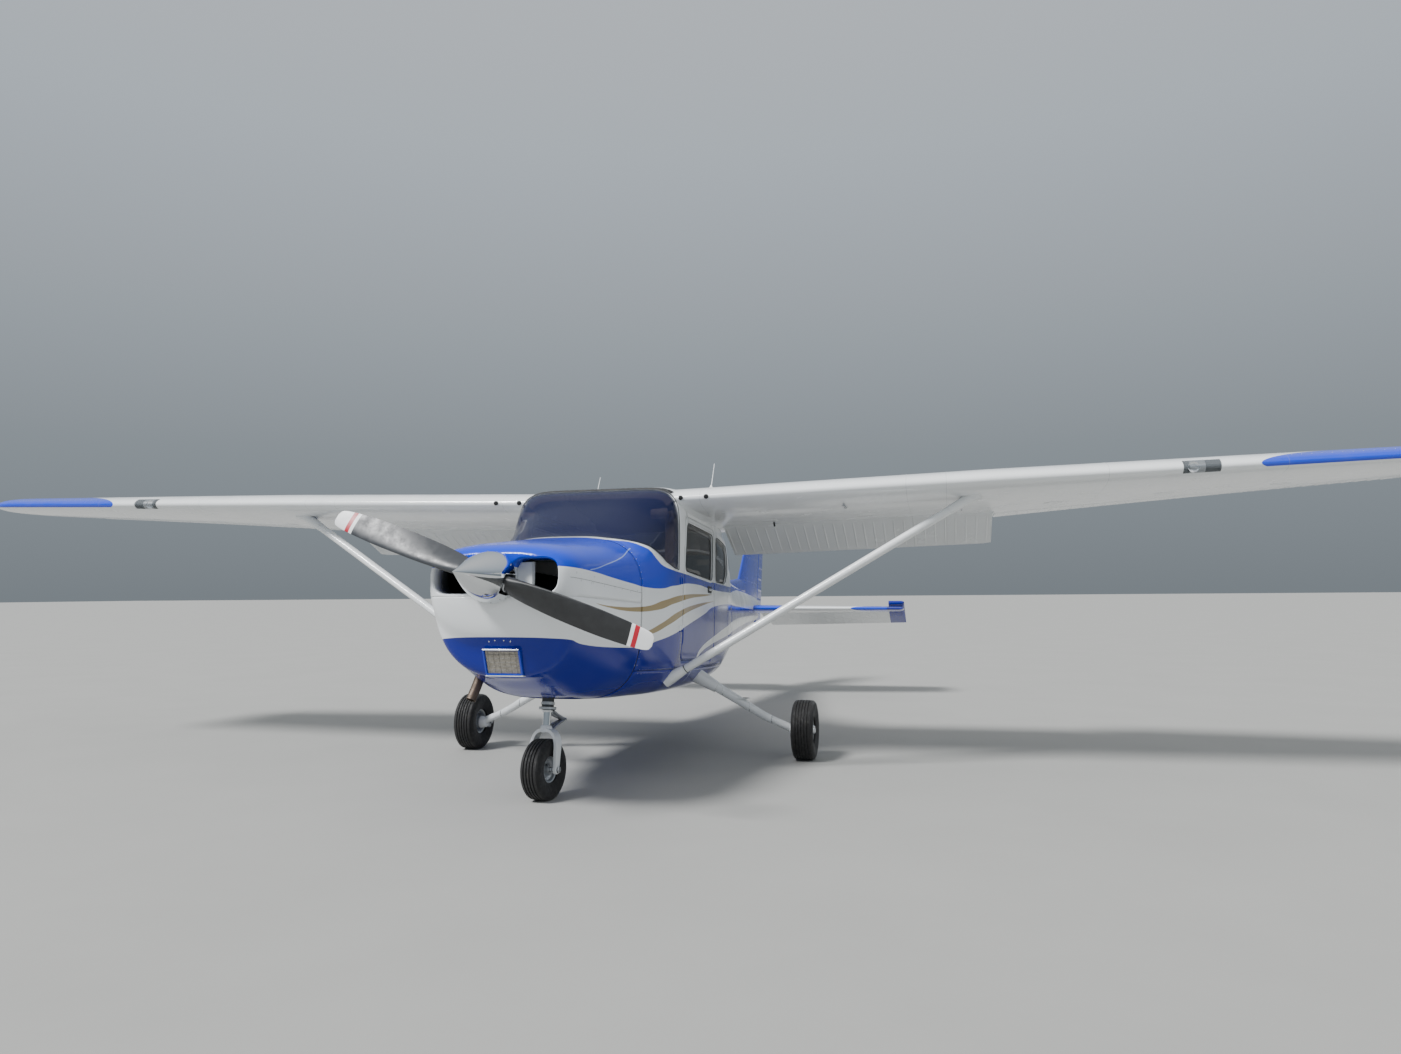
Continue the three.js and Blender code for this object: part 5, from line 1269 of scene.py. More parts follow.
def make_body_fittings():
    """Leaves of the door hinges, and drains and blade aerials under the belly."""
    hinges = []
    for z in (1.01, 1.33):
        spot = on_side([[1.905, z]])[0]
        hinges.append(block(spot + [-0.003, -0.035, -0.022], spot + [0.004, 0.004, 0.022], 0.002,
            0.004))
        hinges.append(tube([spot + [0.004, 0.006, -0.022], spot + [0.004, 0.006, 0], spot + [0.004,
            0.006, 0.022]], 0.0045, 12, Y))
    piece("door_hinge_leaves", hinges + [mirrored(h) for h in hinges], "livery", crease=35)
    drains = [lathe([[0, 0.012], [0.006, 0.01], [0.012, 0.004]],
        (x, s, float(section(array([s]))[2][0]) + 0.002), (0, 0, -1), 16, Y) for x,
        s in ((0.0, 1.75), (0.12, 2.9), (-0.12, 2.9))]
    blade = []
    for s0 in (4.35, 4.6):
        base = float(section(array([s0]))[2][0])
        blade.append(sweep([[0, s0, base + 0.01], [0, s0 + 0.02, base - 0.04], [0, s0 + 0.05,
            base - 0.085]], [[-0.004, -0.03], [0, -0.036], [0.004, -0.03], [0.005, 0.02],
            [0, 0.032], [-0.005, 0.02]], [1, 0.8, 0.5], X))
    piece("belly_fittings", drains + blade, "white", crease=35)


# Wings and tail

ROOT_CHORD, TIP_CHORD = 1.626, 1.118
BREAK_X, WING_END = 2.590, 5.283
WING_THICKNESS = 0.12
DIHEDRAL = math.tan(radians(1.73))
AILERON_SPAN = (2.682, 5.268)
AILERON_HINGE = 0.8
FLAP_SPAN = (0.626, 2.660)
FLAP_HINGE = 0.705
FLAP_LIFT = 0.024
FLAP_REST = radians(25)
ELEVATOR_REST = radians(23)
TAIL_HINGE, TAIL_HEIGHT, TAIL_SPAN = 7.330, 1.332, 1.840


def thickness_at(u):
    """Half thickness of a four-digit section for a thickness of one chord: a root of the
    chord fraction and its first four powers."""
    u = clip(u, 0, 1)
    return 5 * (0.2969 * sqrt(u) - 0.126 * u - 0.3516 * u ** 2 + 0.2843 * u ** 3 - 0.1015 * u ** 4)


def camber_at(u):
    """Mean line of two per cent at forty per cent chord: one parabola on each side."""
    return np.where(u < 0.4, 0.125 * (0.8 * u - u ** 2), (0.02 / 0.36) * (0.2 + 0.8 * u - u ** 2))


def foil_at(u, side):
    """Upper or lower skin of the wing's section, for +1 or -1, in chords."""
    return camber_at(u) + side * thickness_at(u) * WING_THICKNESS


def aileron_nose(chord):
    """Radius of the aileron's nose, just inside the wing's section."""
    return thickness_at(AILERON_HINGE) * WING_THICKNESS * chord - 0.0015


def wing_plan(x):
    """Chord, leading edge station, height and incidence at a span position."""
    t = maximum(0, (x - BREAK_X) / (WING_END - BREAK_X))
    return (ROOT_CHORD + (TIP_CHORD - ROOT_CHORD) * t, 1.868 + 0.112 * t,
        1.888 + (x - 0.56) * DIHEDRAL, radians(1.5 - 3.0 * t))


def wing_point(x, u, v):
    """A point of the port wing from the span position and chord fractions."""
    chord, lead, height, turn = wing_plan(x)
    aft = chord * (u * cos(turn) + v * sin(turn))
    up = chord * (v * cos(turn) - u * sin(turn))
    return stack(broadcast_arrays(x, lead + aft, height + up), -1)


def foil_loop(top_end, low_end, count=34):
    """Chord fractions from the upper end forward round the nose to the lower end, closely
    spaced at the nose, and +1 for the upper side or -1 for the lower one."""
    a = linspace(0, pi / 2, count)
    upper = asarray(top_end)[..., None] * (1 - sin(a)) if np.ndim(top_end) else (top_end * (1 -
        sin(a)))
    lower = asarray(low_end)[..., None] * (1 - cos(a)) if np.ndim(low_end) else (low_end * (1 -
        cos(a)))
    u = concatenate([upper, lower[..., 1:]], -1)
    side = concatenate([ones(count), -ones(count - 1)])
    return u, side


def wing_span(x0, x1, top_end, low_end, rows=12):
    """A closed length of wing between two span positions, its skins ending at a chord
    fraction above and below."""
    x = linspace(x0, x1, rows)
    u, side = foil_loop(top_end, low_end)
    return wing_point(x[:, None], u[None], foil_at(u, side)[None])


def tip_rows():
    """Wing tip: the end section, scaled, set back and thinned by smooth rows outwards."""
    table = array([[5.283, 1, 0, 1], [5.34, 0.985, 0.006, 0.96], [5.40, 0.955, 0.02, 0.90],
        [5.44, 0.91, 0.045, 0.80], [5.47, 0.84, 0.09, 0.66], [5.49, 0.74, 0.145, 0.46], [5.5, 0.64,
        0.20, 0.20]])
    x = 5.283 + 0.217 * sin(linspace(0, pi / 2, 26))
    scale, back, thick = pchip(x, table[:, 0], table[:, 1:]).T
    u, side = foil_loop(1.0, 1.0)
    v = foil_at(u, side)
    chord, lead, height, turn = wing_plan(WING_END)
    drop = (x - WING_END) * DIHEDRAL
    return stack([x[:, None] + 0 * u, lead + chord * (back[:, None] + u * scale[:, None]),
        height + drop[:, None] + chord * (v * thick[:, None] - u * sin(turn))], -1)


def make_wing(side, name):
    """One wing: root length fitted to the body, cove for the flap and aileron, end rib,
    bowed tip, rivet lines, lamp, vents, filler cap and tie-down ring."""
    spans = [(0.48, 0.619, 1.0, 1.0, 4), (0.619, 2.6665, 0.713, 0.678, 20), (2.6665, 2.6755, 1.0,
        1.0, 2), (5.2745, WING_END - 0.0005, 1.0, 1.0, 2)]
    shapes = []
    for k, (x0, x1, top, low, rows) in enumerate(spans):
        points = wing_span(x0, x1, top, low, rows)
        if k == 0:
            skin = half_width(points[0, :, 1], points[0, :, 2], 0.014)
            points[0, :, 0] = np.where(skin > 0.40, skin, 0.44)
        shapes.append(surface(points, True, True))
    x = linspace(2.6755, 5.2745, 24)
    chord = wing_plan(x)[0]
    nose = aileron_nose(chord)
    end = AILERON_HINGE - (nose + 0.008) / chord
    u, up = foil_loop(end, end)
    v = foil_at(u, up)
    shapes.append(surface(wing_point(x[:, None], u, v), True, True))
    piece(f"wing_skin_{name}", shapes, "wing", nodes=f"wing_{name}", side=side, merge=0, crease=45)
    piece(f"wing_tip_skin_{name}", surface(tip_rows(), True, True), "wing",
        nodes=f"wing_tip_{name}", slot="blue_paint", side=side, merge=0, crease=50)
    wing_rivets(side, name)
    wing_fittings(side, name)


def wing_spots(x, u, upper):
    """Places and normals on the wing's upper or lower skin."""
    sign = 1 if upper else -1

    def spot(x, u):
        return wing_point(x, u, foil_at(u, sign))

    here = spot(x, u)
    normal = cross(spot(x + 0.002, u) - here, spot(x, u + 0.002) - here)
    normal /= np.linalg.norm(normal, axis=-1, keepdims=True)
    return here, normal * np.where(normal[..., 2:] > 0, 1, -1) * sign


def wing_rivets(side, name):
    """Spar and rib rows of flush rivets, above and below."""
    places, normals = [], []
    for upper in (True, False):
        for u in (0.045, 0.27, 0.655):
            x = arange(0.70, 5.26, 0.055)
            spots = wing_spots(x, full_like(x, u), upper)
            places.append(spots[0])
            normals.append(spots[1])
        for x0 in SHEET_SEAMS:
            u = linspace(0.06, 0.65, 20)
            spots = wing_spots(full_like(u, x0), u, upper)
            places.append(spots[0])
            normals.append(spots[1])
    shape = studs(concatenate(places), concatenate(normals), 0.0024, 0.0007)
    points, faces = shape
    piece(f"wing_rivets_{name}", (points * [side, 1, 1], faces), "rivet", slot="white_paint",
        outward=False, merge=0)


def wing_fittings(side, name):
    """Filler cap, landing lamp, tip lamp, root vents, tie-down ring, inspection covers and,
    to port, the pitot tube and the tank's vent."""
    spot, normal = [a[0] for a in wing_spots(array([1.62]), array([0.30]), True)]
    cap = lathe([[-0.004, 0.048], [0.002, 0.048], [0.004, 0.044], [0.006, 0.03], [0.009, 0.012]],
        spot, normal, 32, X)
    lever = block(spot + [-0.02, -0.006, 0.006], spot + [0.02, 0.006, 0.012], 0.002, 0.005)
    piece(f"fuel_cap_{name}", [cap, lever], "steel", side=side, crease=30)
    covers = []
    for x in (1.05, 1.75, 3.05, 3.75, 4.45):
        spot, normal = [a[0] for a in wing_spots(array([x]), array([0.52]), False)]
        covers.append(lathe([[-0.002, 0.065], [0.0012, 0.065], [0.0018, 0.062]], spot, normal, 32,
            X))
    piece(f"inspection_covers_{name}", covers, "white", side=side, crease=30)
    spot, normal = [a[0] for a in wing_spots(array([2.43]), array([0.40]), False)]
    a = linspace(0, 2 * pi, 25)
    ring = spot + stack([0 * a, 0.014 * cos(a), -0.016 + 0.014 * sin(a)], 1)
    piece(f"tie_down_{name}", tube(ring, 0.0032, 8, X, False), "steel", side=side)
    lamp_x = linspace(3.72, 3.93, 13)
    u, up = foil_loop(0.032, 0.024, 14)
    v = foil_at(u, up)
    shell = wing_point(lamp_x[:, None], u, v)
    out = shell - wing_point(lamp_x[:, None], 0.10, camber_at(0.1))
    out /= np.linalg.norm(out, axis=-1, keepdims=True)
    piece(f"landing_lamp_well_{name}", surface(shell + 0.0007 * out), "seal", side=side,
        outward=False, merge=0)
    piece(f"landing_lamp_cover_{name}", surface(shell + 0.007 * out), "lens", side=side,
        thick=0.0012)
    _, lead, height, _ = wing_plan(3.82)
    bowl = lathe([[0.0, 0.004], [0.001, 0.022], [-0.004, 0.030], [-0.0045, 0.032], [0.010, 0.032]],
        (3.775, float(lead) + 0.001, float(height) - 0.004), (0, 1, 0.02), 32, X)
    piece(f"landing_lamps_{name}", bowl, "chrome", side=side, crease=40)
    part = slice(2, 8)
    piece(f"landing_lamp_tray_{name}", surface(shell[part] + 0.0022 * out[part]), "alloy",
        slot="polished_metal", side=side, outward=False, merge=0)
    lens_at = tip_rows()[14, 33] + [0.0, -0.004, 0.0]
    lens = lathe([[-0.01, 0.018], [0.012, 0.017], [0.026, 0.011], [0.032, 0.002]], lens_at,
        (0.75, -0.66, 0), 24, Z)
    piece(f"tip_lamp_{name}", lens, "red_lens" if side > 0 else "green_lens", slot="window",
        side=side, crease=40)
    base = lathe([[-0.022, 0.021], [-0.006, 0.022], [0.0, 0.019]], lens_at, (0.75, -0.66, 0), 24,
        Z)
    piece(f"tip_lamp_base_{name}", base, "white", side=side)
    vent = [lathe([[-0.014, 0.015], [0.0, 0.016], [0.001, 0.014], [0.001, 0.0006]], (x, 1.860, z),
        (0, -1, -0.2), 28, X) for x, z in ((0.590, 1.888), (0.767, 1.892))]
    piece(f"root_vent_{name}", vent, "black", slot="window", side=side, crease=30)
    if side > 0:
        tube_path = smooth_path([[1.661, 2.26, 1.89], [1.661, 2.25, 1.852], [1.661, 2.20, 1.834],
            [1.661, 2.06, 1.834]], 18)
        piece("pitot_tube", tube(tube_path, interp(arange(18), [0, 8, 17], [0.011, 0.008, 0.006]),
            14, X), "alloy", crease=50)
        drain, down = [a[0] for a in wing_spots(array([1.06]), array([0.60]), False)]
        piece("tank_vent", tube([drain - 0.004 * down, drain + 0.016 * down,
            drain + 0.028 * down + [0, 0.012, 0]], 0.007, 12, X), "black")


def ridges(x, u0, u1, u, pitch=None, width=0.014):
    """Pressed chordwise beads: a squared cosine across each, faded in and out along the
    chord."""
    pitch = pitch or size("bead_pitch")
    off = abs((x / pitch) % 1 - 0.5) * pitch
    across = np.where(off < width / 2, cos(pi * off / width) ** 2, 0)
    share = clip((u - u0) / (u1 - u0), 0, 1)
    fade = clip(minimum(share, 1 - share) / 0.10, 0, 1)
    return size("bead") * across * fade * fade * (3 - 2 * fade)


def turned(points, hinge, angle):
    """Points turned trailing edge down by an angle about a spanwise hinge, whose station
    and height are given for each row."""
    c, s = cos(angle), sin(angle)
    ds, dz = points[..., 1] - hinge[..., 1], points[..., 2] - hinge[..., 2]
    return stack([points[..., 0], hinge[..., 1] + ds * c + dz * s,
                  hinge[..., 2] - ds * s + dz * c], -1)


def make_aileron(side, name):
    """An aileron: round nose on its hinge line, beaded skins and hinge pins."""
    x = arange(AILERON_SPAN[0], AILERON_SPAN[1], 0.0038)
    chord = wing_plan(x)[0]
    radius = aileron_nose(chord)
    share = linspace(1, 0, 16)
    u = AILERON_HINGE + (1 - AILERON_HINGE) * share
    fold = linspace(0, pi, 13)[1:-1]
    rows = []
    for sign in (1, -1):
        v = foil_at(u, sign)
        points = wing_point(x[:, None], u, v)
        points[..., 2] += sign * ridges(x[:, None], 0.815, 0.985, u[None])
        rows.append(points)
    hinge = wing_point(x[:, None], array([AILERON_HINGE]), camber_at(array([AILERON_HINGE])))
    nose = hinge + radius[:, None, None] * stack([0 * fold, -sin(fold), cos(fold)], -1)[None]
    loop = concatenate([rows[0], nose, rows[1][:, ::-1]], 1)
    shape = surface(loop, True, True)
    piece(f"aileron_skin_{name}", shape, "wing", f"{name}_aileron", f"aileron_{name}", side=side,
        merge=0, crease=45)
    pins = [tube([wing_point(a, AILERON_HINGE, camber_at(AILERON_HINGE)), wing_point((a + b) / 2,
        AILERON_HINGE, camber_at(AILERON_HINGE)), wing_point(b, AILERON_HINGE,
        camber_at(AILERON_HINGE))], 0.006, 10, Y) for a, b in ((2.677, 2.69), (5.26, 5.273))]
    piece(f"aileron_pins_{name}", pins, "steel", f"{name}_aileron", side=side)


def make_flap(side, name):
    """A slotted flap, lowered as it stands parked: a blunt nose below the wing's skin,
    beaded skins and its hinge pins."""
    x = arange(FLAP_SPAN[0], FLAP_SPAN[1], 0.0038)
    chord = wing_plan(x)[0][:, None]
    lift = foil_at(FLAP_HINGE, -1) + FLAP_LIFT / chord
    hinge = wing_point(x[:, None], FLAP_HINGE + 0 * lift, lift)
    share = linspace(1, 0, 18)
    top_u, low_u = 0.731, 0.708
    u = top_u + (1 - top_u) * share
    top = wing_point(x[:, None], u, foil_at(u, 1))
    top[..., 2] += ridges(x[:, None], 0.76, 0.985, u[None])
    w = low_u + (1 - low_u) * share[::-1]
    low = wing_point(x[:, None], w, foil_at(w, -1))
    low[..., 2] -= ridges(x[:, None], 0.735, 0.985, w[None])
    t = linspace(0, 1, 14)[1:-1, None]
    start, end = top[:, -1:, :], low[:, :1, :]
    one = hinge + [0, -0.020, 0.055]
    two = hinge + [0, -0.036, -0.016]
    nose = ((1 - t) ** 3 * start + 3 * t * (1 - t) ** 2 * one + 3 * t ** 2 * (1 - t) * two + t ** 3
        * end)
    loop = turned(concatenate([top, nose, low], 1), hinge, FLAP_REST)
    shape = surface(loop, True, True)
    piece(f"flap_skin_{name}", shape, "wing", f"{name}_flap", f"flap_{name}", side=side, merge=0,
        crease=45)
    arms = []
    for k in (0, -1):
        middle = hinge[k, 0]
        arms.append(tube([middle + [(-0.004 if k == 0 else 0.004), 0, 0], middle,
            middle + [(0.02 if k == 0 else -0.02), 0, 0]], 0.008, 12, Y))
    piece(f"flap_pins_{name}", arms, "steel", f"{name}_flap", side=side)


STRUT_LOW, STRUT_HIGH = array([0.490, 1.850, 0.658]), array([2.540, 2.140, 1.905])


def strut_rows(t, grow=1.0, chord=0.116, thick=0.054):
    """Strut sections at shares of its length: a symmetric foil tilted square to it."""
    t, grow = broadcast_arrays(asarray(t, float), asarray(grow, float))
    u, up = foil_loop(1.0, 1.0, 18)
    v = up * thickness_at(u) * thick / chord
    centre = STRUT_LOW + (STRUT_HIGH - STRUT_LOW) * t[:, None]
    size = (grow * chord)[:, None]
    return centre[:, None] + stack([-0.52 * v * size, (u - 0.4) * size, 0.855 * v * size], -1)


def make_strut(side, name):
    """A wing strut with a teardrop cuff at the body and a fairing under the wing."""
    bar = surface(strut_rows(linspace(0.005, 0.995, 30)), True, True)
    t = linspace(0, 1, 14)
    lower = surface(strut_rows(0.006 + 0.064 * t, 1.62 - 0.57 * t ** 1.5), True, True)
    upper = surface(strut_rows(0.905 + 0.090 * t, 1.06 + 0.20 * t + 0.62 * t ** 5), True, True)
    shapes = [bar, lower, upper]
    piece(f"strut_fairing_{name}", shapes, "white", nodes=f"wing_strut_{name}", side=side, merge=0,
        crease=45)
    cuff = surface(strut_rows([0.0705, 0.0725], [1.08, 1.08]), True, True)
    piece(f"strut_cuff_seal_{name}", cuff, "seal", slot="bare_metal", side=side, merge=0)


FIN_ROOT, FIN_TOP = 1.440, 2.640
RUDDER_LOW = 1.190
RUDDER_NOSE = 0.024


def fin_plan(z):
    """Leading edge, hinge and trailing edge stations and the thickness at a height."""
    t = (z - FIN_ROOT) / (FIN_TOP - FIN_ROOT)
    h = (z - RUDDER_LOW) / (FIN_TOP - RUDDER_LOW)
    return (6.330 + 1.145 * t, 7.502 + 0.333 * h, 7.885 + 0.295 * h, 0.092 - 0.044 * t)


def make_fin():
    """Fin with a rounded top, its rivets, and the beacon above it."""
    rise = concatenate([linspace(FIN_ROOT, 2.60, 40), 2.60 + 0.04 * sin(linspace(0.15, pi / 2,
        9))])
    round_off = np.where(rise > 2.60, sqrt(clip(1 - ((rise - 2.60) / 0.0402) ** 2, 0, 1)), 1)
    lead, hinge, tail, thick = [a[:, None] for a in fin_plan(rise)]
    chord = tail - lead
    end = (hinge - RUDDER_NOSE - 0.006 - lead) / chord
    u, up = foil_loop(end[:, 0], end[:, 0], 26)
    half = thickness_at(u) * thick * round_off[:, None]
    front = lead + (1 - round_off[:, None]) * 0.03
    points = stack([up * half, front + u * chord * (hinge - 0.03 - front) / (hinge - 0.03 - lead),
        rise[:, None] + 0 * u], -1)
    piece("fin_skin", surface(points, True, True), "blue", nodes="fin", merge=0, crease=45)
    rows = []
    for z in (1.66, 1.95, 2.24, 2.52):
        lead, hinge, tail, thick = fin_plan(z)
        s = arange(lead + 0.09, hinge - 0.05, 0.045)
        u = (s - lead) / (tail - lead)
        rows.append((stack([thickness_at(u) * thick, s, 0 * s + z], 1), tile([1.0, 0, 0],
            (len(s), 1))))
    z = arange(1.56, 2.6, 0.045)
    lead, hinge, tail, thick = fin_plan(z)
    s = hinge - 0.055
    rows.append((stack([thickness_at((s - lead) / (tail - lead)) * thick, s, z], 1),
        tile([1.0, 0, 0], (len(z), 1))))
    rivets("fin_rivets", rows, "blue_paint")
    base = lathe([[-0.012, 0.036], [0.018, 0.036], [0.022, 0.033]], (0, 7.6, 2.636), Z, 32, X)
    piece("beacon_base", base, "alloy", crease=35)
    lens = lathe([[0.020, 0.031], [0.045, 0.030], [0.066, 0.026], [0.079, 0.016], [0.084, 0.003]],
        (0, 7.6, 2.636), Z, 32, X)
    piece("beacon_lens", lens, "beacon_lens", crease=40)


def make_rudder():
    """Rudder: round nose at the hinge, level pressed beads and hinge arms."""
    z = arange(RUDDER_LOW, FIN_TOP + 0.001, 0.0115)
    lead, hinge, tail, thick = [a[:, None] for a in fin_plan(z)]
    chord = tail - lead
    nose = RUDDER_NOSE - 0.006 * (z[:, None] - RUDDER_LOW) / (FIN_TOP - RUDDER_LOW)
    share = linspace(1, 0, 22)[None]
    first = (hinge - lead) / chord
    u = first + (1 - first) * share
    off = sin(linspace(0, pi, 12))[None, 1:-1]
    fold = cos(linspace(0, pi, 12))[None, 1:-1]
    bead = ridges(z[:, None], 0.02, 0.93, 1 - share, 0.14, 0.028)
    half = thickness_at(u) * thick + bead
    start = half[:, -1:]
    port = stack([half, lead + u * chord, z[:, None] + 0 * u], -1)
    arc = stack([start * fold, hinge - nose * off, z[:, None] + 0 * fold], -1)
    loop = concatenate([port, arc, port[:, ::-1] * [-1, 1, 1]], 1)
    piece("rudder_skin", surface(loop, True, True), "blue", "rudder_body", "rudder", merge=0,
        crease=45)
    arms = []
    for at in (1.56, 2.10):
        h = float(fin_plan(at)[1])
        arms.append(block((-0.009, h - 0.035, at - 0.009), (0.009, h - 0.01, at + 0.009), 0.002,
            0.004))
    piece("rudder_hinge_arms", arms, "steel", "rudder_body")


def tail_plan(x):
    """Leading and trailing edge stations and thickness of the tailplane at a span
    position."""
    t = abs(x) / TAIL_SPAN
    return 6.635 + 0.275 * t, 7.772 - 0.082 * t, 0.098 - 0.042 * t


def tail_length(x0, x1, end_station, rows=20):
    """A closed length of tailplane whose skins end at one station, rounded off at the
    outer tip."""
    x = linspace(x0, x1, rows)
    lead, tail, thick = [a[:, None] for a in tail_plan(x)]
    end = ((end_station - lead) / (tail - lead))[:, 0]
    u, up = foil_loop(end, end, 24)
    half = thickness_at(u) * thick
    return stack([x[:, None] + 0 * u, lead + u * (tail - lead), TAIL_HEIGHT + up * half], -1)


def tail_spots(x, u, up):
    """Places and normals on the tailplane's upper or lower skin."""
    lead, tail, thick = tail_plan(x)
    spots = stack(broadcast_arrays(x, lead + u * (tail - lead), TAIL_HEIGHT + up * thickness_at(u)
        * thick), 1)
    return spots, tile([0, 0, float(up)], (len(spots), 1))


def make_tailplane():
    """Tailplane with a notch for each elevator horn, and its rivet rows."""
    inner = tail_length(-1.652, 1.652, TAIL_HINGE - 0.036, 40)
    shapes = [surface(inner, True, True)]
    outer = tail_length(1.652, TAIL_SPAN, 7.104, 10)
    middle = outer.mean(1, keepdims=True)
    shrink = sqrt(clip(1 - ((outer[:, :1, 0:1] - 1.80) / 0.0405).clip(0) ** 2, 0.02, 1))
    outer = concatenate([outer[..., :1], outer[..., 1:2], middle[..., 2:] + (outer[...,
        2:] - middle[..., 2:]) * shrink], -1)
    shapes += [surface(outer, True, True), mirrored(surface(outer, True, True))]
    piece("tailplane_skin", shapes, "tail", nodes="tailplane", merge=0, crease=45)
    rows = []
    for up in (1, -1):
        for share in (0.06, 0.30, 0.53):
            rows.append(tail_spots(arange(0.22, 1.64, 0.05), share, up))
        for x in arange(0.40, 1.6, 0.30):
            rows.append(tail_spots(x, linspace(0.08, 0.53, 11), up))
    rivets("tailplane_rivets", rows)


def make_elevator():
    """Elevator, drooped as it stands parked: beaded skins with slanted inner ends, a
    round nose, the tube that joins its halves, and horns."""
    hinge = array([[0, TAIL_HINGE, TAIL_HEIGHT]])
    t = linspace(0, 1, 150)[:, None]
    share = linspace(1, 0, 24)[None]
    halves = []
    for sign in (1, -1):
        x0 = 0.112 + 0.2 * 0.42 * share
        x = x0 + (TAIL_SPAN - x0) * t
        lead, tail, thick = tail_plan(x)
        first = (TAIL_HINGE - lead) / (tail - lead)
        u = first + (1 - first) * share
        bead = ridges(x, 0.0, 1.0, 1 - share, 0.105)
        edge = sqrt(clip(1 - ((x - 1.80) / 0.0405).clip(0) ** 2, 0.02, 1))
        half = (thickness_at(u) * thick + bead) * edge
        halves.append(stack([x, lead + u * (tail - lead), TAIL_HEIGHT + sign * half], -1))
    fold = linspace(0, pi, 14)[1:-1][None]
    rise = halves[0][:, -1:, 2] - TAIL_HEIGHT
    nose = stack([halves[0][:, -1:, 0] + 0 * fold, TAIL_HINGE - 0.026 * sin(fold) + 0 * rise,
        TAIL_HEIGHT + rise * cos(fold)], -1)
    loop = concatenate([halves[0], nose, halves[1][:, ::-1]], 1)
    shapes = [surface(turned(loop, hinge, ELEVATOR_REST), True, True)]
    x = concatenate([linspace(1.661, 1.80, 8), 1.80 + 0.04 * sin(linspace(0.2, pi / 2, 8))])
    lead, tail, thick = [a[:, None] for a in tail_plan(x)]
    edge = sqrt(clip(1 - ((x - 1.80) / 0.0402).clip(0) ** 2, 0.02, 1))[:, None]
    a = linspace(0, pi / 2, 10)[None]
    s = concatenate([7.114 + 0.25 * (1 - sin(a)), 7.114 + 0.25 * (1 - cos(a[:, 1:]))], 1)
    up = concatenate([ones(10), -ones(9)])
    u = (s - lead) / (tail - lead)
    blunt = clip((s - 7.114) / 0.045, 0, 1)
    half = thickness_at(u) * thick * edge * sqrt(1 - (1 - blunt) ** 2)
    horn = stack([x[:, None] + 0 * s, s + 0 * half, TAIL_HEIGHT + up * half], -1)
    shapes.append(surface(turned(horn, hinge, ELEVATOR_REST), True, True))
    shapes += [mirrored(s) for s in shapes]
    piece("elevator_skin", shapes, "tail", "elevator_body", "elevator", merge=0, crease=45)
    rod = tube([[-0.30, TAIL_HINGE, TAIL_HEIGHT], [0, TAIL_HINGE, TAIL_HEIGHT], [0.30, TAIL_HINGE,
        TAIL_HEIGHT]], 0.0205, 20, Y)
    piece("elevator_tube", rod, "alloy", "elevator_body")


def make_antennas():
    """Two whip aerials on the roof."""
    whips, length = [], size("aerial")
    for base in (array([0.72, 2.20, 1.998]), array([-0.30, 2.62, 2.008])):
        path = smooth_path([base, base + array([0, 0.25, 0.5]) * length, base + array([0, 0.5,
            1]) * length], 14)
        whips.append(tube(path, linspace(0.0032, 0.0020, 14), 8, X))
        whips.append(lathe([[-0.012, 0.02], [0.004, 0.019], [0.016, 0.009], [0.03, 0.005]], base,
            (0, 0.3, 1), 20, X))
    piece("roof_aerials", whips, "white", slot="bare_metal")


# Undercarriage, propeller and spinner

MAIN_AXLE = 0.2979
NOSE_AXLE = 0.17482
MAIN_X, MAIN_STATION, NOSE_WHEEL_STATION = 1.304, 2.699, 1.034
RAKE = radians(6)
STEER_REST = radians(-8)
HUB_STATION, PROP_RADIUS = 0.225, 0.965
PROP_TURN = radians(20)


def wheel_rows(radius, width, rim, grooves):
    """Tyre profile as (across, radius): round shoulders, a nearly flat tread with square
    grooves, sidewalls that pull in to the rim's bead."""
    half = width / 2
    side = [[-half * 0.60, rim + 0.001], [-half * 0.80, rim + 0.006], [-half * 0.95,
        radius * 0.66], [-half * 0.995, radius * 0.78], [-half * 0.985, radius * 0.85],
        [-half * 0.93, radius * 0.92], [-half * 0.84, radius * 0.962]]
    tread = []
    edge = half * 0.78
    for k in range(grooves):
        middle = edge * (2 * (k + 0.5) / grooves - 1) * 0.82
        w = 0.0032
        for d, deep in ((-w - 0.001, 0), (-w, 1), (w, 1), (w + 0.001, 0)):
            tread.append([middle + d, deep])
    rows = [[a, radius * (1 - 0.022 * (abs(a) / half) ** 2.5) - (0.007 if deep else 0)] for a,
        deep in tread]
    return side + [[-edge, radius * 0.982]] + rows + [[edge, radius * 0.982]] + [[-a, r] for a,
        r in side[::-1]]


LEG_PATH = array([[0.430, 2.656, 0.728, 0.040], [0.560, 2.660, 0.656, 0.038], [0.720, 2.670, 0.562,
    0.034], [0.880, 2.680, 0.470, 0.031], [1.030, 2.690, 0.386, 0.028], [1.215, 2.699, 0.308,
    0.027]])


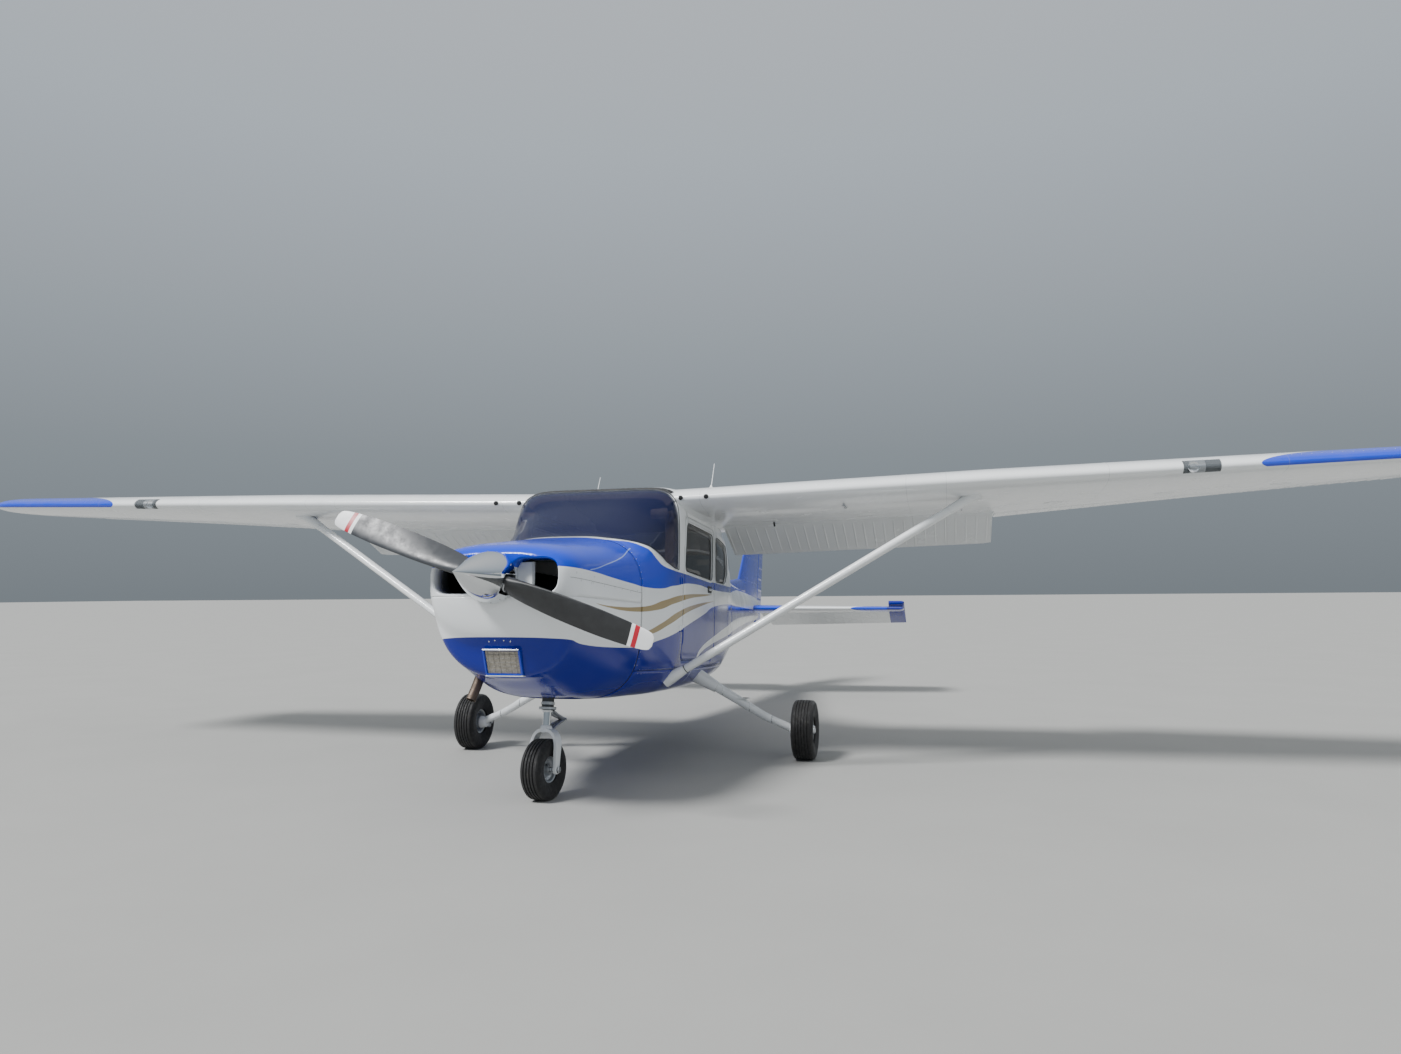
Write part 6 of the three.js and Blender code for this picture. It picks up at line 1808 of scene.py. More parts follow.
def make_main_leg(side, name):
    """A main leg: tapered spring tube with a fairing at the belly, axle flange, brake
    caliper with its hose, and the foot step."""
    path = smooth_path(LEG_PATH, 40)
    leg = tube(path[:, :3], path[:, 3], 28, Y)
    z = MAIN_AXLE
    inner = MAIN_X - 0.160 * 0.31 - 0.008 - 0.0003
    hub = (inner - 0.052, MAIN_STATION, z)
    flange = lathe([[0, 0.030], [0.004, 0.038], [0.030, 0.045], [0.051, 0.046], [0.052, 0.044]],
        hub, X, 36)
    axle = lathe([[0, 0.017], [0.135, 0.0175], [0.140, 0.0175], [0.146, 0.015]], (inner - 0.012,
        MAIN_STATION, z), X, 24)
    piece(f"main_leg_tube_{name}", [leg, flange, axle], "white", nodes=f"main_leg_{name}",
        side=side, crease=40, merge=0)
    t = linspace(0, 1, 18)
    fair = stack([0.475 + 0.185 * t, 2.658 + 0.010 * t, 0.700 - 0.106 * t], 1)
    cuff = sweep(fair, circle(28) * [1, 1.25], 0.062 - 0.022 * t ** 0.8, Y)
    piece(f"leg_fairing_{name}", cuff, "white", side=side, crease=50)
    calliper = [block((inner - 0.046, MAIN_STATION + 0.048, z - 0.045), (inner - 0.004,
        MAIN_STATION + 0.092, z + 0.04), 0.006, 0.012), lathe([[0, 0.018], [0.014, 0.018],
        [0.018, 0.014]], (inner - 0.046, MAIN_STATION + 0.070, z), (-1, 0, 0), 24)]
    piece(f"brake_caliper_{name}", calliper, "alloy", side=side, crease=35)
    along = LEG_PATH[:, :3]
    hose = smooth_path(array([along[1] + [0, 0.040, -0.004], along[3] + [0, 0.033, -0.002],
        along[4] + [0, 0.030, 0.0], [inner - 0.055, MAIN_STATION + 0.055, z + 0.036],
        [inner - 0.030, MAIN_STATION + 0.068, z + 0.038]]), 30)
    piece(f"brake_line_{name}", tube(hose, 0.0042, 10, (0, 1, 0.2)), "black", side=side)
    clips = [tube(p[:3] + stack([0 * a, (p[3] + 0.0015) * cos(a), (p[3] + 0.0015) * sin(a)], 1),
        0.002, 6, (1, 0, 0.3), False) for a in (linspace(0, 2 * pi, 33),) for p in path[[14, 24,
        32]]]
    piece(f"leg_clips_{name}", clips, "steel", side=side)
    tread = [block((0.800, 2.640, 0.512), (0.892, 2.760, 0.520), 0.002, 0.012),
        tube(smooth_path([[0.842, 2.684, 0.482], [0.844, 2.690, 0.500], [0.846, 2.698, 0.514]], 8),
        0.011, 14, Y)]
    piece(f"foot_step_{name}", tread, "white", slot="bare_metal", side=side, crease=35)
    lines = [block((0.806, 2.648 + 0.012 * k, 0.5195), (0.886, 2.654 + 0.012 * k, 0.5206), 0.0004,
        0.002) for k in range(9)]
    piece(f"step_grip_{name}", lines, "black", side=side)


def on_steer_axis(distance):
    """A point of the raked steering axis, a distance up from the nose wheel's axle."""
    distance = asarray(distance, float)
    return stack([0 * distance, NOSE_WHEEL_STATION + distance * sin(RAKE),
        NOSE_AXLE + distance * cos(RAKE)], -1)


def steered(points):
    """Points turned about the steering axis to the angle at which the wheel rests."""
    points = asarray(points, float)
    axis = array([0, sin(RAKE), cos(RAKE)])
    start = on_steer_axis(0)
    rel = points - start
    c, s = cos(STEER_REST), sin(STEER_REST)
    turned_by = (rel * c + cross(axis, rel) * s + axis * (rel @ axis)[..., None] * (1 - c))
    return to_row(turned_by + start)


def make_nose_gear():
    """Nose leg: chromed oleo between collars, the housing with its brackets, torque
    links, and the fork with its axle."""
    axis = (0, sin(RAKE), cos(RAKE))
    low = on_steer_axis(0.342)
    housing = [lathe([[0, 0.030], [0.0005, 0.036], [0.10, 0.036], [0.102, 0.034], [0.20, 0.034],
        [0.205, 0.038], [0.225, 0.038], [0.23, 0.034], [0.47, 0.034]], low, axis, 40, X)]
    ring = [lathe([[0.002, 0.036], [0.002, 0.049], [0.004, 0.052], [0.016, 0.052], [0.018, 0.049],
        [0.019, 0.036]], low, axis, 40, X), lathe([[0.030, 0.036], [0.031, 0.041], [0.047, 0.041],
        [0.048, 0.036]], low, axis, 40, X)]
    piece("nose_leg_rings", ring, "alloy", crease=35, merge=0)
    for distance in (0.620, 0.760):
        at = on_steer_axis(distance)
        housing.append(block((-0.045, at[1], at[2] - 0.017), (0.045, 1.206, at[2] + 0.017), 0.004,
            0.01))
    piece("nose_leg_housing", housing, "dark_steel", nodes="nose_strut", crease=35, merge=0)
    damper = tube(stack([on_steer_axis(0.50) + [0.05, 0.0, 0], on_steer_axis(0.50) + [0.10, 0.06,
        0.02], on_steer_axis(0.52) + [0.15, 0.11, 0.02]]), 0.013, 16, Z)
    piece("steering_damper", damper, "dark_steel")
    oleo = lathe([[0, 0.024], [0.12, 0.024]], on_steer_axis(0.225), axis, 36, X)
    piece("oleo_piston", oleo, "chrome", "nose_steering", slot="bare_metal", placed=steered)
    collar = [lathe([[0, 0.027], [0.002, 0.031], [0.010, 0.032], [0.0115, 0.029]],
        on_steer_axis(0.3290), axis, 40, X)]
    reach = 0.0835
    crown = on_steer_axis(0.226)
    half = [[reach, NOSE_WHEEL_STATION, NOSE_AXLE], [reach, crown[1] - 0.010, crown[2] - 0.095],
        [0.068, crown[1], crown[2] - 0.036], [0.034, crown[1], crown[2] - 0.003]]
    arch = smooth_path([*[[-x, s, z] for x, s, z in half], [0, crown[1], crown[2] + 0.004],
        *half[::-1]], 80)
    t = linspace(-1, 1, 80)
    wide = 0.020 + 0.014 * (1 - abs(t) ** 2)
    shape = rounded([[-1, -0.0085], [1, -0.0085], [1, 0.0085], [-1, 0.0085]], 0.004, 5)
    profile = stack([stack([shape[:, 1], shape[:, 0] * w], 1) for w in wide])
    fork = sweep(arch, profile, 1.0, Y)
    crown_block = lathe([[-0.018, 0.030], [-0.012, 0.037], [0.016, 0.035], [0.026, 0.029]], crown,
        axis, 36, X)
    bosses = [lathe([[0, 0.026], [0.017, 0.026], [0.019, 0.024]], (side * 0.0745,
        NOSE_WHEEL_STATION, NOSE_AXLE), (side, 0, 0), 32) for side in SIDES]
    piece("fork_arch", [fork, crown_block, *bosses, *collar], "white", "nose_steering",
        "nose_fork", crease=40, merge=0, placed=steered)
    axle = [lathe([[0, 0.0135], [0.200, 0.0135]], (-0.1, NOSE_WHEEL_STATION, NOSE_AXLE), X, 24),
        *[lathe([[0, 0.020], [0.011, 0.020], [0.013, 0.017]], (side * 0.094, NOSE_WHEEL_STATION,
        NOSE_AXLE), (side, 0, 0), 6) for side in SIDES]]
    piece("fork_axle", axle, "steel", "nose_steering", crease=25, placed=steered, merge=0)
    start, end = on_steer_axis(0.226), on_steer_axis(0.336)
    apex = array([0, start[1] + 0.20, (start[2] + end[2]) / 2 - 0.006])
    links = []
    for base in (start, end):
        for side in SIDES:
            arm = stack([base + [side * 0.022, 0.020, 0], (base + apex) / 2 + [side * 0.013, 0, 0],
                apex + [side * 0.006, 0, 0]])
            links.append(tube(smooth_path(arm, 8), linspace(0.0125, 0.010, 8), 12, (1, 0, 0.1)))
        rung = (base * 0.55 + apex * 0.45)
        links.append(tube(stack([rung + [0.016, 0, 0], rung, rung - [0.016, 0, 0]]), 0.005, 10, Y))
    links.append(tube(stack([apex + [0.02, 0, 0], apex, apex - [0.02, 0, 0]]), 0.009, 14, Y))
    piece("torque_links", links, "alloy", "nose_steering", placed=steered, merge=0)


def make_wheels():
    """Three tyres and wheels, each turned about its own axle."""
    for name, width, radius, rim, bore, grooves, side in (("main_left", 0.160, 0.2115, 0.092,
            0.019, 5, 1), ("main_right", 0.160, 0.2115, 0.092, 0.019, 5, -1), ("nose", 0.126,
            0.1765, 0.076, 0.014, 4, 0)):
        low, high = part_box(f"{name}_tyre")
        centre = (array(low) + array(high)) / 2
        turn = (np.eye(3) if side else array(Matrix.Rotation(STEER_REST, 3,
            Vector(to_row([0, sin(RAKE), cos(RAKE)]) - Vector(to_row([0, 0, 0]))))))
        body = f"{name.replace('main_', 'main_wheel_')}" if side else "nose_wheel"
        spin = {"placed": lambda p, c=centre, m=turn: p @ m.T + c}
        rows = wheel_rows(radius, width, rim, grooves)
        points, faces = lathe([*rows, rows[0]], (0, 0, 0), X, 96)
        piece(f"{name}_rubber", (points, faces[:-2]), "tyre", body, f"{name}_tyre", crease=32,
            **spin)
        half = width * 0.31
        rows = [[half + 0.006, bore + 0.003], [half + 0.006, bore + 0.018], [half * 0.55,
            bore + 0.024], [half * 0.42, rim * 0.62], [half * 0.6, rim * 0.80], [half + 0.0005,
            rim * 0.88], [half + 0.003, rim - 0.0005], [half - 0.003, rim]]
        rows = [[-a, r] for a, r in rows] + rows[::-1] + [[-half - 0.006, bore + 0.003]]
        points, faces = lathe(rows, (0, 0, 0), X, 72)
        piece(f"{name}_wheel_halves", (points, faces[:-2]), "alloy", body, f"{name}_rim",
            slot="polished_metal", crease=30, **spin)
        bolts = []
        for end in (1, -1):
            for k in range(6):
                a = k * pi / 3 + 0.3
                at = array([end * half * 0.40, cos(a) * rim * 0.70, sin(a) * rim * 0.70])
                bolts.append(lathe([[0, 0.0070], [0.007, 0.0070], [0.008, 0.0055]], at,
                    (end, 0, 0), 6))
        if side:
            bolts.append(lathe([[0, bore + 0.016], [0.004, bore + 0.016], [0.016, bore + 0.008],
                [0.019, 0.003]], (side * (half + 0.006), 0, 0), (side, 0, 0), 32))
        else:
            bolts.append(lathe([[0, 0.0045], [0.018, 0.004], [0.02, 0.003]], (half * 0.5, 0,
                rim * 0.78), (1, 0, 0.4), 10))
        piece(f"{name}_wheel_bolts", bolts, "steel", body, crease=30, **spin)


BLADE_ROWS = array([[0.07, 96, 66, 44], [0.14, 120, 60, 41], [0.26, 138, 40, 34], [0.45, 148, 25,
    26.5], [0.65, 145, 17, 20.5], [0.82, 130, 12, 17], [0.94, 108, 9, 15], [0.985, 86, 7, 14.3],
    [1.0, 46, 5, 14]])


def prop_turned(points):
    """Points turned with the propeller to the angle at which it stands parked."""
    points = asarray(points, float)
    c, s = cos(PROP_TURN), sin(PROP_TURN)
    x, z = points[..., 0], points[..., 2] - HUB_HEIGHT
    return stack([x * c + z * s, points[..., 1], HUB_HEIGHT - x * s + z * c], -1)


def make_propeller():
    """Two twisted black blades on a hub, the front of one greyer as a painted reflection of
    the sky, both with white tips and a red band, and the chromed spinner."""
    reach = concatenate([linspace(0.07, 0.94, 50), linspace(0.945, 1.0, 14)])
    chord, thick, pitch = pchip(reach, BLADE_ROWS[:, 0], BLADE_ROWS[:, 1:]).T
    u, up = foil_loop(1.0, 1.0, 20)
    angle = radians(pitch)[:, None]
    ratio = (thick / chord)[:, None]
    along = (0.42 - u) * chord[:, None] / 1000
    across = up * thickness_at(u) * ratio * chord[:, None] / 1000
    blades = []
    for side in SIDES:
        points = stack([side * reach[:, None] * PROP_RADIUS + 0 * u,
            HUB_STATION - along * sin(angle) + across * cos(angle), HUB_HEIGHT + side * (along *
            cos(angle) + across * sin(angle))], -1)
        blades.append(surface(prop_turned(points), True, True))
    for shape, name in zip(blades, ("port", "starboard")):
        made = piece(f"blade_{name}", shape, "blade", "propeller_unit",
            "propeller" if name == "port" else "", crease=45, merge=0)
        # Painted reflection: the starboard blade's forward faces take the greyer copy, for the sky
        # in its gloss
        made.data.materials.append(FINISH["blade_face"])
        normals = array([p.normal[:] for p in made.data.polygons])
        front = normals[:, 1] < -0.15
        index = front.astype(np.int32) if name == "starboard" else np.zeros(len(front), np.int32)
        made.data.polygons.foreach_set("material_index", index)
    hub = [lathe([[0, 0.03], [0.004, 0.060], [0.02, 0.072], [0.070, 0.072], [0.078, 0.060]],
        (0, HUB_STATION - 0.034, HUB_HEIGHT), Y, 40)]
    for side in SIDES:
        axis = prop_turned([[side, 0, HUB_HEIGHT]])[0] - [0, 0, HUB_HEIGHT]
        hub.append(lathe([[0.04, 0.036], [0.105, 0.036], [0.11, 0.041], [0.125, 0.041],
            [0.128, 0.037]], (0, HUB_STATION, HUB_HEIGHT), axis, 32, Y))
    piece("propeller_hub", hub, "alloy", "propeller_unit", crease=35, merge=0)
    make_spinner()


def make_spinner():
    """Spinner: a pointed shell turned about the shaft, its radius a smooth curve through
    rows over its length, cut for the blades, on a back plate with screws round it."""
    turns, steps = 144, 90
    t = linspace(0, 1, steps) ** 1.15
    t[0] = 0.001
    rows = array([[0, 0], [0.1, 0.122], [0.25, 0.31], [0.45, 0.56], [0.65, 0.775], [0.8, 0.90],
        [0.92, 0.972], [1, 1]])
    radius = 0.139 * pchip(t, rows[:, 0], rows[:, 1:])[:, 0]
    station = -0.139 + 0.419 * t
    a = linspace(0, 2 * pi, turns, endpoint=False)
    points = stack([radius[:, None] * cos(a), station[:, None] + 0 * a, HUB_HEIGHT + radius[:,
        None] * sin(a)], -1)
    flat, faces = surface(points, True)
    middle = flat[array(faces)].mean(1) - [0, HUB_STATION, HUB_HEIGHT]
    c, s = cos(PROP_TURN), sin(PROP_TURN)
    out = middle[:, 0] * c - middle[:, 2] * s
    rise = middle[:, 0] * s + middle[:, 2] * c
    slot = ((abs(out) > 0.05) & (abs(rise) < 0.056) & (middle[:,
        1] > -0.044) & ((rise / 0.056) ** 4 + (middle[:, 1] / 0.045).clip(-9, 0) ** 4 < 1))
    faces = [f for f, gone in zip(faces, slot) if not gone]
    piece("spinner_shell", (flat, faces), "chrome", "propeller_unit", "spinner", thick=0.002,
        crease=60)
    plate_rows = [[0, 0.137], [0.0075, 0.1388], [0.0079, 0.136], [0.0079, 0.04], [0, 0.04],
        [0, 0.137]]
    points, faces = lathe(plate_rows, (0, 0.272, HUB_HEIGHT), Y, 96)
    piece("spinner_back_plate", (points, faces[:-2]), "alloy", "propeller_unit",
        slot="polished_metal", crease=35)
    a = linspace(0, 2 * pi, 17)[:-1] + 0.1
    spots = stack([0.1388 * cos(a), 0.255 + 0 * a, HUB_HEIGHT + 0.1388 * sin(a)], 1)
    out = stack([cos(a), 0 * a, sin(a)], 1)
    clear = abs(out[:, 0] * s + out[:, 2] * c) > 0.42
    piece("spinner_screws", studs(spots[clear], out[clear], 0.004, 0.001), "steel",
        "propeller_unit", outward=False, merge=0)


# Cabin

SEATS = [("front_left", 2.180, 0.075, 0.505, 0.0), ("front_right", 2.180, -0.505, -0.075, 0.0),
    ("rear", 2.850, -0.465, 0.465, -0.060)]
CUSHION_PUFF = 0.022
# Half of a control wheel: across from its middle, station and height
YOKE_HORN = [(0.128, 1.752, 1.306), (0.138, 1.754, 1.275), (0.125, 1.755, 1.235),
             (0.06, 1.752, 1.216)]


def clam(one, two):
    """Two sheets that meet round their edges, as one closed shape."""
    points, faces = surface(two)
    return joined([surface(one), (points, [f[::-1] for f in faces])])


def pillow(low, high, crown, count=(26, 26), power=4.0):
    """A crowned closed cushion between two corners: each section over x and length is a
    superellipse whose height falls off towards the edges, and whose sides pull in between
    the corners."""
    low, high = asarray(low, float), asarray(high, float)
    u = linspace(-1, 1, count[0])[:, None]
    v = linspace(-1, 1, count[1])[None]
    fall = (1 - abs(u) ** power) * (1 - abs(v) ** power)
    rise = clip(fall, 0, 1) ** 0.38
    middle, size = (low + high) / 2, (high - low) / 2
    x = middle[0] + size[0] * u * (1 - 0.03 * (1 - v ** 2))
    y = middle[1] + size[1] * v * (1 - 0.03 * (1 - u ** 2))
    top = middle[2] + size[2] * (rise * (1 + crown * (1 - u ** 2) * (1 - v ** 2)) / (1 + crown))
    low_z = middle[2] - size[2] * rise
    upper = stack([x + 0 * v, y + 0 * u, top], -1)
    lower = stack([x + 0 * v, y + 0 * u, low_z], -1)
    return clam(upper, lower)


def leaned(points, pivot, angle):
    """Points tipped back by an angle about a level axis across the cabin."""
    c, s = cos(angle), sin(angle)
    y, z = points[:, 1] - pivot[0], points[:, 2] - pivot[1]
    return stack([points[:, 0], pivot[0] + y * c + z * s, pivot[1] - y * s + z * c], 1)


def inflate(made, voxel=0.006, cap=0.022, pressure=4.0):
    """Puffs a pad with cloth under pressure from frame 1 to 20, holds every point within
    a cap of where it was, applies the result and rounds it with one subdivision."""
    scene = bpy.context.scene
    remesh = made.modifiers.new("Remesh", "REMESH")
    remesh.mode = "VOXEL"
    remesh.voxel_size = voxel
    depsgraph = bpy.context.evaluated_depsgraph_get()
    mesh = bpy.data.meshes.new_from_object(made.evaluated_get(depsgraph))
    made.modifiers.clear()
    made.data = mesh
    count = len(mesh.vertices)
    start = np.empty(count * 3)
    mesh.vertices.foreach_get("co", start)
    cloth = made.modifiers.new("Cloth", "CLOTH")
    settings = cloth.settings
    settings.quality = 4
    settings.use_pressure = True
    settings.uniform_pressure_force = pressure
    settings.effector_weights.gravity = 0
    settings.tension_stiffness = settings.compression_stiffness = 15
    cloth.point_cache.frame_start, cloth.point_cache.frame_end = 1, 20
    for number in range(1, 21):
        scene.frame_set(number)
    depsgraph = bpy.context.evaluated_depsgraph_get()
    puffed = bpy.data.meshes.new_from_object(made.evaluated_get(depsgraph))
    end = np.empty(count * 3)
    puffed.vertices.foreach_get("co", end)
    start, end = start.reshape(-1, 3), end.reshape(-1, 3)
    move = end - start
    length = np.linalg.norm(move, axis=1, keepdims=True)
    move *= minimum(1, cap / maximum(length, 1e-9))
    puffed.vertices.foreach_set("co", (start + move).ravel())
    puffed.update()
    made.modifiers.clear()
    made.data = puffed
    scene.frame_set(1)
    smooth = made.modifiers.new("Round", "SUBSURF")
    smooth.levels = smooth.render_levels = 1
    puffed.shade_smooth()
    return made


def make_seat(name, front, x0, x1, lean):
    """One seat: pedestal with rails, padded base and back, piping, lap belt and buckle."""
    node = f"seat_{name}"
    mid, half = (x0 + x1) / 2, (x1 - x0) / 2
    floor = 0.680
    back = front + 0.44 + lean
    base = [block((x0 + 0.07, front + 0.08, 0.712), (x1 - 0.07, back + 0.02, 0.905), 0.008, 0.04)]
    rails = [block((x - 0.012, front + 0.03, floor + 0.001), (x + 0.012, back + 0.10,
        floor + 0.016), 0.002, 0.003) for x in (x0 + 0.09, x1 - 0.09)]
    legs = [block((x - 0.010, s - 0.016, floor + 0.012), (x + 0.010, s + 0.016, 0.72), 0.002,
        0.004) for x in (x0 + 0.09, x1 - 0.09) for s in (front + 0.12, back - 0.02)]
    piece(f"{node}_frame", [*base, *rails, *legs], "panel", nodes=node, crease=35, merge=0)
    panels = 1 if half < 0.3 else 2
    pads, cords = [], []
    for k in range(panels):
        a = x0 + 0.02 + k * (x1 - x0 - 0.02) / panels
        b = x0 + (k + 1) * (x1 - x0) / panels - 0.02
        seat = pillow((a, front + 0.02, 0.905), (b, back + 0.02, 1.03), 0.35)
        rest = upright(a, b, back + 0.015, back + 0.135, 1.02, 1.60)
        rest = (leaned(rest[0], (back + 0.06, 1.03), radians(14)), rest[1])
        for tag, shape in (("cushion", seat), ("back", rest)):
            suffix = f"_{k + 1}" if panels > 1 else ""
            pad = piece(f"{node}_{tag}{suffix}", shape, "cloth", crease=180, merge=1e-4)
            inflate(pad)
            pads.append(pad)
        edge = rounded([[a + 0.006, front + 0.026], [b - 0.006, front + 0.026], [b - 0.006,
            back + 0.014], [a + 0.006, back + 0.014]], 0.05, 8)
        line = concatenate([edge, full((len(edge), 1), 0.968)], 1)
        cords.append(tube(concatenate([line, line[:1]]), size("piping"), 8, (0.02, 0.1, 1), False))
        for x in (a + (b - a) / 3, a + 2 * (b - a) / 3):
            run = linspace(front + 0.05, back - 0.01, 24)
            u = (x - (a + b) / 2) / ((b - a) / 2)
            v = (run - (front + back + 0.04) / 2) / ((back - front) / 2)
            rise = 0.9675 + 0.0625 * clip((1 - abs(u) ** 4) * (1 - abs(v) ** 4), 0, 1) ** 0.38
            cords.append(tube(stack([0 * run + x, run, rise + CUSHION_PUFF * 0.4], 1), 0.003, 8,
                X))
    piece(f"{node}_piping", cords, "vinyl", slot="seat_cloth", crease=180)
    straps = []
    for x, sign in ((x0 + 0.10, 1), (x1 - 0.10, -1)):
        path = smooth_path([[x - sign * 0.055, back + 0.0, 0.93], [x - sign * 0.035, back - 0.05,
            1.04], [x + sign * 0.05, back - 0.10, 1.062], [mid - sign * 0.03, back - 0.16, 1.066]],
            24)
        straps.append(sweep(path, [[-0.0012, -0.022], [0.0012, -0.022], [0.0012, 0.022], [-0.0012,
            0.022]], 1.0, (0, 0.3, 1)))
    piece(f"{node}_belts", straps, "webbing", crease=50)
    buckle = block((mid - 0.034, back - 0.185, 1.066), (mid + 0.034, back - 0.137, 1.082), 0.003,
        0.008)
    piece(f"{node}_buckle", buckle, "steel", crease=35)


def upright(x0, x1, front, back, low, high):
    """A back rest as a crowned pad standing on edge: superellipse sections over x and
    height, thicker at the middle, with rounded upper corners."""
    u = linspace(-1, 1, 26)[:, None]
    v = linspace(-1, 1, 34)[None]
    fall = clip((1 - abs(u) ** 4) * (1 - abs(v) ** 6), 0, 1) ** 0.38
    x = (x0 + x1) / 2 + (x1 - x0) / 2 * u * (1 - 0.10 * clip(v, 0, 1) ** 4)
    z = (low + high) / 2 + (high - low) / 2 * v * (1 - 0.02 * u ** 2)
    middle, deep = (front + back) / 2, (back - front) / 2
    ahead = stack([x + 0 * v, middle - deep * fall, z + 0 * u], -1)
    behind = stack([x + 0 * v, middle + deep * fall, z + 0 * u], -1)
    return clam(ahead, behind)


def disc_on_panel(x, z, radius, depth, face=1.600):
    """A round of the given depth standing on the panel's face, towards the seats."""
    return lathe([[0, radius], [depth * 0.7, radius], [depth, radius * 0.94],
        [depth, radius * 0.88], [depth * 0.55, radius * 0.86]], (x, face, z), Y, 36, X)


def make_panel():
    """Instrument panel: glare shield, grey face with displays and round dials, switches,
    the control wheels on their shafts, the throttle quadrant and pedals."""
    face = 1.6185
    board = block((-0.52, 1.602, 1.035), (0.52, 1.6185, 1.392), 0.003, 0.002)
    piece("panel_board", board, "panel", nodes="instrument_panel", crease=35)
    t = linspace(-1, 1, 61)
    rows = []
    for s, z in ((1.45, 1.412), (1.45, 1.418), (1.56, 1.424), (1.655, 1.416), (1.690, 1.400),
            (1.692, 1.392), (1.66, 1.398), (1.60, 1.404)):
        width = float(half_width(array([s]), array([1.40]))[0]) - 0.04
        rows.append(stack([t * width, s + 0 * t, z - 0.016 * t ** 4], -1))
    piece("glare_shield", surface(array(rows), False), "black", slot="cabin_trim", thick=0.006,
        crease=50)
    dials, faces, marks, screens = [], [], [], []
    layout = [(0.42, 1.335), (0.42, 1.245), (-0.40, 1.335), (-0.40, 1.25), (-0.40, 1.165),
        (0.42, 1.155)]
    for x, z in layout:
        dials.append(disc_on_panel(x, z, 0.040, 0.010, face - 0.001))
        faces.append(lathe([[0, 0.035], [0.004, 0.035]], (x, face, z), Y, 32, X))
        for k in range(12):
            a = 2 * pi * k / 12
            long = 0.006 if k % 3 == 0 else 0.0035
            run = array([[cos(a), 0, sin(a)]]) * array([[0.033], [0.033 - long]])
            marks.append(tube(array([x, face + 0.0042, z]) + array([run[0], (run[0] + run[1]) / 2,
                run[1]]), 0.0008, 4, Y))
        marks.append(tube(array([x, face + 0.0048, z]) + array([[0, 0, 0], [0.008, 0, 0.010],
            [0.016, 0, 0.020]]), 0.0011, 6, Y))
    for x in (0.235, -0.10):
        screens.append(block((x - 0.115, face - 0.001, 1.165), (x + 0.115, face + 0.010, 1.335),
            0.002, 0.006))
    glass = [block((x - 0.098, face + 0.009, 1.182), (x + 0.098, face + 0.0115, 1.322), 0.0006,
        0.003) for x in (0.235, -0.10)]
    radio = [block((-0.02 + 0.0, face - 0.001, 1.065 + 0.034 * k), (0.10, face + 0.006,
        1.093 + 0.034 * k), 0.001, 0.004) for k in range(3)]
    knobs = [lathe([[0, 0.007], [0.012, 0.0065], [0.014, 0.005]], (x, face, z), Y, 14,
        X) for x in (-0.01, 0.09) for z in (1.079, 1.113, 1.147)]
    knobs += [lathe([[0, 0.004], [0.010, 0.004], [0.016, 0.003]], (0.16 + 0.022 * k, face, 1.075),
        (0, 1, 0.3), 10, X) for k in range(9)]
    piece("panel_bezels", [*dials, *screens, *radio], "black", slot="cabin_trim", crease=35)
    piece("panel_dial_faces", faces, "dial", crease=30)
    piece("panel_dial_marks", marks, "mark")
    piece("panel_displays", glass, "screen", crease=30)
    piece("panel_knobs", knobs, "alloy", crease=30)
    yokes = []
    for x in (0.27, -0.27):
        yokes.append(tube([[x, face - 0.01, 1.232], [x, 1.68, 1.232], [x, 1.745, 1.232]], 0.011,
            18, X))
        horn = smooth_path([*[[x - a, s, z] for a, s, z in YOKE_HORN], [x, 1.750, 1.222],
            *[[x + a, s, z] for a, s, z in YOKE_HORN[::-1]]], 60)
        yokes.append(tube(horn, 0.0125 - 0.002 * cos(linspace(0, 2 * pi, 60)), 14, Y))
        yokes.append(block((x - 0.035, 1.738, 1.205), (x + 0.035, 1.764, 1.258), 0.006, 0.012))
    piece("control_wheels", yokes, "black", slot="cabin_trim", crease=40, merge=0)
    levers = [tube([[x, face - 0.005, 1.12], [x, face + 0.03, 1.12], [x, face + 0.065, 1.12]],
        0.004, 10, X) for x in (-0.205, -0.245)]
    heads = [lathe([[0, 0.010], [0.004, 0.016], [0.016, 0.017], [0.024, 0.010]], (x, face + 0.06,
        1.12), Y, 24, X) for x in (-0.205, -0.245)]
    piece("throttle_rods", levers, "steel")
    piece("throttle_knobs", heads[:1], "black", slot="cabin_trim", crease=40)
    piece("mixture_knob", heads[1:], "red", crease=40)
    pedals = []
    for x in (0.34, 0.20, -0.20, -0.34):
        pedals.append(block((x - 0.035, 1.40, 0.80), (x + 0.035, 1.412, 0.95), 0.003, 0.01))
        pedals.append(tube([[x, 1.41, 0.82], [x, 1.40, 0.75], [x, 1.385, 0.70]], 0.008, 10, X))
    piece("rudder_pedals", pedals, "dark_steel", crease=40)


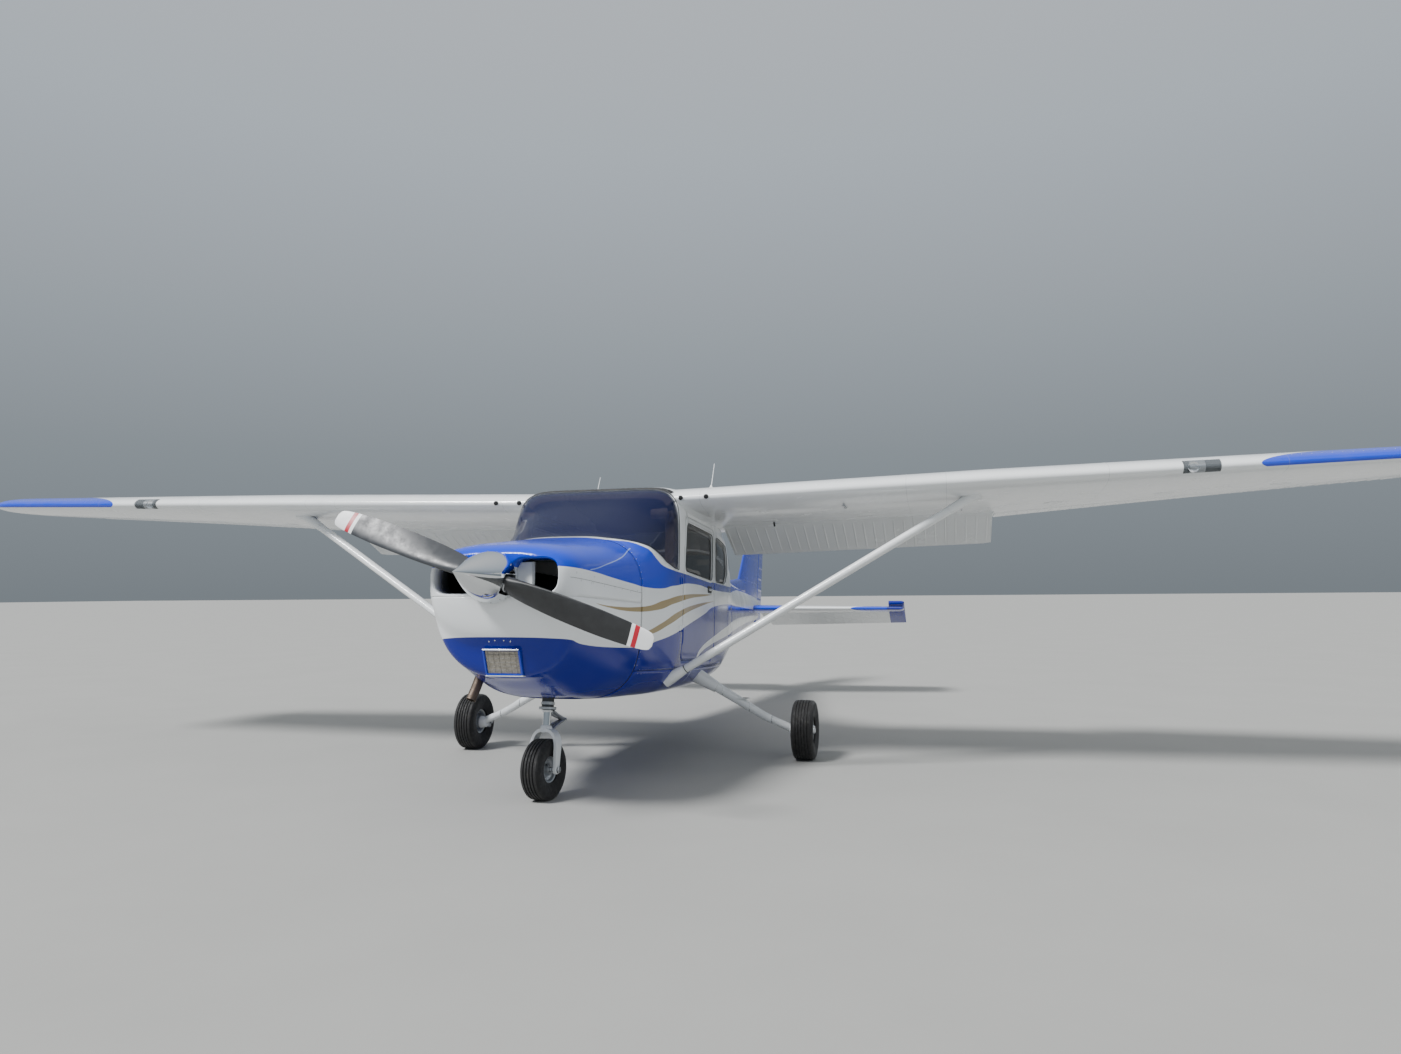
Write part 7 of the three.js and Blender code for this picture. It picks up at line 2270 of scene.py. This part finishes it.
def make_trims():
    """Posts beside the windshield and an arch over it, vent cylinders in the top corners,
    the rear bulkhead and sun visors."""
    line = on_side([[1.835, 1.40], [1.846, 1.60], [1.856, 1.80], [1.86, 1.85]], -0.058)
    corner = rounded([[-0.034, -0.034], [0.034, -0.034], [0.034, 0.034], [-0.034, 0.034]], 0.012,
        4)
    posts = on_both(sweep(smooth_path(line, 20), corner, 1.0, Y))
    angle = linspace(radians(52), radians(128), 40)
    stations = full(40, 1.885)
    arch = body_point(stations, angle, 0.040)
    posts.append(sweep(arch, rounded([[-0.03, -0.012], [0.03, -0.012], [0.03, 0.012],
        [-0.03, 0.012]], 0.006, 4), 1.0, Y))
    piece("windshield_posts", posts, "beige", crease=50)
    vents = []
    for side in SIDES:
        spot = body_point(array([1.80]), side_angle(array([1.80]), array([1.83])), 0.050)[0]
        vent = lathe([[0, 0.026], [0.004, 0.033], [0.03, 0.034], [0.10, 0.034], [0.112, 0.030],
            [0.118, 0.018]], spot * [side, 1, 1] + [side * 0.016, 0, 0], (-side, -0.25, -0.1), 32,
            Z)
        vents.append(vent)
    piece("cabin_vents", vents, "beige", crease=35)
    ring = body_point(full(96, 3.90), linspace(0, 2 * pi, 97)[:-1], 0.032)
    ring = ring[ring[:, 2] < 1.66]
    rows = stack([ring, ring + [0, 0.012, 0]])
    piece("baggage_wall", surface(rows, True, True), "trim", nodes="baggage_bulkhead", crease=35)
    visors = [block((side * 0.12, 1.93, 1.925), (side * 0.42, 2.06, 1.931), 0.002,
        0.02) for side in SIDES]
    piece("sun_visors", visors, "vinyl", crease=40)


# Settings, operators and panel

COLOUR = {"size": 4, "subtype": "COLOR", "min": 0, "max": 1}
LENGTH = {"subtype": "DISTANCE", "unit": "LENGTH", "min": 0.0005, "precision": 4}


class AircraftPaint(PropertyGroup):
    """Colours of the paint scheme, one a darker copy of the top blue as painted shade."""

    top_blue: FloatVectorProperty(name="Top blue", description="Upper body, fin and wing tips",
                                  default=tone("#0a3ccc"), **COLOUR)
    # Painted shade: a darker copy of the top blue for the upper band on the body's shaded side
    band_blue_painted_shade: FloatVectorProperty(name="Band blue in painted shade", description="Upper band aft of the doors",
                                   default=tone("#0628a0"), **COLOUR)
    belly_blue: FloatVectorProperty(name="Belly blue", description="Swept lower colour",
                                    default=tone("#031b88"), **COLOUR)
    gold: FloatVectorProperty(name="Gold", description="Thin stripes between the bands",
                              default=tone("#9a8658"), **COLOUR)


class AircraftSizes(PropertyGroup):
    """Sizes of the walls and of the details on the skins."""

    cabin_wall: FloatProperty(name="Cabin wall", description="Skin with its lining",
                              default=0.028, **LENGTH)
    glass: FloatProperty(name="Glass", description="Thickness of the acrylic sheets",
                         default=0.005, **LENGTH)
    rivet: FloatProperty(name="Rivet", description="Radius of a rivet's head", default=0.0028,
                         **LENGTH)
    bead: FloatProperty(name="Bead height", description="Height of the beads pressed into the "
                        "flaps, ailerons, rudder and elevator", default=0.0036, **LENGTH)
    bead_pitch: FloatProperty(name="Bead pitch", description="Distance between the beads of the "
                              "flaps and ailerons", default=0.076, **LENGTH)
    piping: FloatProperty(name="Piping", description="Radius of the cord round a cushion",
                          default=0.0045, **LENGTH)
    aerial: FloatProperty(name="Aerial", description="Height of the whip aerials on the roof",
                          default=0.20, **LENGTH)


class AircraftStage(PropertyGroup):
    """The floor, light and lens round the aircraft."""

    floor: FloatVectorProperty(name="Floor", description="Colour of the floor",
                               default=tone("#9e9e9b"), **COLOUR)
    light: FloatProperty(name="Key light", description="Strength of the main lamp", default=5.2,
                         min=0)
    fill: FloatProperty(name="Fill light", description="Strength of the softer lamp",
                        default=0.35, min=0)
    sky: FloatProperty(name="Surround", description="Strength of the light all round",
                       default=0.8, min=0)
    lens: FloatProperty(name="Lens", description="Focal length", default=24.941, min=1,
                        subtype="DISTANCE_CAMERA")


class AIRCRAFT_OT_finishes(Operator):
    """Makes the paints, metals, plastics, glass and cloths"""
    bl_idname = "aircraft.finishes"
    bl_label = "Finishes"

    def execute(self, context):
        make_finishes(context.scene.aircraft_paint)
        return {"FINISHED"}


class AIRCRAFT_OT_cowl(Operator):
    """Adds the cowl, its air filter, the engine and the exhaust"""
    bl_idname = "aircraft.cowl"
    bl_label = "Cowl and engine"

    def execute(self, context):
        make_cowl()
        make_filter()
        make_engine()
        return {"FINISHED"}


class AIRCRAFT_OT_body(Operator):
    """Adds the cabin shell, glass, doors and tail cone"""
    bl_idname = "aircraft.body"
    bl_label = "Body"

    def execute(self, context):
        make_cabin()
        make_glass()
        make_door_parts(1, "left")
        make_door_parts(-1, "right")
        make_hatch()
        make_tailcone()
        body_rivets()
        make_body_fittings()
        return {"FINISHED"}


class AIRCRAFT_OT_wings(Operator):
    """Adds both wings with their ailerons, flaps and struts"""
    bl_idname = "aircraft.wings"
    bl_label = "Wings"

    def execute(self, context):
        for side, name in ((1, "left"), (-1, "right")):
            make_wing(side, name)
            make_aileron(side, name)
            make_flap(side, name)
            make_strut(side, name)
        make_antennas()
        return {"FINISHED"}


class AIRCRAFT_OT_tail(Operator):
    """Adds the fin, rudder, tailplane and elevator"""
    bl_idname = "aircraft.tail"
    bl_label = "Tail"

    def execute(self, context):
        make_fin()
        make_rudder()
        make_tailplane()
        make_elevator()
        return {"FINISHED"}


class AIRCRAFT_OT_gear(Operator):
    """Adds the legs, wheels and tyres"""
    bl_idname = "aircraft.gear"
    bl_label = "Undercarriage"

    def execute(self, context):
        make_main_leg(1, "left")
        make_main_leg(-1, "right")
        make_nose_gear()
        make_wheels()
        return {"FINISHED"}


class AIRCRAFT_OT_propeller(Operator):
    """Adds the propeller and its spinner"""
    bl_idname = "aircraft.propeller"
    bl_label = "Propeller"

    def execute(self, context):
        make_propeller()
        return {"FINISHED"}


class AIRCRAFT_OT_cabin(Operator):
    """Adds the panel, control wheels, trims and seats"""
    bl_idname = "aircraft.cabin"
    bl_label = "Cabin"

    def execute(self, context):
        make_panel()
        make_trims()
        for row in SEATS:
            make_seat(*row)
        return {"FINISHED"}


class AIRCRAFT_OT_stage(Operator):
    """Adds the floor, soft lights and the camera at the photograph's angle"""
    bl_idname = "aircraft.stage"
    bl_label = "Stage"

    def execute(self, context):
        make_stage(context.scene, context.scene.aircraft_stage)
        return {"FINISHED"}


def make_stage(scene, look):
    """A floor, a soft surround, two soft sun lamps, and the camera found from the photograph."""
    mesh = bpy.data.meshes.new("floor")
    low, far = CAD_BOX[0][2], 240.0
    mesh.from_pydata([(-far, -far, low), (far, -far, low), (far, far, low), (-far, far, low)], [],
                     [(0, 1, 2, 3)])
    # Pale matt floor, mottled very faintly
    mesh.materials.append(finish_of("floor_matt", tuple(look.floor), 0.7, 0.0,
                                    (0.94, 900, 0.3, 0.8)))
    floor = bpy.data.objects.new("floor", mesh)
    scene.collection.objects.link(floor)
    world = bpy.data.worlds.new("surround")
    world.use_nodes = True
    tree = world.node_tree
    shade = tree.nodes["Background"]
    rise = add(tree, "SeparateXYZ", [add(tree, "TexCoord", out="Generated")], 2)
    ramp = add(tree, "ValToRGB", [rise])
    stops = ramp.node.color_ramp.elements
    stops[0].color, stops[1].color = tone("#868f96"), tone("#ffffff")
    for place, colour in ((0.14, "#9ba5ad"), (0.42, "#ccd6e0")):
        stops.new(place).color = tone(colour)
    tree.links.new(ramp, shade.inputs["Color"])
    shade.inputs["Strength"].default_value = look.sky
    scene.world = world
    for name, power, spread, toward in (("key", look.light, 14, (0.55, 0.72, -1.05)),
                                        ("fill", look.fill, 60, (-0.9, 0.5, -0.8))):
        data = bpy.data.lights.new(name, "SUN")
        data.energy = power
        data.angle = math.radians(spread)
        lamp = bpy.data.objects.new(name, data)
        lamp.rotation_euler = Vector(toward).to_track_quat("-Z", "Y").to_euler()
        scene.collection.objects.link(lamp)
    data = bpy.data.cameras.new("photograph")
    data.sensor_width = 36.0
    data.lens = look.lens
    data.clip_end = 300
    camera = bpy.data.objects.new("photograph", data)
    az, el, roll = (math.radians(a) for a in (14.107, 3.859, -0.458))
    ahead = Vector((-math.sin(az) * math.cos(el), math.cos(az) * math.cos(el), math.sin(el)))
    turn = ahead.to_track_quat("-Z", "Y").to_matrix() @ Matrix.Rotation(roll, 3, "Z")
    camera.matrix_world = Matrix.Translation((2.309, -8.4511, 1.201)) @ turn.to_4x4()
    scene.collection.objects.link(camera)
    scene.camera = camera


CLASSES = [AircraftPaint, AircraftSizes, AircraftStage, AIRCRAFT_OT_finishes, AIRCRAFT_OT_cowl,
           AIRCRAFT_OT_body, AIRCRAFT_OT_wings, AIRCRAFT_OT_tail, AIRCRAFT_OT_gear,
           AIRCRAFT_OT_propeller, AIRCRAFT_OT_cabin, AIRCRAFT_OT_stage]
STEPS = ["finishes", "stage", "cowl", "body", "wings", "tail", "gear", "propeller", "cabin"]


class AIRCRAFT_PT_sidebar(Panel):
    """Lists the steps and the settings"""
    bl_label = "Light Aircraft"
    bl_space_type = "VIEW_3D"
    bl_region_type = "UI"
    bl_category = "Aircraft"

    def draw(self, context):
        for step in STEPS:
            self.layout.operator(f"aircraft.{step}")
        scene = context.scene
        for group in (scene.aircraft_paint, scene.aircraft_sizes, scene.aircraft_stage):
            for key in group.__annotations__:
                self.layout.prop(group, key)


def register():
    for one in [*CLASSES, AIRCRAFT_PT_sidebar]:
        bpy.utils.register_class(one)
    bpy.types.Scene.aircraft_paint = PointerProperty(type=AircraftPaint)
    bpy.types.Scene.aircraft_sizes = PointerProperty(type=AircraftSizes)
    bpy.types.Scene.aircraft_stage = PointerProperty(type=AircraftStage)


def unregister():
    del bpy.types.Scene.aircraft_stage
    del bpy.types.Scene.aircraft_sizes
    del bpy.types.Scene.aircraft_paint
    for one in reversed([*CLASSES, AIRCRAFT_PT_sidebar]):
        bpy.utils.unregister_class(one)


def main():
    """Registers the add-on's classes and runs its steps in order."""
    register()
    for step in STEPS:
        getattr(bpy.ops.aircraft, step)()
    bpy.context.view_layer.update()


if __name__ == "__main__":
    main()
